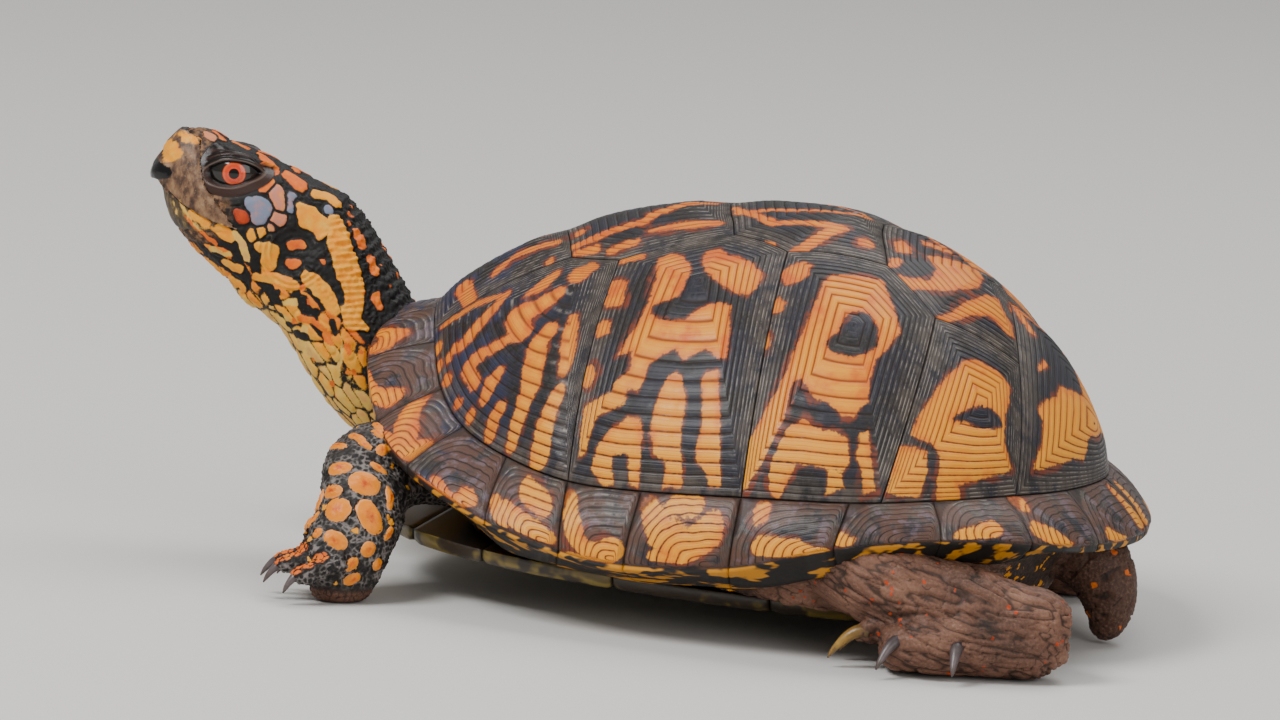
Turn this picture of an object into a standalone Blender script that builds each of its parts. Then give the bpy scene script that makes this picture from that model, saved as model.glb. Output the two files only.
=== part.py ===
"""Eastern box turtle, an adult male standing with its neck raised: a life-size still model.

The animal faces -X, its left side is -Y, and it stands on the floor Z = 0. Shell sizes are in the shell's
own frame (front -X, up Z, heights from the lowest part of the rim); place_shell tilts and lifts them.
All lengths here are millimetres until to_metres.
"""

import math
from dataclasses import dataclass

import bmesh
import bpy
import numpy as np
from mathutils import Vector
from mathutils.geometry import delaunay_2d_cdt

# Placing of the shell over the floor.
SHELL_PITCH_DEG = 3.0  # nose up
RIM_HEIGHT = 16.9

# Gaps and walls.
GAP = 0.32
PLATE_WALL = 2.4
TRUNK_CLEARANCE = 0.9  # the plates' flat facets dip below the true dome

# Dome of the carapace: meridians run from the apex to the seam above the marginals.
APEX_X = 9.0
APEX_Z = 53.6
FRONT_PROFILE = (1.98, 57.0)  # superellipse exponent, and the angle in degrees where the meridian ends
SIDE_PROFILE = (1.92, 74.0)
REAR_PROFILE = (1.93, 74.0)
REAR_QUARTER_SOFTENING = 0.14  # taken off the exponent midway between side and rear
UNROLLED_RADIUS = 72.0  # a meridian's length, so that the flat layout is near true size

# The marginals at each seam between them, nuchal midline first and tail midline last:
# rim x, half width, height, then upper seam x, half width, height.
MARGINAL_SEAMS = (
    (-64.8, 0.0, 24.0, -57.5, 0.0, 27.5),
    (-65.7, 6.0, 22.4, -57.0, 6.0, 26.9),
    (-65.1, 17.0, 17.6, -54.2, 15.5, 22.4),
    (-58.6, 31.0, 9.6, -50.0, 24.0, 15.8),
    (-50.6, 39.5, 4.2, -43.7, 31.2, 11.1),
    (-34.0, 48.0, -1.3, -33.6, 39.4, 8.6),
    (-19.8, 52.0, -3.6, -21.1, 45.6, 7.2),
    (-7.9, 54.0, -3.9, -7.4, 49.5, 8.2),
    (10.6, 56.2, -1.1, 10.4, 52.2, 10.4),
    (28.0, 56.2, 4.8, 28.8, 51.4, 12.3),
    (45.3, 51.6, 8.4, 42.1, 45.8, 14.0),
    (58.9, 40.0, 8.4, 52.4, 34.6, 14.9),
    (67.2, 22.5, 7.2, 59.8, 18.0, 14.8),
    (71.2, 0.0, 6.9, 63.2, 0.0, 15.0),
)
LAST_SEAM = len(MARGINAL_SEAMS) - 1
RIM_THICKNESS = 1.4
RIM_UNDERCUT = 1.0  # how far inside the rim's edge its underside starts
MARGINAL_BULGE = 0.9
MARGINAL_DEPTH = 6.5  # how far in the underside of a free marginal reaches
BRIDGE_EXTRA_DEPTH = 5.5
REAR_HEEL_DROP = 6.0  # the underside hangs lower over the hind legs
NUCHAL_HALF = 1.0  # in marginal seam numbers
BRIDGE_SEAMS = (4, 8)  # marginal seam numbers where the joined bridge marginals begin and end

# Seams between the vertebrals and costals: x and half width of each corner.
VERTEBRAL_SEAM_X = (-36.6, -8.4, 18.8, 42.6)
VERTEBRAL_CORNERS = ((-32.5, 13.0), (-4.2, 15.0), (23.6, 17.0), (48.2, 14.5))
LATERAL_CORNERS = ((-23.3, 17.0), (6.6, 20.5), (34.2, 23.0))
COSTAL_FEET = (1.7, 6.0, 8.0, 9.35, 11.15)  # marginal seam numbers where the costals' seams come down
PLATE_EDGE = 9.0  # longest side and lattice spacing of a scute's facets
PLATE_LATTICE = 8.5

# Plastron.
HINGE_X = -12.0
PLASTRON_TOP = -8.2
PLASTRON_BOTTOM = -11.0
FRONT_LOBE = (49.0, 42.0, 2.3)  # length, half width, superellipse exponent
REAR_LOBE = (68.0, 42.0, 2.2)
LOBE_BEVEL = 2.6
LOBE_EDGE = 1.0
LOBE_STEPS = 17

# Trunk: shares of the way to the marginals' seam of its upper rings, and how far it stays inside.
TRUNK_RINGS = (0.08, 0.35, 0.62, 0.86)
TRUNK_AROUND = 40
TRUNK_INSET = 2.4
TRUNK_HEEL_INSET = 2.2
TRUNK_BRIDGE_INSET = 1.2
TRUNK_SOLE = (0.76, 0.84, 0.88)  # sole's share of the heel's reach to the front, to the rear and sideways

# Head, in its own frame: f forward, l left, u up from the point between the eyes.
HEAD_ORIGIN = (-93.5, -1.5, 67.0)
HEAD_PITCH_DEG = 26.6
HEAD_YAW_DEG = 10.0
EYE_RADIUS = 4.3
EYE_OFFSET = 4.4
HEAD_SQUARENESS = (2.5, 2.2)
HEAD_CUTTER_HALF = 16.0
HEAD_SECTIONS = (  # f, top, bottom, half width
    (12.2, -0.6, -7.4, 1.9),
    (11.6, 0.9, -8.8, 3.4),
    (10.0, 2.0, -10.4, 4.8),
    (7.6, 2.7, -12.4, 6.2),
    (4.4, 3.2, -14.4, 7.9),
    (0.4, 3.7, -15.9, 9.3),
    (-4.6, 4.5, -17.2, 10.3),
    (-9.6, 4.9, -17.8, 10.8),
    (-14.6, 5.2, -17.6, 10.5),
    (-19.0, 4.8, -16.4, 9.6),
)

FLESH = (0.075, 0.060, 0.050)
KERATIN = (0.055, 0.042, 0.030)
BEAK = (0.20, 0.135, 0.07)
EYE = (0.55, 0.06, 0.03)
ROUGH = {"skin": 0.62, "shell": 0.38, "horn": 0.42, "eye": 0.12}


def catmull(rows, at):
    """The rows as a smooth curve, read at the fractional row numbers in `at`."""
    rows = np.asarray(rows, float)
    at = np.atleast_1d(np.asarray(at, float))
    last = len(rows) - 1
    first = np.clip(np.floor(at).astype(int), 0, last - 1)
    t = (at - first)[:, None]
    before = rows[np.clip(first - 1, 0, last)]
    start = rows[first]
    end = rows[first + 1]
    after = rows[np.clip(first + 2, 0, last)]
    return 0.5 * (
        2 * start
        + (end - before) * t
        + (2 * before - 5 * start + 4 * end - after) * t**2
        + (3 * start - before - 3 * end + after) * t**3
    )


def clear_scene():
    for obj in list(bpy.data.objects):
        bpy.data.objects.remove(obj, do_unlink=True)


def finish_material(name, colour, roughness):
    material = bpy.data.materials.new(name)
    material.use_nodes = True
    shader = material.node_tree.nodes["Principled BSDF"]
    shader.inputs["Base Color"].default_value = (*colour, 1.0)
    shader.inputs["Roughness"].default_value = roughness
    return material


def solid(name, points, faces, colour=FLESH, roughness=ROUGH["skin"]):
    """One closed object from points in millimetres, its faces turned outwards."""
    mesh = bpy.data.meshes.new(name)
    mesh.from_pydata([tuple(p) for p in np.asarray(points, float)], [], [tuple(f) for f in faces])
    mesh.validate()
    work = bmesh.new()
    work.from_mesh(mesh)
    bmesh.ops.remove_doubles(work, verts=work.verts, dist=1e-4)
    bmesh.ops.triangulate(work, faces=work.faces)
    bmesh.ops.recalc_face_normals(work, faces=work.faces)
    if work.calc_volume(signed=True) < 0:
        bmesh.ops.reverse_faces(work, faces=work.faces)
    work.to_mesh(mesh)
    work.free()
    obj = bpy.data.objects.new(name, mesh)
    bpy.context.scene.collection.objects.link(obj)
    mesh.materials.append(finish_material(name + "_finish", colour, roughness))
    return obj


def ring_stack(rings):
    """Points and faces of a loft through closed rings of equal length, with a fan at each end."""
    rings = [np.asarray(ring, float) for ring in rings]
    around = len(rings[0])
    points = np.vstack([*rings, rings[0].mean(axis=0), rings[-1].mean(axis=0)])
    faces = []
    for level in range(len(rings) - 1):
        for i in range(around):
            j = (i + 1) % around
            a, b = level * around, (level + 1) * around
            faces.append((a + i, a + j, b + j, b + i))
    start, end = len(points) - 2, len(points) - 1
    top = (len(rings) - 1) * around
    for i in range(around):
        j = (i + 1) % around
        faces.append((start, j, i))
        faces.append((end, top + i, top + j))
    return points, faces


def inflated(obj, by, name):
    """A cutter: a copy of the object grown along its normals by `by` millimetres."""
    mesh = obj.data.copy()
    mesh.name = name
    work = bmesh.new()
    work.from_mesh(mesh)
    work.normal_update()
    for vertex in work.verts:
        vertex.co += vertex.normal * by
    work.to_mesh(mesh)
    work.free()
    return as_cutter(bpy.data.objects.new(name, mesh))


def as_cutter(obj):
    if obj.name not in bpy.context.scene.collection.objects:
        bpy.context.scene.collection.objects.link(obj)
    obj.hide_render = True
    obj.display_type = "WIRE"
    return obj


def apply_boolean(obj, cutter, operation="DIFFERENCE"):
    """Applies an exact Boolean at once, so that later steps read the result."""
    modifier = obj.modifiers.new(operation.title(), "BOOLEAN")
    modifier.operation = operation
    modifier.solver = "EXACT"
    modifier.object = cutter
    graph = bpy.context.evaluated_depsgraph_get()
    graph.update()
    made = bpy.data.meshes.new_from_object(obj.evaluated_get(graph))
    obj.modifiers.clear()
    materials = list(obj.data.materials)
    obj.data = made
    made.materials.clear()
    for material in materials:
        made.materials.append(material)
    work = bmesh.new()
    work.from_mesh(made)
    bmesh.ops.triangulate(work, faces=work.faces)
    bmesh.ops.dissolve_degenerate(work, dist=1e-3, edges=work.edges)
    work.to_mesh(made)
    work.free()


def keep_largest(obj):
    """Drops crumbs that a cut has left beside the main body."""
    work = bmesh.new()
    work.from_mesh(obj.data)
    unseen = set(work.verts)
    groups = []
    while unseen:
        group = set()
        waiting = [unseen.pop()]
        while waiting:
            vertex = waiting.pop()
            group.add(vertex)
            for edge in vertex.link_edges:
                other = edge.other_vert(vertex)
                if other in unseen:
                    unseen.discard(other)
                    waiting.append(other)
        groups.append(group)
    groups.sort(key=len, reverse=True)
    for group in groups[1:]:
        bmesh.ops.delete(work, geom=list(group), context="VERTS")
    work.to_mesh(obj.data)
    work.free()


def bounds_of(obj):
    points = np.array([vertex.co for vertex in obj.data.vertices])
    return points.min(axis=0), points.max(axis=0)


def cut_clear(obj, others):
    """Cuts the object clear of each of the others whose box it meets, and keeps its main body."""
    for other in others:
        low, high = bounds_of(obj)
        other_low, other_high = bounds_of(other)
        if np.all(low < other_high + GAP) and np.all(other_low < high + GAP):
            apply_boolean(obj, inflated(other, GAP, f"{other.name}_room_for_{obj.name}"))
            keep_largest(obj)


# The shell.


def marginal_line(at):
    """Rim and seam points at marginal seam numbers: 0-13 down the left side, 13-26 back up the right."""
    at = np.atleast_1d(np.asarray(at, float)) % (2 * LAST_SEAM)
    right = at > LAST_SEAM
    row = np.where(right, 2 * LAST_SEAM - at, at)
    table = np.array(MARGINAL_SEAMS)
    flip = np.array([1, -1, 1, 1, -1, 1])
    padded = np.vstack([table[1] * flip, table, table[-2] * flip])
    values = catmull(padded, row + 1)
    side = np.where(right, 1.0, -1.0)
    values[:, 1] *= side
    values[:, 4] *= side
    return values[:, :3], values[:, 3:]


class Dome:
    """The outer face of the carapace above the marginals, read in a flat layout (p, q) about the apex."""

    def __init__(self):
        stations = np.linspace(0, 2 * LAST_SEAM, 521)[:-1]
        _, seam = marginal_line(stations)
        angle = np.arctan2(seam[:, 1], seam[:, 0] - APEX_X)
        order = np.argsort(angle)
        once = angle[order]
        self.angle = np.concatenate([once - 2 * math.pi, once, once + 2 * math.pi])
        reach = np.hypot(seam[:, 0] - APEX_X, seam[:, 1])[order]
        self.reach = np.tile(reach, 3)
        self.foot = np.tile(seam[order, 2], 3)

    def profile(self, angle):
        toward_rear = np.cos(angle)
        side = np.sin(angle) ** 2
        rear = np.where(toward_rear > 0, toward_rear**2, 0)
        front = np.where(toward_rear > 0, 0, toward_rear**2)
        quarter = np.where(toward_rear > 0, np.sin(2 * angle) ** 2, 0)
        shape = [FRONT_PROFILE[n] * front + SIDE_PROFILE[n] * side + REAR_PROFILE[n] * rear for n in (0, 1)]
        return shape[0] - REAR_QUARTER_SOFTENING * quarter, np.radians(shape[1])

    def flat(self, x, y):
        """Flat layout of points given in plan."""
        dx = np.asarray(x, float) - APEX_X
        y = np.asarray(y, float)
        angle = np.arctan2(y, dx)
        share = np.hypot(dx, y) / np.interp(angle, self.angle, self.reach)
        exponent, end = self.profile(angle)
        t = np.arcsin(np.clip(share ** (exponent / 2) * np.sin(end), 0, 1)) / end
        return np.stack([t * np.cos(angle), t * np.sin(angle)], axis=-1) * UNROLLED_RADIUS

    def raised(self, flat):
        """Points on the dome for points of the flat layout."""
        flat = np.atleast_2d(flat)
        angle = np.arctan2(flat[:, 1], flat[:, 0])
        t = np.hypot(flat[:, 0], flat[:, 1]) / UNROLLED_RADIUS
        exponent, end = self.profile(angle)
        turn = np.clip(t, 0, 1.1) * end
        share = (np.sin(turn) / np.sin(end)) ** (2 / exponent)
        drop_end = np.cos(end) ** (2 / exponent)
        height = (np.abs(np.cos(turn)) ** (2 / exponent) - drop_end) / (1 - drop_end)
        reach = np.interp(angle, self.angle, self.reach) * share
        foot = np.interp(angle, self.angle, self.foot)
        rise = foot + (APEX_Z - foot) * height
        return np.stack([APEX_X + reach * np.cos(angle), reach * np.sin(angle), rise], axis=-1)

    def normals(self, flat):
        flat = np.atleast_2d(flat)
        step = 0.4
        ahead = self.raised(flat + (step, 0)) - self.raised(flat - (step, 0))
        beside = self.raised(flat + (0, step)) - self.raised(flat - (0, step))
        normal = np.cross(ahead, beside)
        return normal / np.linalg.norm(normal, axis=1, keepdims=True)

    def at_depth(self, flat, depth):
        return self.raised(flat) - self.normals(flat) * depth

    def seam_foot(self, station):
        """Flat layout of the upper seam of the marginals at a marginal seam number."""
        _, seam = marginal_line(station)
        return self.flat(seam[:, 0], seam[:, 1])


def place_shell(points):
    """From the shell's frame to the standing frame: tilted nose up, then lifted."""
    points = np.asarray(points, float)
    c, s = math.cos(math.radians(SHELL_PITCH_DEG)), math.sin(math.radians(SHELL_PITCH_DEG))
    x = points[:, 0] * c + points[:, 2] * s
    z = points[:, 2] * c - points[:, 0] * s + RIM_HEIGHT
    return np.stack([x, points[:, 1], z], axis=1)


def scute_outlines(dome):
    """Outline of each scute above the marginals, in the flat layout."""

    def corners(pairs, side):
        return [dome.flat(x, side * half) for x, half in pairs]

    def feet_between(a, b):
        steps = max(3, int(abs(b - a) * 2) + 1)
        return [dome.seam_foot(station)[0] for station in np.linspace(a, b, steps)]

    keel = [dome.flat(x, 0.0) for x in VERTEBRAL_SEAM_X]
    upper = {side: corners(VERTEBRAL_CORNERS, side) for side in (-1, 1)}
    lateral = {side: corners(LATERAL_CORNERS, side) for side in (-1, 1)}
    first, last = COSTAL_FEET[0], COSTAL_FEET[-1]
    outlines = {}
    outlines["vertebral_1"] = [*feet_between(-first, first), upper[-1][0], keel[0], upper[1][0]]
    for n in range(3):
        left = [upper[-1][n], lateral[-1][n], upper[-1][n + 1]]
        right = [upper[1][n + 1], lateral[1][n], upper[1][n]]
        outlines[f"vertebral_{n + 2}"] = [keel[n], *left, keel[n + 1], *right]
    rear_edge = feet_between(last, 2 * LAST_SEAM - last)
    outlines["vertebral_5"] = [keel[3], upper[-1][3], *rear_edge, upper[1][3]]
    for side, word in ((-1, "left"), (1, "right")):
        feet = [-side * station for station in COSTAL_FEET]
        tops = (
            [upper[side][0], lateral[side][0]],
            [lateral[side][0], upper[side][1], lateral[side][1]],
            [lateral[side][1], upper[side][2], lateral[side][2]],
            [lateral[side][2], upper[side][3]],
        )
        for n, top in enumerate(tops):
            outlines[f"costal_{n + 1}_{word}"] = [*feet_between(feet[n], feet[n + 1]), *top[::-1]]
    return {name: np.array(points) for name, points in outlines.items()}


def shrunk(outline, by):
    """The closed outline moved inwards by `by`, corner by corner."""
    after = np.roll(outline, -1, axis=0) - outline
    before = outline - np.roll(outline, 1, axis=0)
    after /= np.linalg.norm(after, axis=1, keepdims=True)
    before /= np.linalg.norm(before, axis=1, keepdims=True)
    following = np.roll(outline, -1, axis=0)
    area = 0.5 * np.sum(outline[:, 0] * following[:, 1] - following[:, 0] * outline[:, 1])
    inward = 1.0 if area > 0 else -1.0
    normal_after = np.stack([-after[:, 1], after[:, 0]], axis=1) * inward
    normal_before = np.stack([-before[:, 1], before[:, 0]], axis=1) * inward
    bisector = normal_after + normal_before
    bisector /= np.linalg.norm(bisector, axis=1, keepdims=True)
    reach = by / np.clip(np.sum(bisector * normal_after, axis=1), 0.35, 1)
    return outline + bisector * reach[:, None]


def inside(outline, points, margin):
    """Which points lie in the outline and at least `margin` from its edge."""
    start, end = outline, np.roll(outline, -1, axis=0)
    crossing = np.zeros(len(points), bool)
    nearest = np.full(len(points), np.inf)
    for a, b in zip(start, end):
        between = (a[1] > points[:, 1]) != (b[1] > points[:, 1])
        rise = b[1] - a[1] if abs(b[1] - a[1]) > 1e-9 else 1e-9
        crossing ^= between & (points[:, 0] < (b[0] - a[0]) * (points[:, 1] - a[1]) / rise + a[0])
        along = np.clip(((points - a) @ (b - a)) / max((b - a) @ (b - a), 1e-9), 0, 1)
        away = np.linalg.norm(points - (a + along[:, None] * (b - a)), axis=1)
        nearest = np.minimum(nearest, away)
    return crossing & (nearest > margin)


def filled(outline, spacing):
    """A triangle mesh of the outline with a lattice of inner points: its flat points and triangles."""
    low, high = outline.min(axis=0), outline.max(axis=0)
    xs = np.arange(low[0], high[0], spacing)
    ys = np.arange(low[1], high[1], spacing)
    lattice = np.array([(x + spacing / 2 * (j % 2), y) for j, y in enumerate(ys) for x in xs])
    lattice = lattice[inside(outline, lattice, spacing * 0.45)] if len(lattice) else lattice
    points = np.vstack([outline, lattice]) if len(lattice) else outline
    count = len(outline)
    edges = [(i, (i + 1) % count) for i in range(count)]
    made = delaunay_2d_cdt([Vector(p) for p in points], edges, [list(range(count))], 1, 1e-6)
    return np.array([tuple(p) for p in made[0]]), [tuple(f) for f in made[2]]


def resampled(outline, longest):
    """The closed outline with extra points, so that no side is longer than `longest`."""
    points = []
    for a, b in zip(outline, np.roll(outline, -1, axis=0)):
        steps = max(1, math.ceil(np.linalg.norm(b - a) / longest))
        points.extend(a + (b - a) * i / steps for i in range(steps))
    return np.array(points)


def plate(name, outline, dome):
    """A scute and the bone beneath it: the dome's face over the outline, with a wall of even thickness."""
    edge = resampled(shrunk(outline, GAP / 2), PLATE_EDGE)
    flat, triangles = filled(edge, PLATE_LATTICE)
    outer = dome.at_depth(flat, 0.0)
    inner = dome.at_depth(flat, PLATE_WALL)
    count = len(flat)
    faces = [tuple(t) for t in triangles]
    faces += [tuple(count + i for i in reversed(t)) for t in triangles]
    sides = {pair for a, b, c in triangles for pair in ((a, b), (b, c), (c, a))}
    faces += [(b, a, count + a, count + b) for a, b in sorted(sides) if (b, a) not in sides]
    return solid(name, place_shell(np.vstack([outer, inner])), faces, KERATIN, ROUGH["shell"])


def share_between(station, rise_from, rise_by, fall_to, fall_by):
    """A smooth share along the rim: 0, then 1 between two marginal seam numbers, then 0 again."""
    row = np.abs(np.asarray(station, float))
    row = np.where(row > LAST_SEAM, 2 * LAST_SEAM - row, row)
    rise = np.clip((row - rise_from) / rise_by, 0, 1)
    fall = np.clip((fall_to - row) / fall_by, 0, 1)
    share = np.minimum(rise, fall)
    return (share * share * (3 - 2 * share))[:, None]


def bridge_share(station):
    """1 where the marginals join the plastron, 0 at the head and tail openings."""
    return share_between(station, 4.0, 1.4, 8.8, 1.8)


def rear_share(station):
    """1 where the underside of the rim hangs low over the hind legs, 0 elsewhere."""
    return share_between(station, 7.4, 1.4, 12.2, 1.6)


def level(vectors):
    """The vectors made horizontal and of unit length."""
    flattened = vectors * np.array([1.0, 1.0, 0.0])
    return flattened / np.linalg.norm(flattened, axis=1, keepdims=True)


def marginal_sections(dome, stations):
    """Cross-sections of the rim: outer face, edge, underside and inner face."""
    rim, seam = marginal_line(stations)
    normal = dome.normals(dome.seam_foot(stations))
    out = level(rim - seam)
    up = np.array([0.0, 0.0, 1.0])
    bridge = bridge_share(stations)
    rear = rear_share(stations)
    fall = rim - seam
    across = normal + 0.6 * out
    across /= np.linalg.norm(across, axis=1, keepdims=True)
    top = seam + fall / np.linalg.norm(fall, axis=1, keepdims=True) * GAP / 2
    middle = seam + fall * 0.5 + across * MARGINAL_BULGE
    lower = seam + fall * 0.85 + across * MARGINAL_BULGE * 0.7
    under = rim - out * RIM_UNDERCUT - up * RIM_THICKNESS
    heel = rim - out * (MARGINAL_DEPTH + BRIDGE_EXTRA_DEPTH * bridge - 1.5 * rear)
    heel += up * (1.6 - 1.0 * bridge - REAR_HEEL_DROP * rear)
    heel -= up * bridge * (rim[:, 2:] - PLASTRON_TOP)
    heel[:, 2] = np.maximum(heel[:, 2], PLASTRON_TOP + GAP)
    inner = top - normal * PLATE_WALL
    return np.stack([top, middle, lower, rim, under, heel, inner], axis=1)


def marginal(name, dome, start, end, steps):
    """A length of the rim between two marginal seam numbers, with half a gap at each end."""
    step = 0.01
    ends = np.array([start, end], float)
    paces = np.linalg.norm(marginal_line(ends + step)[0] - marginal_line(ends)[0], axis=1) / step
    first, last = ends + np.array([0.5, -0.5]) * GAP / paces
    sections = marginal_sections(dome, np.linspace(first, last, steps + 1))
    points, faces = ring_stack([place_shell(section) for section in sections])
    return solid(name, points, faces, KERATIN, ROUGH["shell"])


def trunk(dome):
    """The body that fills the shell, its skin closing the openings for the limbs, neck and tail."""
    stations = np.linspace(0, 2 * LAST_SEAM, TRUNK_AROUND + 1)[:-1]
    feet = dome.seam_foot(stations)
    rings = [dome.at_depth(feet * share, PLATE_WALL + TRUNK_CLEARANCE) for share in TRUNK_RINGS]
    sections = marginal_sections(dome, stations)
    heel, inner = sections[:, 5], sections[:, 6]
    _, seam = marginal_line(stations)
    inward = level(np.array([APEX_X, 0.0, 0.0]) - seam)
    bridge = bridge_share(stations)
    up = np.array([0.0, 0.0, 1.0])
    rings.append(inner + inward * TRUNK_INSET - up * GAP)
    heel_inset = TRUNK_HEEL_INSET + TRUNK_BRIDGE_INSET * bridge
    rings.append(heel + inward * heel_inset + up * (2.2 * bridge - 1.0))
    sole = heel.copy()
    to_front, to_rear, sideways = TRUNK_SOLE
    sole[:, 0] *= np.where(sole[:, 0] < 0, to_front, to_rear)
    sole[:, 1] *= sideways
    sole[:, 2] = PLASTRON_TOP + GAP
    rings.append(sole)
    rings.append(sole * np.array([0.5, 0.5, 1.0]))
    points, faces = ring_stack([place_shell(ring) for ring in rings])
    return solid("trunk", points, faces)


def lobe(name, length, half_width, exponent, direction):
    """Half of the plastron from the hinge to its tip, with a bevelled lower edge."""
    turns = np.radians(np.linspace(0, 180, LOBE_STEPS))
    power = 2 / exponent
    reach = np.abs(np.sin(turns)) ** power * (length - GAP / 2)
    width = np.sign(np.cos(turns)) * np.abs(np.cos(turns)) ** power * half_width
    outline = np.column_stack([HINGE_X + direction * (reach + GAP / 2), width])
    hinge_x = np.full(3, HINGE_X + direction * GAP / 2)
    hinge = np.column_stack([hinge_x, half_width * np.array([-0.5, 0, 0.5])])
    ring = np.vstack([outline, hinge])
    pull = outline.mean(axis=0) - outline
    bevel = ring.copy()
    bevel[:LOBE_STEPS] += pull / np.linalg.norm(pull, axis=1, keepdims=True) * LOBE_BEVEL
    bevel[:, 0] = np.where(np.abs(ring[:, 0] - HINGE_X) < GAP, ring[:, 0], bevel[:, 0])
    levels = ((ring, PLASTRON_TOP), (ring, PLASTRON_TOP - LOBE_EDGE), (bevel, PLASTRON_BOTTOM))
    rings = [np.column_stack([points, np.full(len(points), height)]) for points, height in levels]
    points, faces = ring_stack([place_shell(r) for r in rings])
    return solid(name, points, faces, KERATIN, ROUGH["shell"])


# Flesh.


def superellipse(around, squareness):
    """Unit ring coordinates, squared off by the exponents (2 is round) sideways and upright."""
    turns = np.linspace(0, 2 * math.pi, around + 1)[:-1]
    c, s = np.cos(turns), np.sin(turns)
    across = np.sign(c) * np.abs(c) ** (2 / squareness[0])
    upright = np.sign(s) * np.abs(s) ** (2 / squareness[1])
    return across, upright


@dataclass
class Limb:
    """A limb's stations: x, y, z of the centre, then half sizes across it and along the second axis."""

    stations: tuple
    rings: int
    around: int = 16
    squareness: float = 2.3
    reference: tuple = (0.0, 0.0, 1.0)

    def loft(self):
        at = np.linspace(0, len(self.stations) - 1, self.rings)
        rows = catmull(self.stations, at)
        centres = rows[:, :3]
        tangents = np.gradient(centres, axis=0)
        tangents /= np.linalg.norm(tangents, axis=1, keepdims=True)
        across = np.cross(tangents, np.array(self.reference))
        across /= np.linalg.norm(across, axis=1, keepdims=True)
        other = np.cross(across, tangents)
        c, s = superellipse(self.around, (self.squareness, self.squareness))
        rings = []
        for centre, a, o, (half_across, half_other) in zip(centres, across, other, rows[:, 3:5]):
            ring = centre + np.outer(c, a) * half_across + np.outer(s, o) * half_other
            ring[:, 2] = np.maximum(ring[:, 2], 0.0)
            rings.append(ring)
        return rings


def flesh(name, limb):
    points, faces = ring_stack(limb.loft())
    return solid(name, points, faces)


def mirrored(stations, shift=0.0):
    """The same limb on the right side, moved along X."""
    return tuple((x + shift, -y, *rest) for x, y, *rest in stations)


FORELEG = (
    (-34.0, -16.0, 19.0, 7.0, 7.0),
    (-45.0, -21.0, 21.5, 7.2, 7.0),
    (-53.0, -26.5, 22.0, 7.2, 6.8),
    (-57.6, -32.5, 18.6, 7.2, 7.4),
    (-58.6, -38.5, 12.0, 8.0, 8.4),
    (-61.0, -43.5, 5.8, 8.8, 6.6),
    (-67.0, -45.5, 3.6, 6.6, 3.6),
)
HIND_THIGH = (
    (36.0, -22.0, 20.0, 12.0, 9.0),
    (31.0, -32.0, 18.0, 14.0, 9.0),
    (34.5, -40.5, 13.8, 15.5, 8.6),
    (50.0, -44.5, 9.8, 11.0, 8.4),
    (60.0, -44.5, 8.2, 8.0, 7.4),
)
HIND_FOOT = (
    (67.0, -43.0, 8.0, 4.5, 5.0),
    (61.5, -44.5, 8.0, 7.6, 8.0),
    (52.0, -47.5, 6.8, 9.0, 6.8),
    (43.0, -50.5, 5.4, 9.0, 5.4),
    (36.5, -52.0, 4.2, 6.8, 4.0),
)
RIGHT_FORE_SHIFT = 3.0
RIGHT_HIND_SHIFT = -8.0
TAIL = (
    (44.0, 0.0, 16.5, 7.5, 7.0),
    (56.0, 0.0, 17.5, 7.0, 6.8),
    (63.0, 0.0, 13.8, 6.4, 6.4),
    (66.0, -0.6, 8.4, 5.2, 5.2),
    (65.8, -1.0, 3.8, 3.8, 3.6),
    (64.0, -1.4, 1.7, 2.2, 1.7),
)
NECK = (
    (-40.0, 0.0, 21.0, 11.0, 8.0),
    (-56.0, 0.0, 27.0, 10.6, 8.6),
    (-66.4, 0.0, 33.4, 10.2, 9.8),
    (-73.6, 0.3, 42.6, 10.2, 11.0),
    (-79.2, 0.6, 51.1, 9.8, 11.6),
    (-84.0, 0.0, 58.0, 9.0, 9.0),
)


def head_axes():
    pitch, yaw = math.radians(HEAD_PITCH_DEG), math.radians(HEAD_YAW_DEG)
    ahead = np.array([-math.cos(yaw), -math.sin(yaw), 0.0])
    forward = ahead * math.cos(pitch) + np.array([0.0, 0.0, math.sin(pitch)])
    left = np.array([math.sin(yaw), -math.cos(yaw), 0.0])
    return forward, left, np.cross(forward, left)


def from_head(points):
    """Points given as (f, l, u) in the head's frame."""
    forward, left, up = head_axes()
    return np.array(HEAD_ORIGIN) + np.atleast_2d(points) @ np.array([forward, left, up])


def head_rings(around=20):
    rings = []
    c, s = superellipse(around, HEAD_SQUARENESS)
    for f, top, bottom, half_width in HEAD_SECTIONS:
        middle, half = (top + bottom) / 2, (top - bottom) / 2
        ring = np.stack([np.full(around, f), c * half_width, middle + s * half], axis=1)
        rings.append(from_head(ring))
    return rings


MOUTH_LINE = ((14.0, -8.9), (11.6, -8.3), (8.6, -9.0), (5.0, -9.6), (0.0, -9.4), (-5.8, -8.8))
UPPER_BEAK_ROOF = ((-5.8, -8.2), (-2.0, -6.6), (3.4, -4.4), (6.4, -1.2), (8.0, 1.6), (14.0, 1.6))
LOWER_BEAK_FLOOR = ((-5.8, -9.4), (-2.0, -11.6), (3.0, -14.6), (5.0, -16.5), (14.0, -16.5))


def wedge(name, outline, grow=0.0):
    """A cutter through the whole width of the head, from an outline in its side view."""
    outline = np.array(outline, float)
    if grow:
        outline = shrunk(outline, -grow)
    count = len(outline)
    f, u = outline.T
    ends = (-HEAD_CUTTER_HALF, HEAD_CUTTER_HALF)
    sides = [np.column_stack([f, np.full(count, end), u]) for end in ends]
    faces = [tuple(range(count)), tuple(reversed(range(count, 2 * count)))]
    faces += [(i, (i + 1) % count, count + (i + 1) % count, count + i) for i in range(count)]
    return as_cutter(solid(name, from_head(np.vstack(sides)), faces))


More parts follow.
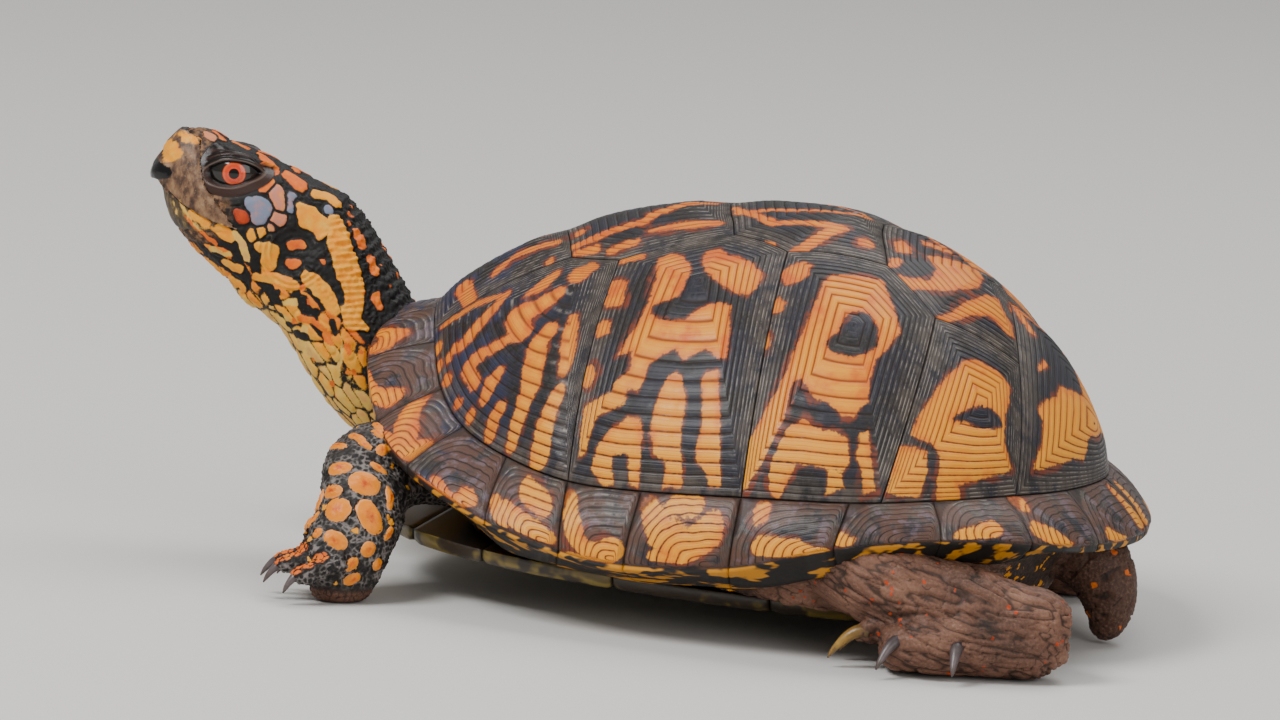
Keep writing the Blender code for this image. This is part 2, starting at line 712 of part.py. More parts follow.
def sphere(name, centre, radius, colour=EYE, roughness=ROUGH["eye"]):
    work = bmesh.new()
    bmesh.ops.create_icosphere(work, subdivisions=3, radius=radius)
    points = np.array([vertex.co for vertex in work.verts]) + centre
    faces = [[vertex.index for vertex in face.verts] for face in work.faces]
    work.free()
    return solid(name, points, faces, colour, roughness)


def head_parts():
    """The head with its beak and eyes, each cut clear of the others."""
    points, faces = ring_stack(head_rings())
    head = solid("head", points, faces)
    upper_outline = [*MOUTH_LINE[:-1], *UPPER_BEAK_ROOF]
    lower_outline = [*((f, u - GAP) for f, u in MOUTH_LINE[:-1]), *LOWER_BEAK_FLOOR]
    for name, outline in (("upper_beak", upper_outline), ("lower_beak", lower_outline)):
        beak = solid(name, points, faces, BEAK, ROUGH["horn"])
        apply_boolean(beak, wedge(name + "_zone", outline), "INTERSECT")
        apply_boolean(head, wedge(name + "_room", outline, GAP))
        keep_largest(beak)
    for side, word in ((1, "left"), (-1, "right")):
        centre = from_head((0.0, side * EYE_OFFSET, 0.0))[0]
        sphere("eye_" + word, centre, EYE_RADIUS)
        socket = as_cutter(sphere("socket_" + word, centre, EYE_RADIUS + GAP))
        apply_boolean(head, socket)
    keep_largest(head)
    return head


@dataclass
class Claw:
    """One claw: root and tip positions, root radius and how far the middle bows upwards."""

    name: str
    root: tuple
    tip: tuple
    radius: float
    bow: float = 0.7

    def build(self):
        root, tip = np.array(self.root), np.array(self.tip)
        middle = (root + tip) / 2 + np.array([0, 0, self.bow])
        stations = (
            (*root, self.radius, self.radius),
            (*middle, self.radius * 0.72, self.radius * 0.78),
            (*tip, self.radius * 0.2, self.radius * 0.25),
        )
        claw_limb = Limb(stations, rings=4, around=8, squareness=2.0)
        points, faces = ring_stack(claw_limb.loft())
        return solid(self.name, points, faces, KERATIN, ROUGH["horn"])


FORE_CLAWS = (
    ((-62.2, -37.8, 4.2), (-67.8, -35.8, 1.6)),
    ((-66.0, -41.2, 5.2), (-72.8, -40.6, 2.4)),
    ((-67.2, -44.8, 5.4), (-74.6, -45.6, 2.6)),
    ((-66.2, -48.6, 5.2), (-72.4, -51.4, 2.4)),
    ((-62.8, -51.6, 4.2), (-67.6, -55.4, 1.6)),
)
HIND_CLAWS = (
    ((34.5, -46.2, 4.6), (28.6, -46.6, 1.6)),
    ((34.5, -52.2, 6.2), (28.4, -54.6, 1.6)),
    ((41.5, -56.0, 6.2), (38.2, -61.8, 1.8)),
    ((50.5, -54.6, 6.2), (51.0, -60.8, 1.9)),
)
CLAW_RADIUS = 1.35


def claws_of(prefix, claws, side, shift):
    """The claws of one foot, from the root and tip of each on the left side."""
    made = []
    for n, ends in enumerate(claws):
        root, tip = ((x + shift, y * side, z) for x, y, z in ends)
        made.append(Claw(f"{prefix}_claw_{n + 1}", root, tip, CLAW_RADIUS).build())
    return made


def leg_pair(word, side, fore_rows, hind_rows, foot_rows, shifts, neighbours):
    """A foreleg and a hind leg of one side with their claws, each cut clear of what it passes."""
    fore = flesh(f"foreleg_{word}", Limb(fore_rows, rings=11, around=14, reference=(0.0, 1.0, 0.35)))
    hind = flesh(f"hindleg_{word}", Limb(hind_rows, rings=9, around=14, reference=(0.0, 0.3, 1.0)))
    foot = flesh(f"hindfoot_{word}_joined", Limb(foot_rows, rings=9, around=14))
    apply_boolean(hind, as_cutter(foot), "UNION")
    for leg, claws, shift in ((fore, FORE_CLAWS, shifts[0]), (hind, HIND_CLAWS, shifts[1])):
        cut_clear(leg, neighbours)
        for claw in claws_of(leg.name, claws, side, shift):
            cut_clear(claw, [leg])


def legs(neighbours):
    leg_pair("left", 1, FORELEG, HIND_THIGH, HIND_FOOT, (0.0, 0.0), neighbours)
    leg_pair(
        "right",
        -1,
        mirrored(FORELEG, RIGHT_FORE_SHIFT),
        mirrored(HIND_THIGH, RIGHT_HIND_SHIFT),
        mirrored(HIND_FOOT, RIGHT_HIND_SHIFT),
        (RIGHT_FORE_SHIFT, RIGHT_HIND_SHIFT),
        neighbours,
    )


def to_metres():
    """Centres the standing animal over the origin and turns millimetres into metres."""
    shown = [obj for obj in bpy.data.objects if not obj.hide_render]
    points = np.array([vertex.co for obj in shown for vertex in obj.data.vertices])
    low, high = points.min(axis=0), points.max(axis=0)
    shift = np.array([(low[0] + high[0]) / 2, (low[1] + high[1]) / 2, 0.0])
    for obj in bpy.data.objects:
        for vertex in obj.data.vertices:
            vertex.co = (vertex.co - Vector(shift)) * 0.001
        obj.data.update()


def main():
    clear_scene()
    dome = Dome()
    shell = [plate(name, outline, dome) for name, outline in scute_outlines(dome).items()]
    shell.append(marginal("nuchal", dome, -NUCHAL_HALF, NUCHAL_HALF, 2))
    bridge_start, bridge_end = BRIDGE_SEAMS
    lengths = (
        ("front", NUCHAL_HALF, bridge_start, 5),
        ("bridge", bridge_start, bridge_end, 7),
        ("rear", bridge_end, LAST_SEAM, 9),
    )
    for side, word in ((1, "left"), (-1, "right")):
        for part, start, end, steps in lengths:
            ends = sorted((side * start, side * end))
            shell.append(marginal(f"marginals_{part}_{word}", dome, *ends, steps))
    shell.append(lobe("plastron_front", *FRONT_LOBE, direction=-1))
    shell.append(lobe("plastron_rear", *REAR_LOBE, direction=1))
    neighbours = [trunk(dome), *shell]
    head = head_parts()
    neck = flesh("neck", Limb(NECK, rings=10, around=18, reference=(0.0, 1.0, 0.0)))
    cut_clear(neck, [head, *neighbours])
    tail = flesh("tail", Limb(TAIL, rings=10, around=16, reference=(0.0, 1.0, 0.0)))
    cut_clear(tail, neighbours)
    legs(neighbours)
    to_metres()


main()
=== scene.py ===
"""Eastern box turtle, an adult male standing with its neck raised: the finished looks of the still model.

The pieces are worked out in millimetres in the standing frame (front -X, left -Y, floor Z = 0) and turned
into the row frame's metres by Placement. Shell sizes are in the shell's own frame, tilted by Carapace.place.
"""

import logging
import math
from dataclasses import dataclass, field
from enum import Enum
from typing import Any, Iterable, Sequence

import bmesh
import bpy
import numpy as np
from mathutils import Matrix, Vector
from mathutils.bvhtree import BVHTree


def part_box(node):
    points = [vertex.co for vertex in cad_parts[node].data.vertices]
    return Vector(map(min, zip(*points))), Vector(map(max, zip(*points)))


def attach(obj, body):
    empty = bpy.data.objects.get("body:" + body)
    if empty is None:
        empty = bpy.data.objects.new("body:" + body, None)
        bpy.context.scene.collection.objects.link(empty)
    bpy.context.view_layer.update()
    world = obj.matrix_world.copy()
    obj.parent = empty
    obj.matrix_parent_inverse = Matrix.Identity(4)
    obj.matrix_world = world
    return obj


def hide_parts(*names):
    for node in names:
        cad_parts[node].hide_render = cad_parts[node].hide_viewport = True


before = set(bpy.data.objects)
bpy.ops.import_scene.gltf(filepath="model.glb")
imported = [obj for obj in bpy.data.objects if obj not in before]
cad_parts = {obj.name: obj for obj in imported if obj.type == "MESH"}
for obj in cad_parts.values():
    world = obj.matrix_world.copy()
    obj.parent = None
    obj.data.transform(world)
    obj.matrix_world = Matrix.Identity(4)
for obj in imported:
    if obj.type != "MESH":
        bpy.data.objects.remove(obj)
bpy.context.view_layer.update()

log = logging.getLogger("turtle")

Array = np.ndarray
Stops = tuple[tuple[float, str], ...]

MM = 0.001
BODY = "root"
FAR = 9.0  # a signed distance, in millimetres, that stands for "no mark near here"
LUMP_CONTRAST = 0.6
PATCH_INSET = 0.35
PAINT_SEED = 3
FLAT_WAYS = np.array([1.0, 1.0, 0.0])
UPWARDS = np.array([0.0, 0.0, 1.0])


class Slot(Enum):
    """The record's material slots."""

    SHELL = "shell_plates"
    PLASTRON = "plastron"
    SKIN = "skin"
    BEAK = "beak"
    CLAWS = "claws"
    EYES = "eyes"


class Side(Enum):
    """The animal's own left and right, as the sign of Y."""

    LEFT = -1
    RIGHT = 1

    @property
    def word(self) -> str:
        """The side's name as used in node names."""
        return self.name.lower()


# ----------------------------------------------------------------------------------------------------------
# Numbers and noise


def smoothstep(low: float, high: float, values: Array) -> Array:
    """A smooth rise from 0 at low to 1 at high.

    Args:
        low: Where the rise starts.
        high: Where it ends; it may be below low for a fall.
        values: The values to read it at.

    Returns:
        The share for each value.
    """
    t = np.clip((np.asarray(values, float) - low) / (high - low), 0.0, 1.0)
    return t * t * (3.0 - 2.0 * t)


def unit(vectors: Array) -> Array:
    """The vectors at unit length."""
    return vectors / np.maximum(np.linalg.norm(vectors, axis=-1, keepdims=True), 1e-12)


def circle(count: int) -> Array:
    """Even angles round one turn."""
    return np.linspace(0, 2 * math.pi, count + 1)[:-1]


def squared(turns: Array, across: float, along: float) -> tuple[Array, Array]:
    """Cosines and sines drawn out towards a square, by a superellipse exponent for each."""
    c, s = np.cos(turns), np.sin(turns)
    return np.sign(c) * np.abs(c) ** (2 / across), np.sign(s) * np.abs(s) ** (2 / along)


def bell(values: Array, middle: float, width: float) -> Array:
    """A smooth hump of height 1."""
    return np.exp(-(((values - middle) / width) ** 2))


def line_frames(line: Array, reference: Sequence[float]) -> tuple[Array, Array, Array]:
    """Directions along a bent line.

    Args:
        line: Points along it.
        reference: A direction that the second axis leans to.

    Returns:
        Along the line, across it, and the second axis at right angles to both.
    """
    tangents = unit(np.gradient(line, axis=0))
    across = unit(np.cross(tangents, np.array(reference)))
    return tangents, across, np.cross(across, tangents)


def catmull(rows: Sequence[Sequence[float]], at: Array) -> Array:
    """Rows read as a smooth curve.

    Args:
        rows: Values at whole row numbers.
        at: Fractional row numbers.

    Returns:
        One interpolated row for each place asked for.
    """
    table = np.asarray(rows, float)
    places = np.atleast_1d(np.asarray(at, float))
    last = len(table) - 1
    first = np.clip(np.floor(places).astype(int), 0, last - 1)
    t = (places - first)[:, None]
    before = table[np.clip(first - 1, 0, last)]
    start = table[first]
    end = table[first + 1]
    after = table[np.clip(first + 2, 0, last)]
    square = (2 * before - 5 * start + 4 * end - after) * t**2
    cube = (3 * start - before - 3 * end + after) * t**3
    return 0.5 * (2 * start + (end - before) * t + square + cube)


def hashed(cells: Array, seed: int) -> Array:
    """Even numbers from 0 to 1, one for each whole-number cell.

    Args:
        cells: Whole numbers, three in the last axis.
        seed: Picks one of many tables.

    Returns:
        A number for each cell.
    """
    whole = cells.astype(np.int64).astype(np.uint32)
    mixed = whole[..., 0] * np.uint32(73856093)
    mixed ^= whole[..., 1] * np.uint32(19349663)
    mixed ^= whole[..., 2] * np.uint32(83492791)
    mixed ^= np.uint32((seed * 2654435761) % 2**32)
    mixed ^= mixed >> np.uint32(16)
    mixed *= np.uint32(0x7FEB352D)
    mixed ^= mixed >> np.uint32(15)
    mixed *= np.uint32(0x846CA68B)
    mixed ^= mixed >> np.uint32(16)
    return mixed / float(2**32)


def noise(points: Array, size: float, seed: int = 0, octaves: int = 2) -> Array:
    """Smooth noise from -1 to 1.

    Args:
        points: Places, in the same unit as size.
        size: The width of the largest lumps.
        seed: Picks one of many patterns.
        octaves: How many finer layers are added.

    Returns:
        A number for each point.
    """
    total = np.zeros(len(points))
    weight = 0.0
    for octave in range(octaves):
        scaled = np.asarray(points, float) * (2.0**octave / size) + 17.31 * octave
        cell = np.floor(scaled)
        t = scaled - cell
        t = t * t * (3.0 - 2.0 * t)
        value = np.zeros(len(points))
        for corner in np.ndindex(2, 2, 2):
            share = np.prod(np.where(np.array(corner) == 1, t, 1.0 - t), axis=1)
            value += share * hashed(cell + np.array(corner), seed + octave)
        total += (2.0 * value - 1.0) * 0.5**octave
        weight += 0.5**octave
    return total / weight


# ----------------------------------------------------------------------------------------------------------
# Meshes


@dataclass
class Mesh:
    """A mesh under construction, in millimetres of the standing frame."""

    points: Array
    faces: list[Array]
    marks: dict[str, Array] = field(default_factory=dict)
    flat: Array | None = None

    def volume(self) -> float:
        """Signed volume: negative when the faces point inwards.

        Returns:
            The volume in cubic millimetres.
        """
        total = 0.0
        for faces in self.faces:
            for turn in range(1, faces.shape[1] - 1):
                a = self.points[faces[:, 0]]
                b = self.points[faces[:, turn]]
                c = self.points[faces[:, turn + 1]]
                total += float(np.sum(a * np.cross(b, c)))
        return total / 6.0

    def outward(self) -> "Mesh":
        """The same mesh with its faces pointing out."""
        if self.volume() < 0:
            self.faces = [faces[:, ::-1] for faces in self.faces]
        return self

    def to_object(self, name: str, placement: "Placement") -> bpy.types.Object:
        """Makes the Blender object.

        Args:
            name: The object's name.
            placement: Turns the standing frame into the row frame.

        Returns:
            The object, linked to the scene.
        """
        mesh = bpy.data.meshes.new(name)
        corners = np.concatenate([faces.ravel() for faces in self.faces]).astype(np.int32)
        sizes = np.concatenate([np.full(len(faces), faces.shape[1]) for faces in self.faces])
        starts = np.concatenate([[0], np.cumsum(sizes)[:-1]]).astype(np.int32)
        mesh.vertices.add(len(self.points))
        mesh.vertices.foreach_set("co", placement.to_row(self.points).astype(np.float32).ravel())
        mesh.loops.add(len(corners))
        mesh.loops.foreach_set("vertex_index", corners)
        mesh.polygons.add(len(sizes))
        mesh.polygons.foreach_set("loop_start", starts)
        mesh.update(calc_edges=True)
        mesh.validate()
        mesh.polygons.foreach_set("use_smooth", np.ones(len(mesh.polygons), bool))
        add_marks(mesh, self.marks)
        if self.flat is not None:
            layer = mesh.uv_layers.new(name="OFBake")
            picked = np.empty(len(mesh.loops), np.int32)
            mesh.loops.foreach_get("vertex_index", picked)
            layer.uv.foreach_set("vector", self.flat[picked].astype(np.float32).ravel())
        obj = bpy.data.objects.new(name, mesh)
        bpy.context.scene.collection.objects.link(obj)
        return obj


def add_marks(mesh: bpy.types.Mesh, marks: dict[str, Array]) -> None:
    """Stores numbers at the mesh's points, for the finishes to read."""
    for name, values in marks.items():
        attribute = mesh.attributes.new(name, "FLOAT", "POINT")
        attribute.data.foreach_set("value", np.asarray(values, np.float32))


def read_normals(mesh: bpy.types.Mesh) -> Array:
    """The mesh's outward directions, point by point."""
    flat = np.empty(len(mesh.vertices) * 3, np.float32)
    mesh.vertex_normals.foreach_get("vector", flat)
    return flat.reshape(-1, 3).astype(float)


def apply_modifiers(obj: bpy.types.Object) -> None:
    """Puts what the object's modifiers make in place of its mesh."""
    graph = bpy.context.evaluated_depsgraph_get()
    made = bpy.data.meshes.new_from_object(obj.evaluated_get(graph))
    obj.modifiers.clear()
    obj.data = made


def ring_grid(rings: int, around: int) -> Array:
    """Four-cornered faces between closed rings of points."""
    row, i = np.meshgrid(np.arange(rings - 1), np.arange(around), indexing="ij")
    a, b = row * around + i, row * around + (i + 1) % around
    return np.stack([a, b, b + around, a + around], axis=-1).reshape(-1, 4)


def fan(middle: int, start: int, around: int, inwards: bool = False) -> Array:
    """Three-cornered faces from a middle point to a ring of points.

    Args:
        middle: Number of the middle point.
        start: Number of the ring's first point.
        around: How many points the ring has.
        inwards: Turns the faces over.

    Returns:
        Point numbers, three for each face.
    """
    i = start + np.arange(around)
    j = start + (np.arange(around) + 1) % around
    return np.stack([np.full(around, middle), *((j, i) if inwards else (i, j))], axis=1)


def ring_stack(rings: Array) -> Mesh:
    """A closed loft through closed rings, with a fan at each end.

    Args:
        rings: Rings by points by three.

    Returns:
        The mesh, facing out.
    """
    count, around = rings.shape[:2]
    points = np.vstack([rings.reshape(-1, 3), rings[0].mean(axis=0), rings[-1].mean(axis=0)])
    first = fan(count * around, 0, around, inwards=True)
    last = fan(count * around + 1, (count - 1) * around, around)
    return Mesh(points, [ring_grid(count, around), first, last]).outward()


@dataclass(frozen=True)
class Placement:
    """Where the standing frame lies in the row frame."""

    shift: tuple[float, float, float]

    @classmethod
    def from_frame(cls, eye: Array) -> "Placement":
        """Finds the shift from the left eye.

        Args:
            eye: The left eye's centre in the standing frame.

        Returns:
            The placement.
        """
        low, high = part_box("eye_left")
        centre = (np.array(low) + np.array(high)) / 2 / MM
        return cls(tuple(float(value) for value in centre - eye))

    def to_row(self, points: Array) -> Array:
        """Standing millimetres to row-frame metres."""
        return (np.asarray(points, float) + np.array(self.shift)) * MM

    def to_standing(self, points: Array) -> Array:
        """Row-frame metres to standing millimetres."""
        return np.asarray(points, float) / MM - np.array(self.shift)

    def read(self, mesh: bpy.types.Mesh) -> Array:
        """A mesh's points in standing millimetres."""
        flat = np.empty(len(mesh.vertices) * 3, np.float32)
        mesh.vertices.foreach_get("co", flat)
        return self.to_standing(flat.reshape(-1, 3))

    def write(self, mesh: bpy.types.Mesh, points: Array) -> None:
        """Puts standing points back into a mesh."""
        mesh.vertices.foreach_set("co", self.to_row(points).astype(np.float32).ravel())
        mesh.update()


# ----------------------------------------------------------------------------------------------------------
# The carapace's shape


@dataclass(frozen=True)
class Meridian:
    """A profile from the apex to the marginals' seam: superellipse exponent and end angle in degrees."""

    exponent: float
    end: float


@dataclass
class Carapace:
    """The upper shell: its rim, its seams and its dome, read in a flat layout about the apex."""

    pitch: float = 3.0
    rim_height: float = 16.9
    apex: tuple[float, float] = (9.0, 53.6)
    front: Meridian = Meridian(1.98, 57.0)
    side: Meridian = Meridian(1.92, 74.0)
    rear: Meridian = Meridian(1.93, 74.0)
    quarter_softening: float = 0.14
    unrolled: float = 72.0
    seams: tuple[tuple[float, ...], ...] = (
        (-64.8, 0.0, 24.0, -57.5, 0.0, 27.5),
        (-65.7, 6.0, 22.4, -57.0, 6.0, 26.9),
        (-65.1, 17.0, 17.6, -54.2, 15.5, 22.4),
        (-58.6, 31.0, 9.6, -50.0, 24.0, 15.8),
        (-50.6, 39.5, 4.2, -43.7, 31.2, 11.1),
        (-34.0, 48.0, -1.3, -33.6, 39.4, 8.6),
        (-19.8, 52.0, -3.6, -21.1, 45.6, 7.2),
        (-7.9, 54.0, -3.9, -7.4, 49.5, 8.2),
        (10.6, 56.2, -1.1, 10.4, 52.2, 10.4),
        (28.0, 56.2, 4.8, 28.8, 51.4, 12.3),
        (45.3, 51.6, 8.4, 42.1, 45.8, 14.0),
        (58.9, 40.0, 8.4, 52.4, 34.6, 14.9),
        (67.2, 22.5, 7.2, 59.8, 18.0, 14.8),
        (71.2, 0.0, 6.9, 63.2, 0.0, 15.0),
    )
    keel_seams: tuple[float, ...] = (-36.6, -8.4, 18.8, 42.6)
    upper_corners: tuple[tuple[float, float], ...] = ((-32.5, 13.0), (-4.2, 15.0), (23.6, 17.0), (48.2, 14.5))
    lateral_corners: tuple[tuple[float, float], ...] = ((-23.3, 17.0), (6.6, 20.5), (34.2, 23.0))
    costal_feet: tuple[float, ...] = (1.7, 6.0, 8.0, 9.35, 11.15)
    plastron_top: float = -8.2
    plastron_bottom: float = -11.0

    def __post_init__(self) -> None:
        """Works out the seam's reach and height by direction from the apex."""
        self.last = len(self.seams) - 1
        stations = np.linspace(0, 2 * self.last, 1041)[:-1]
        _, seam = self.rim_line(stations)
        angle = np.arctan2(seam[:, 1], seam[:, 0] - self.apex[0])
        order = np.argsort(angle)
        once = angle[order]
        self._angle = np.concatenate([once - 2 * math.pi, once, once + 2 * math.pi])
        self._reach = np.tile(np.hypot(seam[:, 0] - self.apex[0], seam[:, 1])[order], 3)
        self._foot = np.tile(seam[order, 2], 3)

    def place(self, points: Array) -> Array:
        """From the shell's own frame to the standing frame.

        Args:
            points: Places in the shell's frame.

        Returns:
            The same places in the standing frame.
        """
        c = math.cos(math.radians(self.pitch))
        s = math.sin(math.radians(self.pitch))
        x = points[..., 0] * c + points[..., 2] * s
        z = points[..., 2] * c - points[..., 0] * s + self.rim_height
        return np.stack([x, points[..., 1], z], axis=-1)

    def rim_line(self, at: Array) -> tuple[Array, Array]:
        """Rim and seam points.

        Args:
            at: Marginal seam numbers, 0-13 down the left side and 13-26 back up the right.

        Returns:
            Points on the rim's edge, and on the seam above the marginals.
        """
        places = np.atleast_1d(np.asarray(at, float)) % (2 * self.last)
        right = places > self.last
        row = np.where(right, 2 * self.last - places, places)
        table = np.array(self.seams)
        flip = np.array([1, -1, 1, 1, -1, 1])
        padded = np.vstack([table[1] * flip, table, table[-2] * flip])
        values = catmull(padded, row + 1)
        values[:, [1, 4]] *= np.where(right, 1.0, -1.0)[:, None]
        return values[:, :3], values[:, 3:]

    def profile(self, angle: Array) -> tuple[Array, Array]:
        """The form of the dome's meridian in each direction.

        Args:
            angle: Directions round the apex, in radians.

        Returns:
            The superellipse's exponents and end angles.
        """
        ahead = np.cos(angle)
        side = np.sin(angle) ** 2
        rear = np.where(ahead > 0, ahead**2, 0)
        front = np.where(ahead > 0, 0, ahead**2)
        quarter = np.where(ahead > 0, np.sin(2 * angle) ** 2, 0)
        shares = ((self.front, front), (self.side, side), (self.rear, rear))
        exponent = sum(part.exponent * share for part, share in shares) - self.quarter_softening * quarter
        end = sum(part.end * share for part, share in shares)
        return exponent, np.radians(end)

    def flat(self, x: Array, y: Array) -> Array:
        """Flat layout of points given in plan.

        Args:
            x: Places along the shell.
            y: Places across it.

        Returns:
            The places in the flat layout.
        """
        dx = np.asarray(x, float) - self.apex[0]
        dy = np.asarray(y, float)
        angle = np.arctan2(dy, dx)
        share = np.hypot(dx, dy) / np.interp(angle, self._angle, self._reach)
        exponent, end = self.profile(angle)
        t = np.arcsin(np.clip(share ** (exponent / 2) * np.sin(end), 0, 1)) / end
        return np.stack([t * np.cos(angle), t * np.sin(angle)], axis=-1) * self.unrolled

    def raised(self, flat: Array) -> Array:
        """Points on the dome for points of the flat layout.

        Args:
            flat: Places in the flat layout.

        Returns:
            The places on the dome in the shell's frame.
        """
        angle = np.arctan2(flat[:, 1], flat[:, 0])
        t = np.hypot(flat[:, 0], flat[:, 1]) / self.unrolled
        exponent, end = self.profile(angle)
        turn = np.clip(t, 0, 1.1) * end
        share = (np.sin(turn) / np.sin(end)) ** (2 / exponent)
        drop_end = np.cos(end) ** (2 / exponent)
        height = (np.abs(np.cos(turn)) ** (2 / exponent) - drop_end) / (1 - drop_end)
        reach = np.interp(angle, self._angle, self._reach) * share
        foot = np.interp(angle, self._angle, self._foot)
        rise = foot + (self.apex[1] - foot) * height
        return np.stack([self.apex[0] + reach * np.cos(angle), reach * np.sin(angle), rise], axis=-1)

    def normals(self, flat: Array) -> Array:
        """Outward directions on the dome."""
        step = 0.4
        ahead = self.raised(flat + (step, 0)) - self.raised(flat - (step, 0))
        beside = self.raised(flat + (0, step)) - self.raised(flat - (0, step))
        return unit(np.cross(ahead, beside))

    def seam_foot(self, stations: Array) -> Array:
        """Flat layout of the marginals' upper seam at marginal seam numbers."""
        _, seam = self.rim_line(stations)
        return self.flat(seam[:, 0], seam[:, 1])

    def feet(self, start: float, end: float) -> list[Array]:
        """Outline points along the marginals' seam."""
        steps = max(9, int(abs(end - start) * 6) + 1)
        return list(self.seam_foot(np.linspace(start, end, steps)))

    def outlines(self) -> dict[str, Array]:
        """The outline of each scute above the marginals, in the flat layout.

        Returns:
            The outlines by the scutes' names.
        """

        def corner(pair: tuple[float, float], side: int) -> Array:
            """A seam corner of one side in the flat layout."""
            return self.flat(pair[0], side * pair[1])

        keel = [self.flat(x, 0.0) for x in self.keel_seams]
        upper = {side.value: [corner(pair, side.value) for pair in self.upper_corners] for side in Side}
        lateral = {side.value: [corner(pair, side.value) for pair in self.lateral_corners] for side in Side}
        first, last = self.costal_feet[0], self.costal_feet[-1]
        found = {"vertebral_1": [*self.feet(-first, first), upper[-1][0], keel[0], upper[1][0]]}
        for n in range(3):
            left = [upper[-1][n], lateral[-1][n], upper[-1][n + 1]]
            right = [upper[1][n + 1], lateral[1][n], upper[1][n]]
            found[f"vertebral_{n + 2}"] = [keel[n], *left, keel[n + 1], *right]
        rear_edge = self.feet(last, 2 * self.last - last)
        found["vertebral_5"] = [keel[3], upper[-1][3], *rear_edge, upper[1][3]]
        for side in Side:
            sign = side.value
            feet = [-sign * station for station in self.costal_feet]
            tops = (
                [upper[sign][0], lateral[sign][0]],
                [lateral[sign][0], upper[sign][1], lateral[sign][1]],
                [lateral[sign][1], upper[sign][2], lateral[sign][2]],
                [lateral[sign][2], upper[sign][3]],
            )
            for n, top in enumerate(tops):
                found[f"costal_{n + 1}_{side.word}"] = [*self.feet(feet[n], feet[n + 1]), *top[::-1]]
        return {name: np.array(points) for name, points in found.items()}


# ----------------------------------------------------------------------------------------------------------
# Markings: blotches as tapered strokes, in each plate's own millimetres


def along_side(points: Array, start: Array, end: Array) -> tuple[Array, Array]:
    """Distance from each point to a straight side, and how far along it the nearest place lies, 0 to 1."""
    run = end - start
    t = np.clip(((points - start) @ run) / max(float(run @ run), 1e-9), 0, 1)
    return np.linalg.norm(points - (start + t[:, None] * run), axis=1), t


def tapered_distance(places: Sequence[tuple[float, ...]], points: Array) -> Array:
    """Signed distance to a tapered bent line, in the plane or in space.

    Args:
        places: Places along it, each followed by the half width there.
        points: Where to measure.

    Returns:
        The distance for each point, negative inside.
    """
    rows = np.array(places, float)
    if len(rows) == 1:
        return np.linalg.norm(points - rows[0, :-1], axis=1) - rows[0, -1]
    best = np.full(len(points), np.inf)
    for start, end in zip(rows[:-1], rows[1:]):
        away, t = along_side(points, start[:-1], end[:-1])
        best = np.minimum(best, away - (start[-1] + (end[-1] - start[-1]) * t))
    return best


def polygon_distance(outline: Array, points: Array) -> Array:
    """Distance from each point to the closed outline's nearest side."""
    sides = zip(outline, np.roll(outline, -1, axis=0))
    return np.min([along_side(points, start, end)[0] for start, end in sides], axis=0)


def outline_distance(outline: Array, points: Array) -> Array:
    """Signed distance to a closed outline.

    Args:
        outline: Its corners in order.
        points: Where to measure.

    Returns:
        The distance for each point, negative inside.
    """
    inside = np.zeros(len(points), bool)
    for a, b in zip(outline, np.roll(outline, -1, axis=0)):
        between = (a[1] > points[:, 1]) != (b[1] > points[:, 1])
        rise = b[1] - a[1] if abs(b[1] - a[1]) > 1e-9 else 1e-9
        inside ^= between & (points[:, 0] < (b[0] - a[0]) * (points[:, 1] - a[1]) / rise + a[0])
    distance = polygon_distance(outline, points)
    return np.where(inside, -distance, distance)


@dataclass(frozen=True)
class Stroke:
    """A tapered mark along a bent line: places and half widths, in millimetres."""

    places: tuple[tuple[float, float, float], ...]

    def distance(self, points: Array) -> Array:
        """Signed distance to the mark, negative inside it, for places in the plate's millimetres."""
        return tapered_distance(self.places, points)


@dataclass(frozen=True)
class Patch:
    """A mark with its own outline, or a dark gap cut out of the marks round it."""

    outline: tuple[tuple[float, float], ...]
    cut: bool = False

    def distance(self, points: Array) -> Array:
        """Signed distance to the outline, drawn in a little to match the strokes' feathered edges."""
        away = outline_distance(np.array(self.outline, float), points)
        return PATCH_INSET - away if self.cut else PATCH_INSET + away


def strokes(*lines: Sequence[tuple[float, float, float]]) -> tuple[Stroke, ...]:
    """Several strokes from plain rows."""
    return tuple(Stroke(tuple(line)) for line in lines)


def patch(*outline: tuple[float, float], cut: bool = False) -> Patch:
    """A patch from its corners."""
    return Patch(outline, cut)


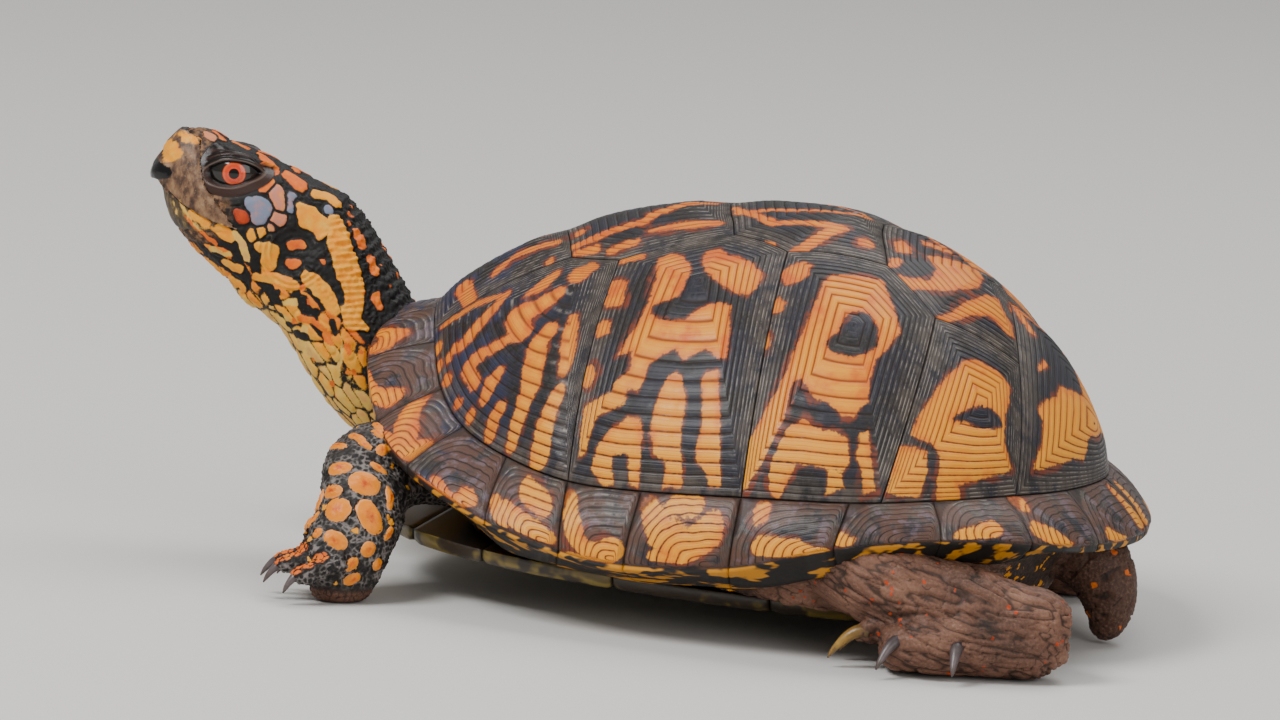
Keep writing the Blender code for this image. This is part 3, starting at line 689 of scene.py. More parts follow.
COSTAL_MARKS = {
    1: strokes(
        [(-13.0, 4.5, 0.3), (-15.5, 2.5, 0.9), (-18.5, 0.5, 1.1), (-22.0, -1.5, 0.8)],
        [(-13.5, 4.5, 0.2), (-20.0, 6.0, 0.4), (-25.5, 6.0, 0.4), (-28.5, 6.0, 0.2)],
        [(-28.5, 1.5, 0.9)],
        [(-27.5, -2.0, 0.8)],
        [(-25.0, -5.5, 0.9)],
        [(-25.0, -2.0, 0.6)],
        [(-23.5, -1.0, 0.6)],
        [(-2.5, -0.5, 1.0), (-5.5, -1.5, 1.4), (-10.0, -2.0, 2.0), (-9.0, -5.5, 1.6)],
        [(-11.5, -5.5, 0.6), (-14.5, -5.5, 0.7), (-18.0, -5.5, 0.9), (-20.0, -6.5, 1.1), (-18.5, -10.0, 0.9)],
        [(-13.5, -11.0, 0.8), (-15.0, -12.0, 1.2), (-16.5, -14.0, 0.9)],
        [(-13.5, -18.5, 1.1), (-15.0, -19.5, 1.3), (-16.0, -21.5, 1.1)],
        [(-20.0, -15.0, 0.9)],
        [(-22.5, -11.0, 0.7)],
        [
            (-4.0, -8.5, 1.6),
            (-6.0, -10.5, 1.7),
            (-6.5, -14.0, 2.0),
            (-7.0, -18.5, 1.8),
            (-8.5, -21.0, 1.4),
            (-9.5, -23.0, 1.2),
            (-11.5, -26.5, 1.0),
        ],
        [(0.5, -8.0, 0.6), (0.0, -11.5, 1.2), (0.0, -15.0, 1.1), (-0.5, -19.0, 0.7)],
        [(-1.5, -22.5, 0.9), (-3.0, -25.0, 1.2), (-4.0, -27.0, 1.6), (-5.5, -32.0, 1.9)],
        [(-3.5, 4.5, 0.7), (-5.5, 3.0, 1.0), (-8.5, 2.0, 0.4)],
        [(2.5, 3.5, 1.1), (1.0, 2.5, 1.8)],
    ),
    2: (
        patch(
            (-8.6, 9.1), (-6.7, 9.8), (-4.4, 8.1), (-2.7, 4.9), (-2.2, 2.4), (-2.6, -0.8), (-3.1, -3.1),
            (-5.9, -3.2), (-7.9, -3.6), (-7.8, -5.2), (-6.6, -6.7), (-3.5, -8.1), (-1.1, -8.7), (0.6, -7.5),
            (3.0, -6.5), (5.3, -6.5), (7.5, -7.2), (8.1, -10.5), (9.1, -14.9), (9.4, -18.1), (7.6, -18.1),
            (4.6, -15.8), (2.0, -16.7), (0.4, -17.2), (-1.8, -14.8), (-4.1, -15.2), (-6.6, -16.3),
            (-6.9, -18.4), (-8.1, -20.8), (-10.2, -19.2), (-10.6, -22.0), (-13.7, -22.0), (-16.4, -21.9),
            (-17.5, -24.5), (-18.4, -27.5), (-20.0, -27.4), (-19.8, -22.7), (-19.3, -18.3), (-16.5, -18.5),
            (-13.7, -18.8), (-12.9, -17.0), (-10.4, -15.7), (-10.2, -12.1), (-13.2, -12.0), (-11.9, -9.5),
            (-10.1, -6.5), (-8.8, -2.4), (-8.4, 3.0),
        ),
        patch(
            (-0.7, 5.6), (-0.4, 8.0), (1.9, 8.6), (3.6, 5.9), (6.3, 5.0), (9.2, 2.6), (11.6, 0.0),
            (11.5, -3.3), (10.1, -5.4), (7.1, -4.4), (3.0, -1.0), (0.4, 2.3),
        ),
        patch(
            (-3.3, -21.7), (-2.2, -19.7), (-0.8, -19.2), (0.9, -20.6), (2.4, -24.2), (2.7, -26.5),
            (2.4, -29.2), (4.4, -39.8), (-0.5, -39.1), (-0.4, -37.0), (0.1, -34.8), (-2.9, -33.0),
            (-4.4, -28.8), (-4.1, -25.7),
        ),
        patch(
            (4.9, -21.5), (5.7, -20.3), (8.4, -20.3), (11.7, -32.3), (13.7, -40.2), (10.9, -40.3),
            (9.7, -37.9), (7.1, -36.0), (6.5, -33.4), (6.9, -29.9), (6.2, -25.5),
        ),
        patch(
            (-12.4, -25.2), (-9.6, -24.8), (-6.9, -25.7), (-6.0, -29.0), (-6.0, -33.0), (-6.3, -37.7),
            (-8.5, -36.1), (-8.9, -31.8), (-10.0, -30.6), (-12.3, -30.2), (-12.5, -32.2), (-11.9, -35.6),
            (-14.5, -34.3), (-17.2, -30.7), (-16.2, -27.8), (-14.5, -26.1),
        ),
        patch(
            (-17.2, 7.3), (-15.0, 6.6), (-13.3, 5.0), (-13.5, 1.4), (-13.4, -1.1), (-16.4, -0.0),
            (-17.4, 1.7), (-16.8, 3.8),
        ),
        patch((-18.2, -3.0), (-17.1, -2.4), (-15.4, -3.8), (-15.3, -6.3), (-17.9, -5.8)),
        patch((-20.2, -11.3), (-18.5, -11.0), (-17.0, -13.5), (-18.5, -15.3), (-19.9, -14.7)),
        patch((-15.7, 13.3), (-12.5, 13.7), (-11.0, 12.2), (-11.1, 10.7), (-15.4, 11.2)),
    ),
    3: (
        patch(
            (-8.0, 7.0), (-7.3, 9.2), (-4.4, 10.5), (-0.9, 12.3), (1.6, 12.8), (4.3, 8.7), (8.0, 3.3),
            (7.3, -0.6), (6.1, -4.7), (6.2, -8.9), (7.6, -12.3), (5.8, -16.4), (4.0, -17.2), (1.3, -16.0),
            (-2.3, -16.0), (-5.7, -13.6), (-7.6, -14.4), (-7.3, -17.5), (-7.0, -20.6), (-8.3, -25.8),
            (-10.5, -31.1), (-11.7, -34.0), (-15.2, -31.7), (-14.1, -27.4), (-12.0, -21.4), (-9.9, -16.3),
            (-9.1, -11.1), (-8.4, -4.6), (-8.1, 3.0),
        ),
        patch(
            (-1.6, 1.8), (-0.1, 3.3), (1.7, 3.7), (4.1, 1.7), (5.2, -2.2), (4.0, -4.6), (1.2, -6.4),
            (-2.0, -6.9), (-3.5, -5.6), (-3.4, -4.0), (-2.2, -2.5), (-2.0, -0.1), cut=True,
        ),
        patch(
            (-5.9, -22.5), (-3.1, -19.8), (-0.5, -20.9), (4.4, -20.0), (6.6, -20.3), (8.6, -24.3),
            (7.8, -26.1), (4.5, -26.6), (-1.8, -27.6), (-7.4, -28.4), (-6.5, -25.5),
        ),
        patch(
            (-7.4, -28.4), (-1.8, -27.6), (-2.0, -29.7), (-1.9, -28.0), (-3.8, -34.1), (-6.6, -33.2),
            (-7.1, -30.4),
        ),
        patch((4.7, -26.7), (7.8, -26.1), (9.3, -28.2), (5.9, -30.9), (5.5, -28.8)),
        patch(
            (8.2, -18.5), (9.6, -17.4), (12.1, -21.1), (15.5, -25.9), (13.2, -27.7), (11.2, -24.3),
            (9.3, -22.3),
        ),
        patch(
            (-16.6, 7.9), (-15.3, 10.2), (-13.0, 11.6), (-11.4, 10.8), (-11.3, 7.9), (-12.4, 5.9),
            (-14.8, 5.0),
        ),
        patch((-16.0, -1.4), (-16.2, 1.1), (-15.3, 2.1), (-13.5, 0.7), (-13.7, -1.0), (-15.4, -1.7)),
        patch((-16.0, -9.6), (-16.1, -6.7), (-15.5, -5.2), (-14.1, -6.8), (-14.2, -9.0), (-15.2, -9.7)),
    ),
    4: (
        patch(
            (-6.5, 6.0), (-4.2, 8.4), (-0.1, 10.6), (3.4, 10.5), (4.6, 7.7), (5.0, 3.7), (7.6, -1.5),
            (9.6, -2.5), (12.0, -3.6), (10.2, -7.5), (5.8, -13.3), (3.0, -16.6), (4.8, -17.3), (6.8, -22.6),
            (4.0, -28.1), (-0.1, -20.8), (-3.2, -14.9), (-5.9, -13.9), (-8.5, -14.7), (-10.1, -14.6),
            (-10.3, -11.3), (-9.5, -4.7), (-8.3, 0.8),
        ),
        patch(
            (-4.3, -7.1), (-2.7, -3.8), (-0.5, -0.4), (2.1, 1.5), (4.4, 1.8), (5.6, 0.7), (3.9, -2.0),
            (0.7, -4.9), (-1.9, -5.5), (-3.7, -7.3), cut=True,
        ),
        patch(
            (-11.4, -17.7), (-9.1, -16.5), (-5.8, -15.8), (-3.9, -19.2), (-3.1, -23.4), (-5.8, -25.2),
            (-9.9, -26.2), (-10.5, -22.3), (-11.2, -20.0),
        ),
    ),
}
VERTEBRAL_MARKS = {
    1: strokes(
        [(5.0, -7.0, 0.6), (1.0, -7.0, 0.7), (-3.0, -7.0, 0.4)],
        [(-4.0, -7.5, 0.4), (-7.0, -9.5, 0.5)],
        [(4.5, -12.5, 0.5)],
        [(-14.0, -8.0, 1.6), (-12.0, -13.0, 1.2)],
        [(2.0, 0.0, 0.5), (-6.0, 0.0, 0.3)],
    ),
    2: strokes(
        [(3.5, -1.0, 0.5), (-1.5, -2.0, 0.8), (-6.0, -6.0, 1.0), (-7.5, -8.5, 0.5)],
        [(4.5, -11.0, 1.0), (0.5, -11.0, 1.0), (-3.0, -11.0, 0.6), (-5.5, -11.5, 0.2)],
        [(-7.0, -7.5, 0.4), (-11.0, -9.0, 0.6), (-15.5, -10.0, 0.6), (-20.5, -10.5, 0.4)],
        [(-19.0, -6.0, 0.8)],
        [(-18.5, -12.5, 0.5), (-15.0, -13.0, 0.8)],
        [(-12.0, -14.5, 0.6), (-8.0, -13.5, 0.6)],
    ),
    3: strokes(
        [(-20.0, -6.5, 0.5), (-11.0, -6.0, 0.5), (-2.5, -3.5, 0.4), (2.0, 0.5, 0.4)],
        [
            (-21.0, -4.0, 0.4),
            (-13.5, -13.5, 0.6),
            (-7.5, -12.5, 0.8),
            (-1.0, -12.0, 1.1),
            (-4.0, -17.5, 0.9),
            (-6.0, -21.5, 0.9),
            (-8.5, -24.0, 0.6),
        ],
        [(-17.0, -20.0, 0.9), (-12.5, -21.0, 0.9)],
        [(4.5, -14.5, 1.5)],
    ),
    4: (
        patch((5.8, 1.1), (10.0, 1.1), (12.7, -2.5), (12.7, -6.8), (9.8, -5.0), (7.1, -3.2)),
        patch(
            (-4.4, -27.0), (-2.7, -25.3), (-0.3, -20.8), (1.2, -15.0), (2.8, -7.3), (4.6, -4.6), (7.6, -7.2),
            (9.7, -8.6), (11.3, -11.3), (9.9, -13.2), (6.0, -13.6), (3.3, -17.2), (1.0, -22.2), (-0.7, -25.7),
            (-1.4, -29.4), (-3.0, -28.5),
        ),
        patch(
            (-14.1, -21.7), (-11.7, -19.3), (-8.9, -18.8), (-6.3, -16.7), (-6.3, -11.7), (-8.9, -8.7),
            (-7.1, -5.3), (-4.1, -1.6), (-1.6, 0.6), (0.2, -1.8), (1.1, -7.6), (-0.3, -11.5), (-3.1, -17.3),
            (-6.0, -19.8), (-9.9, -23.1), (-12.5, -22.9),
        ),
        patch((-15.3, -8.9), (-14.1, -6.3), (-11.6, -8.5), (-11.2, -10.8), (-13.7, -12.6)),
        patch((-14.4, -16.0), (-12.9, -14.1), (-12.0, -15.0), (-12.5, -17.7), (-14.0, -18.8)),
        patch((-12.2, -2.5), (-8.9, 0.3), (-4.6, 2.8), (-7.8, -2.0), (-11.1, -4.4)),
    ),
    5: (
        *strokes([(-25.5, 1.5, 0.5), (-23.0, -1.5, 0.8), (-19.5, -4.0, 0.5)]),
        patch(
            (-9.5, -19.8), (-8.5, -12.5), (-9.4, -9.4), (-7.7, -5.6), (-4.9, 0.5), (-2.3, 8.9), (0.9, 8.2),
            (2.4, 1.3), (1.3, -7.3), (3.0, -10.7), (4.2, -13.3), (1.9, -18.5), (1.1, -23.0), (-2.4, -32.1),
            (-3.8, -33.9), (-4.8, -30.1), (-5.3, -27.0), (-7.6, -23.1), (-9.8, -21.9),
        ),
        patch((-14.5, -11.2), (-14.5, -8.6), (-13.2, -8.6), (-13.2, -11.2), (-13.8, -13.2)),
    ),
}
AREOLAE = {
    "costal": ((-40.0, -21.0), (-17.0, -30.0), (14.5, -37.0), (42.0, -36.0)),
    "vertebral": ((-50.0, 0.0), (-22.0, 0.0), (6.0, 0.0), (30.0, 0.0), (62.0, 0.0)),
}


# ----------------------------------------------------------------------------------------------------------
# Shell plates


@dataclass(frozen=True)
class Rings:
    """Growth rings round an areola: how many, how they tighten and how deep they are cut."""

    count: int = 12
    areola: float = 0.13
    tightening: float = 0.72
    groove: float = 0.17
    groove_width: float = 0.15
    bulge: float = 0.08

    def edges(self) -> Array:
        """Shares of the way from the areola's centre to the plate's edge where the grooves lie."""
        widths = 1.0 - self.tightening * np.arange(self.count) / self.count
        steps = np.concatenate([[0.0], np.cumsum(widths)]) / widths.sum()
        return self.areola + (1.0 - self.areola) * steps

    def samples(self) -> Array:
        """Shares to place the mesh's rows at, closer together beside the grooves.

        Returns:
            Shares from the areola's middle to the plate's edge.
        """
        edges = self.edges()
        inner = np.linspace(0.02, edges[0], 6)[:-1]
        parts = np.array([0.0, 0.06, 0.14, 0.3, 0.6, 0.86])
        between = [low + (high - low) * parts for low, high in zip(edges[:-1], edges[1:])]
        return np.concatenate([inner, *between, [1.0]])

    def number(self, share: Array) -> Array:
        """Ring number at a share; whole numbers fall on the grooves."""
        edges = self.edges()
        return np.interp(share, np.concatenate([[0.0], edges]), np.arange(-1, len(edges)))

    def width(self, share: Array) -> Array:
        """Width of the ring at a share, as a share of the whole reach."""
        edges = self.edges()
        middles = (edges[:-1] + edges[1:]) / 2
        return np.interp(share, middles, np.diff(edges))

    def relief(self, number: Array, width: Array) -> Array:
        """Height of the rings.

        Args:
            number: Ring numbers.
            width: Ring widths there, in millimetres.

        Returns:
            Heights in millimetres, negative in the grooves.
        """
        part = number - np.floor(number)
        away = np.minimum(part, 1.0 - part) * width
        scale = np.clip(width / 1.5, 0.25, 1.0)
        cut = self.groove * np.exp(-((away / (self.groove_width * (0.6 + 0.4 * scale))) ** 2))
        swell = self.bulge * np.sin(np.pi * np.clip(part, 0, 1) ** 0.8)
        return scale * (swell - cut)


def resampled(outline: Array, longest: float) -> Array:
    """The closed outline with extra points, so that no side is too long.

    Args:
        outline: Its corners.
        longest: The longest side allowed.

    Returns:
        The corners with the points between them.
    """
    points = []
    for a, b in zip(outline, np.roll(outline, -1, axis=0)):
        steps = max(1, math.ceil(float(np.linalg.norm(b - a)) / longest))
        points.extend(a + (b - a) * i / steps for i in range(steps))
    return np.array(points)


def shrunk(outline: Array, by: float) -> Array:
    """The closed outline moved inwards, corner by corner.

    Args:
        outline: Its corners.
        by: How far each side moves.

    Returns:
        The moved corners.
    """
    after = unit(np.roll(outline, -1, axis=0) - outline)
    before = unit(outline - np.roll(outline, 1, axis=0))
    following = np.roll(outline, -1, axis=0)
    area = float(np.sum(outline[:, 0] * following[:, 1] - following[:, 0] * outline[:, 1]))
    inward = math.copysign(1.0, area)
    normal_after = np.stack([-after[:, 1], after[:, 0]], axis=1) * inward
    normal_before = np.stack([-before[:, 1], before[:, 0]], axis=1) * inward
    bisector = unit(normal_after + normal_before)
    reach = by / np.clip(np.sum(bisector * normal_after, axis=1), 0.35, 1)
    return outline + bisector * reach[:, None]


@dataclass
class Scute:
    """One horny plate of the dome, grown in rings round its areola."""

    name: str
    outline: Array
    areola: Array
    marks: tuple[Stroke | Patch, ...]
    mirror: float
    seed: int
    both_halves: bool = False
    rings: Rings = Rings()
    spacing: float = 0.55
    seam_half: float = 0.05
    seam_drop: float = 0.2
    seam_reach: float = 0.42
    skirt: float = 1.7
    swell: float = 0.55
    swell_reach: float = 7.0
    sunk: float = 0.15
    wear: float = 0.05
    ring_warp: float = 0.12
    drift: float = 1.6
    ragged: float = 0.3

    def blotch(self, flat: Array) -> Array:
        """The plate's markings, roughened along their edges and moved a little on the right half.

        Args:
            flat: Places in the flat layout.

        Returns:
            Signed distances in millimetres, negative inside a blotch.
        """
        local = flat - self.areola
        local = np.column_stack([local[:, 0], local[:, 1] * self.mirror])
        if self.both_halves:
            local[:, 1] = -np.abs(local[:, 1])
        seed = self.seed + (0 if self.mirror > 0 else 7)
        stacked = np.column_stack([local, np.full(len(local), self.mirror * 3.0)])
        if self.mirror < 0 or self.both_halves:
            side = np.where(flat[:, 1] > 0, 1.0, 0.0)[:, None]
            drift = np.column_stack([noise(stacked, 9.0, seed + 20, 1), noise(stacked, 9.0, seed + 21, 1)])
            local = local + self.drift * drift * side
        best = np.full(len(flat), FAR)
        gap = np.full(len(flat), -FAR)
        for mark in self.marks:
            if isinstance(mark, Patch) and mark.cut:
                gap = np.maximum(gap, mark.distance(local))
            else:
                best = np.minimum(best, mark.distance(local))
        return np.maximum(best, gap) + self.ragged * noise(stacked, 1.6, seed + 22, 2)

    def build(self, shell: Carapace) -> Mesh:
        """Makes the plate.

        Args:
            shell: The dome it lies on.

        Returns:
            A closed mesh with its ring and marking attributes.
        """
        edge = resampled(shrunk(self.outline, self.seam_half), self.spacing * (1.0))
        around = len(edge)
        shares = self.rings.samples()
        reach = edge - self.areola
        flat = (self.areola + shares[:, None, None] * reach[None]).reshape(-1, 2)
        share = np.repeat(shares, around)
        length = np.tile(np.linalg.norm(reach, axis=1), len(shares))
        to_edge = polygon_distance(self.outline, flat)
        number, width, height = self.growth(flat, share, length, to_edge)
        top = shell.raised(flat) + shell.normals(flat) * height[:, None]

        def sheet(places: Array, rise: float) -> Array:
            """Points a little above or below the dome."""
            return shell.raised(places) + shell.normals(places) * rise

        half = self.areola + 0.5 * reach
        middle = self.areola[None]
        crown = self.swell * smoothstep(0.0, self.swell_reach, to_edge).max() - self.sunk + 0.08
        under = [sheet(edge, -self.skirt), sheet(half, -self.skirt), sheet(middle, -self.skirt)]
        points = np.vstack([top, *under, sheet(middle, crown)])
        bottom = len(top) + 2 * around
        faces = [
            ring_grid(len(shares) + 2, around),
            fan(bottom, len(top) + around, around),
            fan(bottom + 1, 0, around, inwards=True),
        ]
        hidden = 2 * around + 1
        marks = {
            "blotch": np.concatenate([self.blotch(flat), np.full(hidden, FAR), [FAR]]),
            "ring": np.concatenate([number, np.full(hidden, float(self.rings.count)), [-1.0]]),
            "ring_width": np.concatenate([width, np.full(hidden, 1.0), [1.0]]),
            "edge": np.concatenate([to_edge, np.zeros(hidden), [FAR]]),
        }
        return Mesh(shell.place(points), faces, marks, self.bake_patch(flat, edge, half)).outward()

    def growth(self, flat: Array, share: Array, length: Array, to_edge: Array) -> tuple[Array, Array, Array]:
        """The rings and the height of the plate's surface.

        Args:
            flat: Places in the flat layout.
            share: How far each lies from the areola to the plate's edge.
            length: The whole way there in that direction.
            to_edge: Distance to the plate's outline.

        Returns:
            Ring numbers, ring widths and heights above the dome, in millimetres.
        """
        spread = np.column_stack([flat, np.full(len(flat), float(self.seed))])
        warp = self.ring_warp * noise(spread, 7.0, self.seed, 2)
        number = self.rings.number(share) + warp * smoothstep(0.08, 0.2, share) * smoothstep(1.0, 0.93, share)
        squash = np.clip(to_edge / np.maximum((1.0 - share) * length, 1e-3), 0.25, 1.0)
        width = self.rings.width(share) * length * np.where(share > 0.999, 1.0, squash)
        relief = self.rings.relief(number, width) * (0.3 + 0.7 * smoothstep(0.5, 1.8, width))
        areola = smoothstep(1.15, 0.7, share / self.rings.areola)
        relief = relief * (1.0 - areola) + areola * (0.1 + 0.07 * noise(spread, 0.9, self.seed + 3, 2))
        swell = self.swell * smoothstep(0.0, self.swell_reach, to_edge) - self.sunk
        fall = self.seam_drop * (1.0 - smoothstep(0.0, self.seam_reach, to_edge)) ** 1.5
        return number, width, relief + swell - fall + self.wear * noise(spread, 2.2, self.seed + 5, 3)

    def bake_patch(self, flat: Array, edge: Array, half: Array) -> Array:
        """The plate laid out flat for baking, its hidden underside in a strip above.

        Args:
            flat: The upper side's places.
            edge: The outline's places.
            half: The underside's inner ring.

        Returns:
            A place from 0 to 1 both ways for each point of the mesh.
        """
        low, high = self.outline.min(axis=0), self.outline.max(axis=0)
        span = float((high - low).max())
        upper = 0.02 + 0.9 * (flat - low) / span
        strips = [
            np.column_stack([0.02 + 0.9 * (ring[:, 0] - low[0]) / span, np.full(len(ring), level)])
            for ring, level in ((edge, 0.97), (half, 0.99))
        ]
        return np.vstack([upper, *strips, [0.5, 0.995], 0.02 + 0.9 * (self.areola - low) / span])


@dataclass
class Marginals:
    """The plates round the rim, with their undersides."""

    shell: Carapace
    gap: float = 0.12
    thickness: float = 1.4
    undercut: float = 1.0
    bulge: float = 0.9
    depth: float = 6.5
    bridge_extra: float = 5.5
    heel_drop: float = 6.0
    wall: float = 2.4
    areola: tuple[float, float] = (0.86, 0.88)
    middle: float = 0.5
    rows: tuple[int, int] = (30, 12)

    def share(
        self, station: Array, rise_from: float, rise_by: float, fall_to: float, fall_by: float
    ) -> Array:
        """A smooth share along the rim: 0, then 1 between two seam numbers, then 0 again.

        Args:
            station: Seam numbers.
            rise_from: Where the rise starts.
            rise_by: How long it takes.
            fall_to: Where the fall ends.
            fall_by: How long that takes.

        Returns:
            The shares, in a column.
        """
        row = np.abs(np.asarray(station, float))
        row = np.where(row > self.shell.last, 2 * self.shell.last - row, row)
        rise = smoothstep(rise_from, rise_from + rise_by, row)
        return np.minimum(rise, smoothstep(fall_to, fall_to - fall_by, row))[:, None]

    def bridge(self, station: Array) -> Array:
        """1 where the marginals join the plastron."""
        return self.share(station, 4.0, 1.4, 8.8, 1.8)

    def hip(self, station: Array) -> Array:
        """1 where the underside hangs low over the hind legs."""
        return self.share(station, 7.4, 1.4, 12.2, 1.6)

    def knots(self, stations: Array) -> tuple[Array, Array]:
        """The cross-sections of the rim.

        Args:
            stations: Seam numbers.

        Returns:
            Seven knots for each, in the shell's frame, and the directions they bulge in.
        """
        rim, seam = self.shell.rim_line(stations)
        normal = self.shell.normals(self.shell.seam_foot(stations))
        out = unit((rim - seam) * FLAT_WAYS)
        up = UPWARDS
        bridge, rear = self.bridge(stations), self.hip(stations)
        fall = rim - seam
        across = unit(normal + 0.6 * out)
        top = seam + unit(fall) * self.gap / 2
        middle = seam + fall * 0.5 + across * self.bulge
        lower = seam + fall * 0.85 + across * self.bulge * 0.7
        under = rim - out * self.undercut - up * self.thickness
        heel = rim - out * (self.depth + self.bridge_extra * bridge - 1.5 * rear)
        heel = heel + up * (1.6 - 1.0 * bridge - self.heel_drop * rear)
        heel = heel - up * bridge * (rim[:, 2:] - self.shell.plastron_top)
        heel[:, 2] = np.maximum(heel[:, 2], self.shell.plastron_top + 0.32)
        inner = top - normal * self.wall
        return np.stack([top, middle, lower, rim, under, heel, inner], axis=1), across

    def plate(self, start: float, end: float, seed: int, rings: Rings, marks: tuple[Stroke, ...]) -> Mesh:
        """One plate between two seam numbers.

        Args:
            start: Seam number it starts at.
            end: Seam number it ends at; below start on the right side.
            seed: Picks its wear.
            rings: Its growth rings.
            marks: Its blotches, in millimetres from its front upper corner.

        Returns:
            A closed mesh.
        """
        shell = self.shell
        pace = np.linalg.norm(shell.rim_line([start])[0] - shell.rim_line([end])[0]) / abs(end - start)
        inset = 0.5 * self.gap / max(float(pace), 1.0) * math.copysign(1.0, end - start)
        count = max(8, int(pace * abs(end - start) / (0.45)))
        along = np.linspace(start + inset, end - inset, count)
        knots, across = self.knots(along)
        outer_count, under_count = self.rows
        outer = np.linspace(0.0, 3.0, outer_count)
        beneath = np.linspace(3.0, 5.0, under_count)[1:]
        places = np.concatenate([outer, beneath, [6.0]])
        section = np.stack([catmull(row, places) for row in knots])
        height = np.linalg.norm(knots[:, 3] - knots[:, 0], axis=1)
        share = np.concatenate([outer / 3.0, np.ones(len(beneath) + 1)])
        run = np.concatenate([[0.0], np.cumsum(np.linalg.norm(np.diff(knots[:, 3], axis=0), axis=1))])
        length = max(float(run[-1]), 1.0)
        down = share[None, :] * height[:, None]
        forth = np.repeat(run[:, None], len(places), axis=1)
        centre = length * (self.middle if rings.count < 6 else self.areola[0])
        reach = np.where(forth < centre, centre, length - centre)
        part_along = np.abs(forth - centre) / np.maximum(reach, 0.3)
        low = self.areola[1] * height[:, None]
        part_down = np.abs(low - down) / np.where(down < low, self.areola[1], 1.0 - self.areola[1])
        part_down = part_down / np.maximum(height[:, None], 0.3)
        rho = (part_along**5 + part_down**5) ** 0.2
        spread = np.stack([forth, down, np.full_like(forth, float(seed))], axis=-1).reshape(-1, 3)
        shaped = rho.ravel() + 0.03 * noise(spread, 3.0, seed, 2)
        number = rings.number(np.clip(shaped, 0, 1))
        width = rings.width(np.clip(shaped, 0, 1)) * np.maximum(length, height.mean()) * 0.8
        relief = rings.relief(number, width)
        to_edge = np.minimum(np.minimum(forth, length - forth), down).ravel()
        seen = np.concatenate([np.ones(outer_count), np.linspace(1, 0, len(beneath)) ** 2, [0.0]])
        seen = np.tile(seen, count)
        fall = 0.28 * (1.0 - smoothstep(0.0, 0.6, to_edge)) ** 1.5
        wear = 0.06 * noise(spread, 2.4, seed + 4, 3)
        lift = (relief * seen + wear * seen - fall * np.clip(seen + 0.4, 0, 1))[:, None]
        points = section.reshape(-1, 3) + np.repeat(across, len(places), axis=0) * lift
        mesh = ring_stack(shell.place(points.reshape(count, len(places), 3)))
        local = np.column_stack([forth.ravel(), down.ravel()])
        blotch = np.min([np.full(len(local), FAR), *(mark.distance(local) for mark in marks)], axis=0)
        blotch = blotch - 0.5 + 0.34 * noise(spread, 1.6, seed + 9, 2)
        underside = (np.tile(np.arange(len(places)), count) >= outer_count).astype(float)
        ends = [0.0, 0.0]
        mesh.marks = {
            "blotch": np.concatenate([blotch, [FAR, FAR]]),
            "ring": np.concatenate([number, ends]),
            "ring_width": np.concatenate([width, [1.0, 1.0]]),
            "edge": np.concatenate([to_edge, ends]),
            "underside": np.concatenate([underside, [1.0, 1.0]]),
        }
        v = np.tile(np.linspace(0.02, 0.95, len(places)), count)
        u = 0.02 + 0.9 * forth.ravel() / length
        mesh.flat = np.vstack([np.column_stack([u, v]), [[0.97, 0.98], [0.99, 0.98]]])
        return mesh


# Blotches of the marginals: station share along the plate, share from seam to rim, half width in mm.
MARGINAL_MARKS = (
    (((0.83, 0.81, 0.6), (0.80, 0.54, 1.2), (0.63, 0.40, 1.1), (0.36, 0.68, 0.6)),),
    (((0.30, 0.90, 1.0), (0.61, 0.80, 1.5), (0.80, 0.50, 1.6)),),
    (
        ((0.05, 0.19, 0.2), (0.23, 0.36, 0.8), (0.56, 0.53, 1.8)),
        ((0.42, 0.82, 0.9), (0.79, 0.67, 2.0), (0.95, 0.47, 1.4)),
    ),
    (
        ((0.39, 0.71, 1.0), (0.51, 0.83, 1.0), (0.66, 0.93, 1.1), (0.76, 0.65, 1.5)),
        ((0.21, 0.95, 0.2), (0.66, 0.99, 0.5)),
    ),
    (
        ((0.26, 0.54, 1.0), (0.53, 0.64, 1.9), (0.83, 0.70, 1.3)), ((0.11, 0.49, 0.5), (0.25, 0.80, 0.6)),
        ((0.51, 0.22, 0.9), (0.74, 0.30, 1.0)),
    ),
    (
        ((0.10, 0.19, 0.5), (0.25, 0.53, 0.8), (0.42, 0.74, 1.0), (0.79, 0.66, 1.5), (0.73, 0.91, 1.0)),
        ((0.24, 0.99, 0.5), (0.63, 0.99, 0.5)),
    ),
    (
        ((0.11, 0.14, 0.5), (0.31, 0.38, 1.4), (0.58, 0.56, 2.0), (0.77, 0.35, 1.9)),
        ((0.29, 0.69, 0.5), (0.54, 0.73, 0.6)),
        ((0.36, 0.12, 0.5), (0.60, 0.10, 0.4)),
    ),
    (((0.29, 0.57, 1.0), (0.59, 0.69, 1.7), (0.85, 0.87, 1.2)), ((0.22, 0.16, 0.6),)),
    (((0.02, 0.59, 0.6), (0.11, 0.69, 0.7)),),
    (((0.20, 0.65, 0.8), (0.57, 0.51, 0.9)),),
    (((0.13, 0.49, 1.0), (0.27, 0.69, 1.9), (0.43, 0.91, 1.3)), ((0.04, 0.05, 0.5), (0.12, 0.1, 0.5))),
    (((0.22, 0.70, 1.1), (0.40, 0.91, 1.1)), ((0.85, 0.2, 0.7), (0.9, 0.6, 1.1))),
)


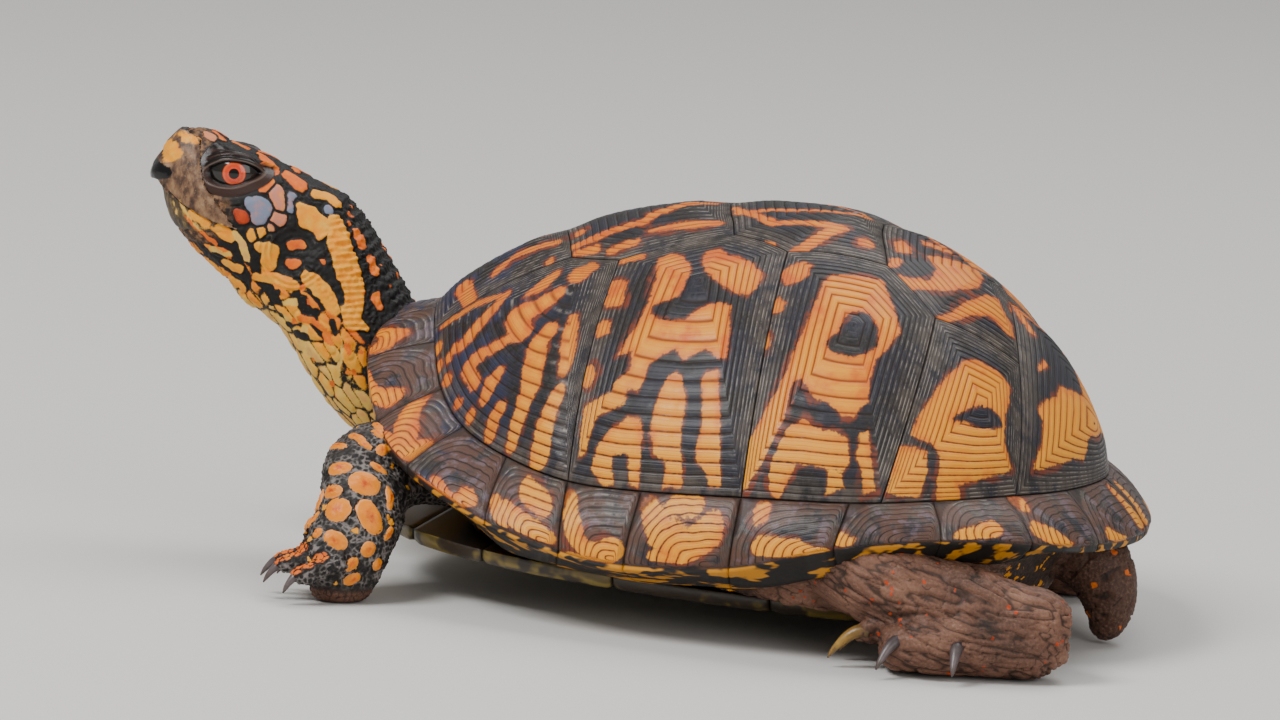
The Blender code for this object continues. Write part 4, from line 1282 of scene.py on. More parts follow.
@dataclass
class Plastron:
    """The lower shell: twelve plates either side of the midline, hollowed at the rear as in males."""

    shell: Carapace
    hinge: float = -12.0
    front: tuple[float, float, float] = (49.0, 42.0, 2.3)
    rear: tuple[float, float, float] = (68.0, 42.0, 2.2)
    seams: tuple[float, ...] = (-61.0, -50.5, -36.0, -12.0, 15.0, 33.5, 56.0)
    names: tuple[str, ...] = ("gular", "humeral", "pectoral", "abdominal", "femoral", "anal")
    gap: float = 0.3
    hollow: float = 1.3
    rounding: float = 2.6
    end_crowding: float = 1.8

    def half_width(self, x: Array) -> Array:
        """The lobes' half width.

        Args:
            x: Places along the shell.

        Returns:
            The half width at each.
        """
        ahead = x < self.hinge
        length = np.where(ahead, self.front[0], self.rear[0])
        width = np.where(ahead, self.front[1], self.rear[1])
        exponent = np.where(ahead, self.front[2], self.rear[2])
        share = np.clip(np.abs(x - self.hinge) / length, 0, 1)
        return width * (1.0 - share**exponent) ** (1 / exponent)

    def plate(self, number: int, side: Side, seed: int) -> Mesh:
        """One plate, with its growth lines below.

        Args:
            number: Which seam it starts at.
            side: Which half it belongs to.
            seed: Picks its wear.

        Returns:
            A closed mesh.
        """
        low, high = self.seams[number], self.seams[number + 1]
        rows = max(8, int((high - low) / (0.6)))
        columns = 60
        ease = np.linspace(0, 1, rows)
        if number == 0:
            ease = ease**self.end_crowding
        if number == len(self.names) - 1:
            ease = 1 - (1 - ease) ** self.end_crowding
        x = low + self.gap / 2 + (high - low - self.gap) * ease
        width = np.maximum(self.half_width(x) - 0.1, 0.35)
        share = 1 - (1 - np.linspace(0, 1, columns)) ** 1.35
        y = self.gap / 2 + (width[:, None] - self.gap / 2) * share[None]
        forth = np.repeat(x[:, None], columns, axis=1)
        to_rim = width[:, None] - y
        to_edge = np.minimum(np.minimum(forth - low, high - forth), y)
        round_off = self.rounding * (1 - np.sqrt(np.clip(1 - (1 - np.clip(to_rim / 2.8, 0, 1)) ** 2, 0, 1)))
        hollow = self.hollow * np.exp(-(((forth - 22) / 17) ** 2 + (y / 17) ** 2))
        hinge_fall = 0.4 * (1 - smoothstep(0, 1.2, to_edge))
        flat = np.stack([forth, y, np.full_like(y, seed)], axis=-1).reshape(-1, 3)
        reach = np.maximum(
            np.abs(forth - (low + 0.6 * (high - low))) / (high - low) / 0.6, y / width[:, None]
        )
        ring_number = (reach * 9).ravel() + 0.2 * noise(flat, 6.0, seed, 2)
        part = ring_number - np.floor(ring_number)
        groove = 0.07 * np.exp(-((np.minimum(part, 1 - part) / 0.09) ** 2))
        wear = 0.08 * noise(flat, 5.0, seed + 1, 3)
        lift = (round_off + hollow + hinge_fall).ravel() + groove + wear
        bottom = np.column_stack([flat[:, 0], flat[:, 1], self.shell.plastron_bottom + lift])
        top = np.column_stack([flat[:, 0], flat[:, 1], np.full(len(flat), self.shell.plastron_top)])
        bottom[:, 2] = np.minimum(bottom[:, 2], top[:, 2] - 0.02)
        sheet = bottom.reshape(rows, columns, 3)
        cover = top.reshape(rows, columns, 3)
        rings = np.concatenate([sheet, cover[:, ::-1][:, 1:-1]], axis=1)
        rings[..., 1] *= side.value
        mesh = ring_stack(self.shell.place(rings))
        hidden = rings.shape[1] - columns

        def padded(values: Array, fill: float) -> Array:
            """Values for the lower side, with one value for all that is hidden."""
            grid = values.reshape(rows, columns)
            grid = np.concatenate([grid, np.full((rows, hidden), fill)], axis=1)
            return np.concatenate([grid.ravel(), [fill, fill]])

        mesh.marks = {
            "ring": padded(ring_number, 0.0),
            "edge": padded(to_edge.ravel(), 0.0),
        }
        u = padded(0.02 + 0.9 * (forth.ravel() - low) / max(high - low, 42.0), 0.98)
        v = padded(0.02 + 0.9 * (y / 45.0).ravel(), 0.98)
        mesh.flat = np.column_stack([u, v])
        return mesh


# ----------------------------------------------------------------------------------------------------------
# Flesh


@dataclass(frozen=True)
class Limb:
    """A limb's stations: x, y, z of the centre, then half sizes across it and along the second axis."""

    stations: tuple[tuple[float, ...], ...]
    reference: tuple[float, float, float] = (0.0, 0.0, 1.0)
    squareness: float = 2.3
    inset: float = 0.35
    rounded_end: float = 0.0

    def mirrored(self, shift: float) -> "Limb":
        """The same limb on the right side, moved along X."""
        rows = tuple((x + shift, -y, *rest) for x, y, *rest in self.stations)
        return Limb(rows, self.reference, self.squareness, self.inset, self.rounded_end)

    def rows(self, count: int) -> Array:
        """Evenly read stations."""
        return catmull(self.stations, np.linspace(0, len(self.stations) - 1, count))

    def loft(self, count: int = 60, around: int = 64) -> Mesh:
        """A closed smooth loft along the stations, kept above the floor.

        Args:
            count: Number of rings.
            around: Points in a ring.

        Returns:
            The mesh.
        """
        rows = self.rows(count)
        centres = rows[:, :3]
        _, across, other = line_frames(centres, self.reference)
        c, s = squared(circle(around), self.squareness, self.squareness)
        half = np.maximum(rows[:, 3:5] - self.inset, 0.6)
        if self.rounded_end:
            t = np.clip((np.linspace(0, 1, count) - 1 + self.rounded_end) / self.rounded_end, 0, 0.97)
            half = half * np.sqrt(1 - t**2)[:, None] ** 0.8
        rings = centres[:, None] + across[:, None] * (c[None] * half[:, :1])[..., None]
        rings = rings + other[:, None] * (s[None] * half[:, 1:])[..., None]
        rings[..., 2] = np.maximum(rings[..., 2], 0.12)
        return ring_stack(rings)


FORELEG = Limb(
    (
        (-34.0, -16.0, 19.0, 7.0, 7.0),
        (-45.0, -21.0, 21.5, 7.2, 7.0),
        (-53.0, -26.5, 22.0, 7.2, 6.8),
        (-57.6, -32.5, 18.6, 7.2, 7.4),
        (-58.6, -38.5, 12.0, 8.0, 8.4),
        (-61.0, -43.5, 5.8, 8.8, 6.6),
        (-67.0, -45.5, 3.6, 6.6, 3.6),
    ),
    reference=(0.0, 1.0, 0.35),
    rounded_end=0.12,
)
HIND_THIGH = Limb(
    (
        (36.0, -22.0, 20.0, 12.0, 9.0),
        (31.0, -32.0, 18.0, 14.0, 9.0),
        (34.5, -40.5, 13.8, 15.5, 8.6),
        (50.0, -44.5, 9.8, 11.0, 8.4),
        (60.0, -44.5, 8.2, 8.0, 7.4),
    ),
    reference=(0.0, 0.3, 1.0),
)
HIND_FOOT = Limb(
    (
        (67.0, -43.0, 8.0, 4.5, 5.0),
        (61.5, -44.5, 8.0, 7.6, 8.0),
        (52.0, -47.5, 6.8, 9.0, 6.8),
        (43.0, -50.5, 5.4, 9.0, 5.4),
        (36.5, -52.0, 4.2, 6.8, 4.0),
    ),
    rounded_end=0.1,
)
TAIL = Limb(
    (
        (44.0, 0.0, 16.5, 7.5, 7.0),
        (56.0, 0.0, 17.5, 7.0, 6.8),
        (63.0, 0.0, 13.8, 6.4, 6.4),
        (66.0, -0.6, 8.4, 5.2, 5.2),
        (65.8, -1.0, 3.8, 3.8, 3.6),
        (64.0, -1.4, 1.7, 2.2, 1.7),
    ),
    reference=(0.0, 1.0, 0.0),
    rounded_end=0.12,
)
NECK = Limb(
    (
        (-40.0, 0.0, 21.0, 11.0, 8.0),
        (-56.0, 0.0, 27.0, 10.6, 8.6),
        (-66.4, 0.0, 33.4, 10.2, 9.8),
        (-73.6, 0.3, 42.6, 10.2, 11.0),
        (-79.2, 0.6, 51.1, 9.8, 11.6),
        (-84.0, 0.0, 58.0, 9.0, 9.0),
    ),
    reference=(0.0, 1.0, 0.0),
)
RIGHT_FORE_SHIFT = 3.0
RIGHT_HIND_SHIFT = -8.0
LEGS = {
    "fore": (FORELEG, RIGHT_FORE_SHIFT),
    "thigh": (HIND_THIGH, RIGHT_HIND_SHIFT),
    "foot": (HIND_FOOT, RIGHT_HIND_SHIFT),
}


@dataclass(frozen=True)
class Head:
    """The head's own frame (f forward, l left, u up from between the eyes) and its cross-sections."""

    origin: tuple[float, float, float] = (-93.5, -1.5, 67.0)
    pitch: float = 26.6
    yaw: float = 10.0
    eye_radius: float = 4.3
    eye_offset: float = 4.4
    eye_drop: float = -0.35
    eye_long: tuple[float, float, float] = (-0.911, 0.0, 0.412)
    eye_stretch: float = 1.2
    squareness: tuple[float, float] = (2.5, 2.2)
    nose: tuple[tuple[float, float], ...] = ((0.4, 0.54), (0.75, 0.27))
    sections: tuple[tuple[float, float, float, float], ...] = (
        (12.2, -0.6, -7.4, 1.9),
        (11.6, 0.9, -8.8, 3.4),
        (10.0, 2.0, -10.4, 4.8),
        (7.6, 2.7, -12.4, 6.2),
        (4.4, 3.2, -14.4, 7.9),
        (0.4, 3.7, -15.9, 9.3),
        (-4.6, 4.5, -17.2, 10.3),
        (-9.6, 4.9, -17.8, 10.8),
        (-14.6, 5.2, -17.6, 10.5),
        (-19.0, 4.8, -16.4, 9.6),
    )
    mouth: tuple[tuple[float, float], ...] = (
        (14.0, -8.9),
        (11.6, -8.3),
        (8.6, -9.0),
        (5.0, -9.6),
        (0.0, -9.4),
        (-5.8, -8.8),
    )
    upper_roof: tuple[tuple[float, float], ...] = (
        (-5.8, -8.2),
        (-2.0, -6.6),
        (3.4, -4.4),
        (6.4, -1.2),
        (8.0, 1.6),
        (14.0, 1.6),
    )
    lower_floor: tuple[tuple[float, float], ...] = (
        (-5.8, -9.4),
        (-2.0, -11.6),
        (3.0, -14.6),
        (5.0, -16.5),
        (14.0, -16.5),
    )

    def axes(self) -> Array:
        """The head's own directions in the standing frame.

        Returns:
            Forward, left and up as rows.
        """
        pitch, yaw = math.radians(self.pitch), math.radians(self.yaw)
        ahead = np.array([-math.cos(yaw), -math.sin(yaw), 0.0])
        forward = ahead * math.cos(pitch) + np.array([0.0, 0.0, math.sin(pitch)])
        left = np.array([math.sin(yaw), -math.cos(yaw), 0.0])
        return np.array([forward, left, np.cross(forward, left)])

    def to_standing(self, points: Array) -> Array:
        """From (f, l, u) to the standing frame."""
        return np.array(self.origin) + np.atleast_2d(points) @ self.axes()

    def from_standing(self, points: Array) -> Array:
        """From the standing frame to (f, l, u)."""
        return (np.atleast_2d(points) - np.array(self.origin)) @ self.axes().T

    def zones(self) -> dict[str, Array]:
        """Side-view outlines (forward, up) of the upper and lower beak."""
        upper = [*self.mouth[:-1], *self.upper_roof]
        lower = [*((f, u - 0.25) for f, u in self.mouth[:-1]), *self.lower_floor]
        return {"upper_beak": np.array(upper, float), "lower_beak": np.array(lower, float)}

    def even(self, offsets: Array, back: bool = False) -> Array:
        """Offsets from an eye's centre, evened out so that its slightly long ball becomes round, or back."""
        long = np.array(self.eye_long)
        factor = self.eye_stretch if back else 1.0 / self.eye_stretch
        return offsets + np.outer(offsets @ long, long) * (factor - 1.0)

    def brow_dip(self, direction: Array, outward: Array) -> Array:
        """How much lower the ball and its lid lie under the brow than a full round, in millimetres."""
        return 0.9 * smoothstep(0.45, 0.85, direction[:, 2]) * smoothstep(0.7, 0.35, outward)

    def loft(self, grow: float, count: int = 80, around: int = 96) -> Mesh:
        """The head's closed loft.

        Args:
            grow: How far it is grown all round, in millimetres; below 0 it is shrunk.
            count: Number of rings.
            around: Points in a ring.

        Returns:
            The mesh.
        """
        rows = catmull(self.sections, np.linspace(0, len(self.sections) - 1, count))
        c, s = squared(circle(around), *self.squareness)
        middle = (rows[:, 1] + rows[:, 2]) / 2
        tall = (rows[:, 1] - rows[:, 2]) / 2 + grow
        wide = rows[:, 3] + grow
        f = rows[:, 0] + np.linspace(grow, 0, count)
        sides = c[None] * wide[:, None]
        rings = np.stack(
            [np.repeat(f[:, None], around, axis=1), sides, middle[:, None] + s[None] * tall[:, None]], axis=-1
        )
        centre = rings[0].mean(axis=0)
        caps = [
            centre + (rings[0] - centre) * scale + np.array([ahead, 0.0, 0.0]) for scale, ahead in self.nose
        ]
        rings = np.concatenate([np.array(caps), rings])
        return ring_stack(self.to_standing(rings.reshape(-1, 3)).reshape(rings.shape))


@dataclass
class Trunk:
    """The body inside the shell, whose skin closes the openings."""

    shell: Carapace
    rim: Marginals
    shares: tuple[float, ...] = (0.08, 0.35, 0.62, 0.86)
    around: int = 96
    clearance: float = 1.4
    inset: float = 2.9

    def loft(self) -> Mesh:
        """A closed loft just inside the shell.

        Returns:
            The trunk's mesh.
        """
        shell = self.shell
        stations = np.linspace(0, 2 * shell.last, self.around, endpoint=False)
        feet = shell.seam_foot(stations)
        depth = self.rim.wall + self.clearance
        rings = [shell.raised(feet * share) - shell.normals(feet * share) * depth for share in self.shares]
        knots, _ = self.rim.knots(stations)
        heel, inner = knots[:, 5], knots[:, 6]
        _, seam = shell.rim_line(stations)
        inward = unit((np.array([shell.apex[0], 0.0, 0.0]) - seam) * FLAT_WAYS)
        bridge = self.rim.bridge(stations)
        up = UPWARDS
        rings.append(inner + inward * self.inset - up * 0.7)
        rings.append(heel + inward * (2.6 + 1.4 * bridge) + up * (2.2 * bridge - 1.0))
        sole = heel.copy()
        sole[:, 0] *= np.where(sole[:, 0] < 0, 0.76, 0.84)
        sole[:, 1] *= 0.88
        sole[:, 2] = shell.plastron_top + 0.5
        rings.append(sole)
        rings.append(sole * np.array([0.5, 0.5, 1.0]))
        return ring_stack(np.stack([shell.place(ring) for ring in rings]))


@dataclass(frozen=True)
class Claw:
    """One claw: its root and tip, how thick the root is, how far it bows up, and its share of full length."""

    name: str
    root: tuple[float, float, float]
    tip: tuple[float, float, float]
    radius: float
    bow: float
    length: float
    flattening: float = 0.72

    @property
    def fore(self) -> bool:
        """Whether it belongs to a forefoot."""
        return self.name.startswith("fore")

    def mesh(self) -> Mesh:
        """A curved, flattened cone with a rounded tip.

        Returns:
            The claw's closed mesh, marked with the way along it.
        """
        root, tip = np.array(self.root), np.array(self.tip)
        tip = root + (tip - root) * self.length
        t = np.linspace(0, 1, 26)
        middle = (root + tip) / 2 + UPWARDS * self.bow
        line = (1 - t)[:, None] ** 2 * root + (2 * t * (1 - t))[:, None] * (2 * middle - (root + tip) / 2)
        line = line + t[:, None] ** 2 * tip
        _, across, other = line_frames(line, UPWARDS)
        size = self.radius * (1 - 0.78 * t**1.3) * np.sqrt(np.clip((1.02 - t) / 0.12, 0.05, 1))
        turns = circle(28)
        c, s = np.cos(turns), np.sin(turns)
        s = np.where(s < 0, s * self.flattening, s)
        rings = line[:, None] + across[:, None] * (c[None] * size[:, None] * 0.92)[..., None]
        rings = rings + other[:, None] * (s[None] * size[:, None] * 0.9)[..., None]
        mesh = ring_stack(rings)
        mesh.marks = {"along": np.concatenate([np.repeat(t, len(turns)), [0.0, 1.0]])}
        return mesh


FORE_CLAWS = (
    ((-62.2, -37.8, 4.2), (-67.8, -35.8, 1.6)),
    ((-66.0, -41.2, 5.2), (-72.8, -40.6, 2.4)),
    ((-67.2, -44.8, 5.4), (-74.6, -45.6, 2.6)),
    ((-66.2, -48.6, 5.2), (-72.4, -51.4, 2.4)),
    ((-62.8, -51.6, 4.2), (-67.6, -55.4, 1.6)),
)
HIND_CLAWS = (
    ((34.5, -46.2, 4.6), (28.6, -46.6, 1.6)),
    ((34.5, -52.2, 6.2), (28.4, -54.6, 1.6)),
    ((41.5, -56.0, 6.2), (38.2, -61.8, 1.8)),
    ((50.5, -54.6, 6.2), (51.0, -60.8, 1.9)),
)


def claws() -> list[Claw]:
    """All the claws, named after the nodes they stand for; each hind foot's inner claw is the stoutest.

    Returns:
        The claws of the forefeet and then of the hind feet.
    """
    found = []
    legs = (
        ("foreleg", FORE_CLAWS, RIGHT_FORE_SHIFT, (1.6, 1.9, 0.8), (1.6, 1.9, 0.8)),
        ("hindleg", HIND_CLAWS, RIGHT_HIND_SHIFT, (2.0, 1.9, 1.0), (1.7, 1.5, 1.0)),
    )
    for prefix, rows, shift, inner, others in legs:
        for side in Side:
            moved = shift if side is Side.RIGHT else 0.0
            for number, ends in enumerate(rows):
                root, tip = ((x + moved, -y * side.value, z) for x, y, z in ends)
                sizes = others if number else inner
                found.append(Claw(f"{prefix}_{side.word}_claw_{number + 1}", root, tip, *sizes))
    return found


class Tint(Enum):
    """Skin colours, as places on the skin's colour ramp."""

    RED = 0.12
    ORANGE = 0.3
    YELLOW = 0.5
    CREAM = 0.66
    PEACH = 0.82
    BLUE = 1.0


@dataclass(frozen=True)
class SkinMark:
    """A coloured mark on head or neck: places (forward, out from the middle, up) and half widths."""

    tint: Tint
    places: tuple[tuple[float, float, float, float], ...]
    plate: float = 0.0

    def distance(self, points: Array) -> Array:
        """Signed distance to the mark, negative inside it."""
        return tapered_distance(self.places, points)


def skin_marks(
    tint: Tint, plate: float, *lines: Sequence[tuple[float, float, float, float]]
) -> list[SkinMark]:
    """Several marks of one tint."""
    return [SkinMark(tint, tuple(line), plate) for line in lines]


HEAD_MARKS = (
    *skin_marks(
        Tint.YELLOW, 0.0, [(12.0, 1.4, -3.3, 1.6), (11.1, 3.6, -3.4, 2.0), (10.2, 4.8, -2.9, 1.1)],
        [(11.6, 1.5, -0.7, 0.9), (10.1, 3.4, 0.2, 1.2), (8.8, 4.0, 0.6, 0.9)],
    ),
    *skin_marks(Tint.PEACH, 0.1, [(7.7, 2.7, 2.2, 0.8), (6.6, 3.1, 2.4, 0.9)]),
    *skin_marks(
        Tint.ORANGE, 0.15, [(6.4, 0.8, 2.8, 0.8), (5.0, 2.1, 2.8, 0.9)],
        [(3.0, 0.3, 3.6, 0.6), (0.4, 0.9, 3.9, 0.8)],
    ),
    *skin_marks(
        Tint.ORANGE,
        0.3,
        [(-2.3, 1.5, 4.0, 0.8), (-3.9, 4.0, 3.9, 1.4), (-5.5, 5.1, 3.6, 1.4)],
        [(-8.6, 4.9, 3.8, 1.4), (-10.8, 5.2, 3.5, 1.7)],
        [(-6.2, 7.9, 1.7, 1.0), (-5.7, 9.1, 0.1, 0.6)],
        [(-20.5, 2.5, 3.0, 0.8), (-22.0, 2.0, 2.0, 0.8)],
        [(-9.0, 1.0, 4.9, 0.9)],
    ),
    # Blue-grey on the plates behind the eye and on the crown: painted sheen of reflected light on the dark
    # skin.
    *skin_marks(
        Tint.BLUE, 0.25, [(-4.7, 9.9, -2.7, 0.9), (-6.2, 10.1, -2.6, 1.6), (-7.7, 10.4, -3.1, 2.3)],
        [(-17.4, 5.6, 2.6, 0.9)], [(-10.8, 8.4, 2.2, 1.1), (-11.6, 9.1, 0.0, 1.1)],
    ),
    *skin_marks(
        Tint.PEACH, 0.25, [(-8.2, 8.9, 0.8, 1.6), (-9.8, 9.5, -0.3, 1.6)], [(-10.5, 10.2, -2.7, 1.7)],
        [(-10.2, 10.2, -4.6, 1.0)],
    ),
    *skin_marks(Tint.RED, 0.3, [(-3.9, 10.1, -5.5, 0.7), (-5.2, 10.3, -5.5, 1.3)]),
    *skin_marks(Tint.YELLOW, 0.25, [(-8.1, 10.6, -7.4, 1.1)], [(-9.3, 10.8, -6.2, 1.0)]),
    *skin_marks(
        Tint.YELLOW, 0.1,
        [
            (2.6, 7.6, -10.2, 0.7), (0.5, 8.6, -10.0, 1.0), (-1.6, 8.1, -9.9, 1.2), (-4.3, 9.9, -9.8, 1.3),
            (-5.8, 9.0, -9.9, 1.0),
        ],
    ),
    *skin_marks(
        Tint.ORANGE, 0.0,
        [(3.5, 7.0, -11.2, 0.25), (1.4, 7.6, -11.7, 0.4), (-0.8, 8.1, -12.2, 0.5), (-3.3, 8.6, -12.5, 0.6)],
    ),
    *skin_marks(
        Tint.CREAM,
        0.0,
        [(10.8, 2.0, -9.8, 0.2), (9.9, 2.6, -11.6, 0.4)],
        [(9.9, 3.4, -9.6, 0.2), (8.4, 3.9, -11.9, 0.45)],
        [(8.8, 4.6, -9.5, 0.25), (7.0, 5.0, -12.0, 0.45)],
        [(7.4, 5.6, -9.6, 0.25), (5.6, 6.0, -11.9, 0.5)],
        [(5.7, 6.9, -9.4, 0.3), (3.7, 7.4, -10.9, 0.45), (1.9, 7.9, -11.6, 0.4), (-0.2, 8.3, -12.0, 0.3)],
        [(-5.4, 10.1, -8.7, 0.5), (-7.3, 10.2, -9.8, 0.7), (-9.7, 9.9, -11.6, 0.7)],
        [(-3.4, 7.6, -13.8, 0.5), (-6.6, 9.1, -12.7, 0.7)],
        [(-13.2, 6.1, -16.1, 0.8), (-17.0, 7.5, -16.3, 0.9), (-20.5, 10.5, -13.9, 0.8)],
        [(-29.4, 10.5, -12.2, 0.4), (-31.8, 10.3, -16.3, 0.4), (-33.3, 9.8, -20.4, 0.4)],
        [(-24.7, 10.2, -16.6, 0.9), (-25.4, 8.2, -20.4, 1.1), (-27.6, 9.0, -20.6, 0.8)],
    ),
    *skin_marks(
        Tint.YELLOW, 0.2, [(-10.4, 10.7, -8.3, 0.9), (-12.6, 10.5, -8.0, 1.3), (-13.4, 10.3, -10.2, 1.4)]
    ),
    *skin_marks(Tint.YELLOW, 0.3, [(-14.2, 4.9, 3.6, 1.1), (-16.3, 3.6, 4.1, 1.2), (-18.0, 3.6, 3.7, 1.1)]),
    *skin_marks(
        Tint.YELLOW, 0.3,
        [(-12.7, 8.5, 0.7, 1.2), (-15.3, 8.2, 0.0, 2.2), (-17.7, 7.5, -0.3, 1.7), (-18.5, 8.5, -1.7, 0.9)],
    ),
    *skin_marks(
        Tint.YELLOW,
        0.3,
        [
            (-19.3, 5.8, 1.1, 1.6),
            (-22.3, 7.6, -1.4, 2.2),
            (-25.6, 8.4, -4.1, 2.3),
            (-28.1, 9.1, -6.7, 2.2),
            (-29.7, 9.8, -9.5, 2.0),
            (-31.0, 9.9, -11.2, 1.6),
            (-33.7, 9.3, -10.9, 0.6),
        ],
    ),
    *skin_marks(
        Tint.ORANGE,
        0.15,
        [(-29.7, 0.8, -2.2, 0.7), (-31.5, 0.5, -3.1, 0.8)],
        [(-26.2, 2.6, 0.0, 0.6), (-27.6, 3.0, -1.6, 0.6)],
        [(-32.0, 6.6, -6.2, 1.2), (-33.3, 7.0, -7.3, 1.1)],
        [(-35.0, 6.6, -7.9, 0.7), (-35.5, 4.9, -6.9, 0.5)],
        [(-36.3, 0.6, -5.7, 0.8)],
        [(-24.0, 4.6, 1.6, 1.3), (-25.4, 4.8, 0.6, 1.2)],
        [(-23.6, 0.8, 2.0, 0.6), (-24.6, 1.2, 1.3, 0.5)],
        [(-28.4, 4.8, -1.0, 1.2), (-29.6, 5.2, -2.1, 1.2)],
        [(-33.0, 3.4, -4.2, 1.2), (-34.2, 3.8, -5.2, 1.1)],
        [(-31.2, 2.8, -2.9, 0.6)],
        [(-21.6, 4.6, 2.6, 0.6)],
        [(-15.1, 9.9, -5.4, 0.9), (-16.5, 9.8, -4.4, 0.8)],
        [(-16.4, 10.5, -8.3, 1.0), (-17.1, 10.5, -7.7, 0.9)],
        [
            (-22.5, 10.2, -15.6, 0.7), (-25.0, 10.7, -14.8, 0.7), (-27.7, 10.6, -14.9, 0.8),
            (-30.1, 10.4, -17.4, 0.9),
        ],
        [(-32.3, 10.3, -15.0, 0.8), (-33.5, 10.2, -16.5, 0.8)],
    ),
    *skin_marks(
        Tint.YELLOW,
        0.12,
        [(-6.8, 7.7, -14.4, 0.9), (-9.4, 8.3, -14.0, 1.1)],
        [(-9.4, 6.0, -16.4, 0.9), (-11.6, 6.6, -16.6, 1.1)],
        [(-12.3, 8.9, -13.6, 0.8), (-16.1, 10.0, -12.0, 1.0), (-19.0, 11.0, -11.2, 1.0)],
        [
            (-20.2, 11.0, -8.7, 1.2), (-22.5, 11.0, -8.9, 1.7), (-25.3, 10.7, -9.8, 1.5),
            (-27.2, 10.7, -11.3, 1.1),
        ],
    ),
)
DARK_MARKS = (
    ((11.6, 2.0, -6.2, 1.0), (11.0, 3.5, -6.4, 1.2), (9.8, 4.9, -4.9, 0.6)),
    (
        (11.9, 0.3, 0.2, 0.7), (11.3, 1.2, 0.9, 0.6), (9.2, 3.0, 1.3, 0.6), (7.4, 3.4, 1.0, 0.5),
        (5.7, 6.2, -0.5, 0.4),
    ),
    ((-1.3, 9.0, -10.5, 0.3), (-2.9, 9.1, -11.2, 0.5)),
    ((-4.1, 9.1, -11.7, 0.4), (-6.1, 9.7, -11.1, 0.6)),
    ((-6.3, 10.4, -7.6, 0.3), (-8.5, 10.4, -9.1, 0.4), (-10.8, 10.4, -10.4, 0.5)),
    ((-15.3, 7.1, -15.2, 0.7), (-17.3, 10.0, -13.7, 0.7)),
    ((-21.7, 10.9, -12.7, 1.2),),
    ((-24.7, 10.8, -13.2, 0.9),),
    ((-19.8, 8.6, -16.9, 0.7),),
    ((-21.7, 8.7, -17.9, 0.7),),
    ((-23.8, 9.0, -18.6, 0.9), (-25.3, 9.7, -18.2, 0.9)),
    ((-28.0, 10.6, -13.1, 0.7), (-29.4, 10.5, -14.5, 0.6)),
    ((-22.1, 10.4, -6.2, 0.7), (-24.9, 10.2, -7.2, 1.0), (-27.4, 10.2, -9.2, 0.8)),
)


BEADED = (
    (-20.3, 5.0, 4.6, 0.8),
    (-23.4, 6.0, 2.2, 1.4),
    (-27.2, 6.8, -0.6, 1.6),
    (-30.6, 7.6, -4.0, 1.6),
    (-32.6, 8.4, -8.0, 1.4),
    (-34.0, 8.8, -9.6, 1.0),
)
BEAK_DARK = (
    ((12.4, 0.0, -8.0, 1.9), (12.0, 1.8, -7.5, 1.8), (11.2, 3.4, -7.2, 1.5), (9.8, 4.8, -6.6, 1.0)),
    (
        (12.2, 0.3, 0.6, 0.8), (11.3, 1.6, 1.6, 0.7), (9.2, 3.0, 2.2, 0.5), (7.6, 4.6, 1.4, 0.6),
        (6.0, 6.2, -0.4, 0.6),
    ),
    ((12.4, 1.3, -1.7, 0.3),),
    ((2.6, 8.2, -6.4, 0.5), (0.6, 8.8, -6.9, 0.7), (-1.8, 9.2, -7.2, 0.5)),
    ((4.6, 7.4, -8.2, 0.25), (1.2, 8.6, -8.6, 0.35), (-3.2, 9.4, -8.1, 0.4)),
    ((3.8, 7.6, -5.4, 0.35), (3.0, 8.0, -6.3, 0.3)),
)


def neck_middle(x: Array) -> Array:
    """How far the neck's middle lies to the left of the head's own middle plane, by standing x."""
    return smoothstep(-90.0, -80.0, x) * (-1.773 + (x + 93.5) * 0.174)


def side_places(head: Head, points: Array) -> Array:
    """Forward, distance out from the middle, and up, for marks that both sides share."""
    own = head.from_standing(points)
    out = np.abs(own[:, 1] - neck_middle(points[:, 0]))
    return np.column_stack([own[:, 0], out, own[:, 2]])


@dataclass(frozen=True)
class Painted:
    """What the marks say at each point: signed distance, tint and how far the mark stands proud."""

    mark: Array
    hue: Array
    raised: Array


def painted(places: Array, seed: int) -> Painted:
    """Reads the head and neck marks.

    Args:
        places: Points in the shared side layout.
        seed: Picks the drift of the marks.

    Returns:
        The marks at each point.
    """
    drift = 0.35 * np.column_stack([noise(places, 2.6, seed + n, 2) for n in range(3)])
    drift += 0.24 * np.column_stack([noise(places, 0.95, seed + 60 + n, 1) for n in range(3)])
    moved = places + drift
    best = np.full(len(places), FAR)
    second = np.full(len(places), FAR)
    hue = np.full(len(places), Tint.ORANGE.value)
    raised = np.zeros(len(places))
    for mark in HEAD_MARKS:
        away = mark.distance(moved)
        nearer = away < best
        second = np.where(nearer, best, np.minimum(second, away))
        best = np.where(nearer, away, best)
        hue = np.where(nearer, mark.tint.value, hue)
        raised = np.where(nearer, mark.plate, raised)
    on_head = (places[:, 0] > -14.0) & (places[:, 0] < -3.0) & (raised > 0.2)
    best = np.where(on_head, np.maximum(best, 0.24 - 0.5 * (second - best)), best)
    for dark in DARK_MARKS:
        best = np.maximum(best, -tapered_distance(dark, moved))
    return Painted(best, hue, raised)


@dataclass(frozen=True)
class Cells:
    """A pebbled pattern: distance to the nearest and second nearest grain, and the grain's own number."""

    first: Array
    second: Array
    grain: Array

    @property
    def gap(self) -> Array:
        """0 at the borders between grains, growing inwards."""
        return self.second - self.first


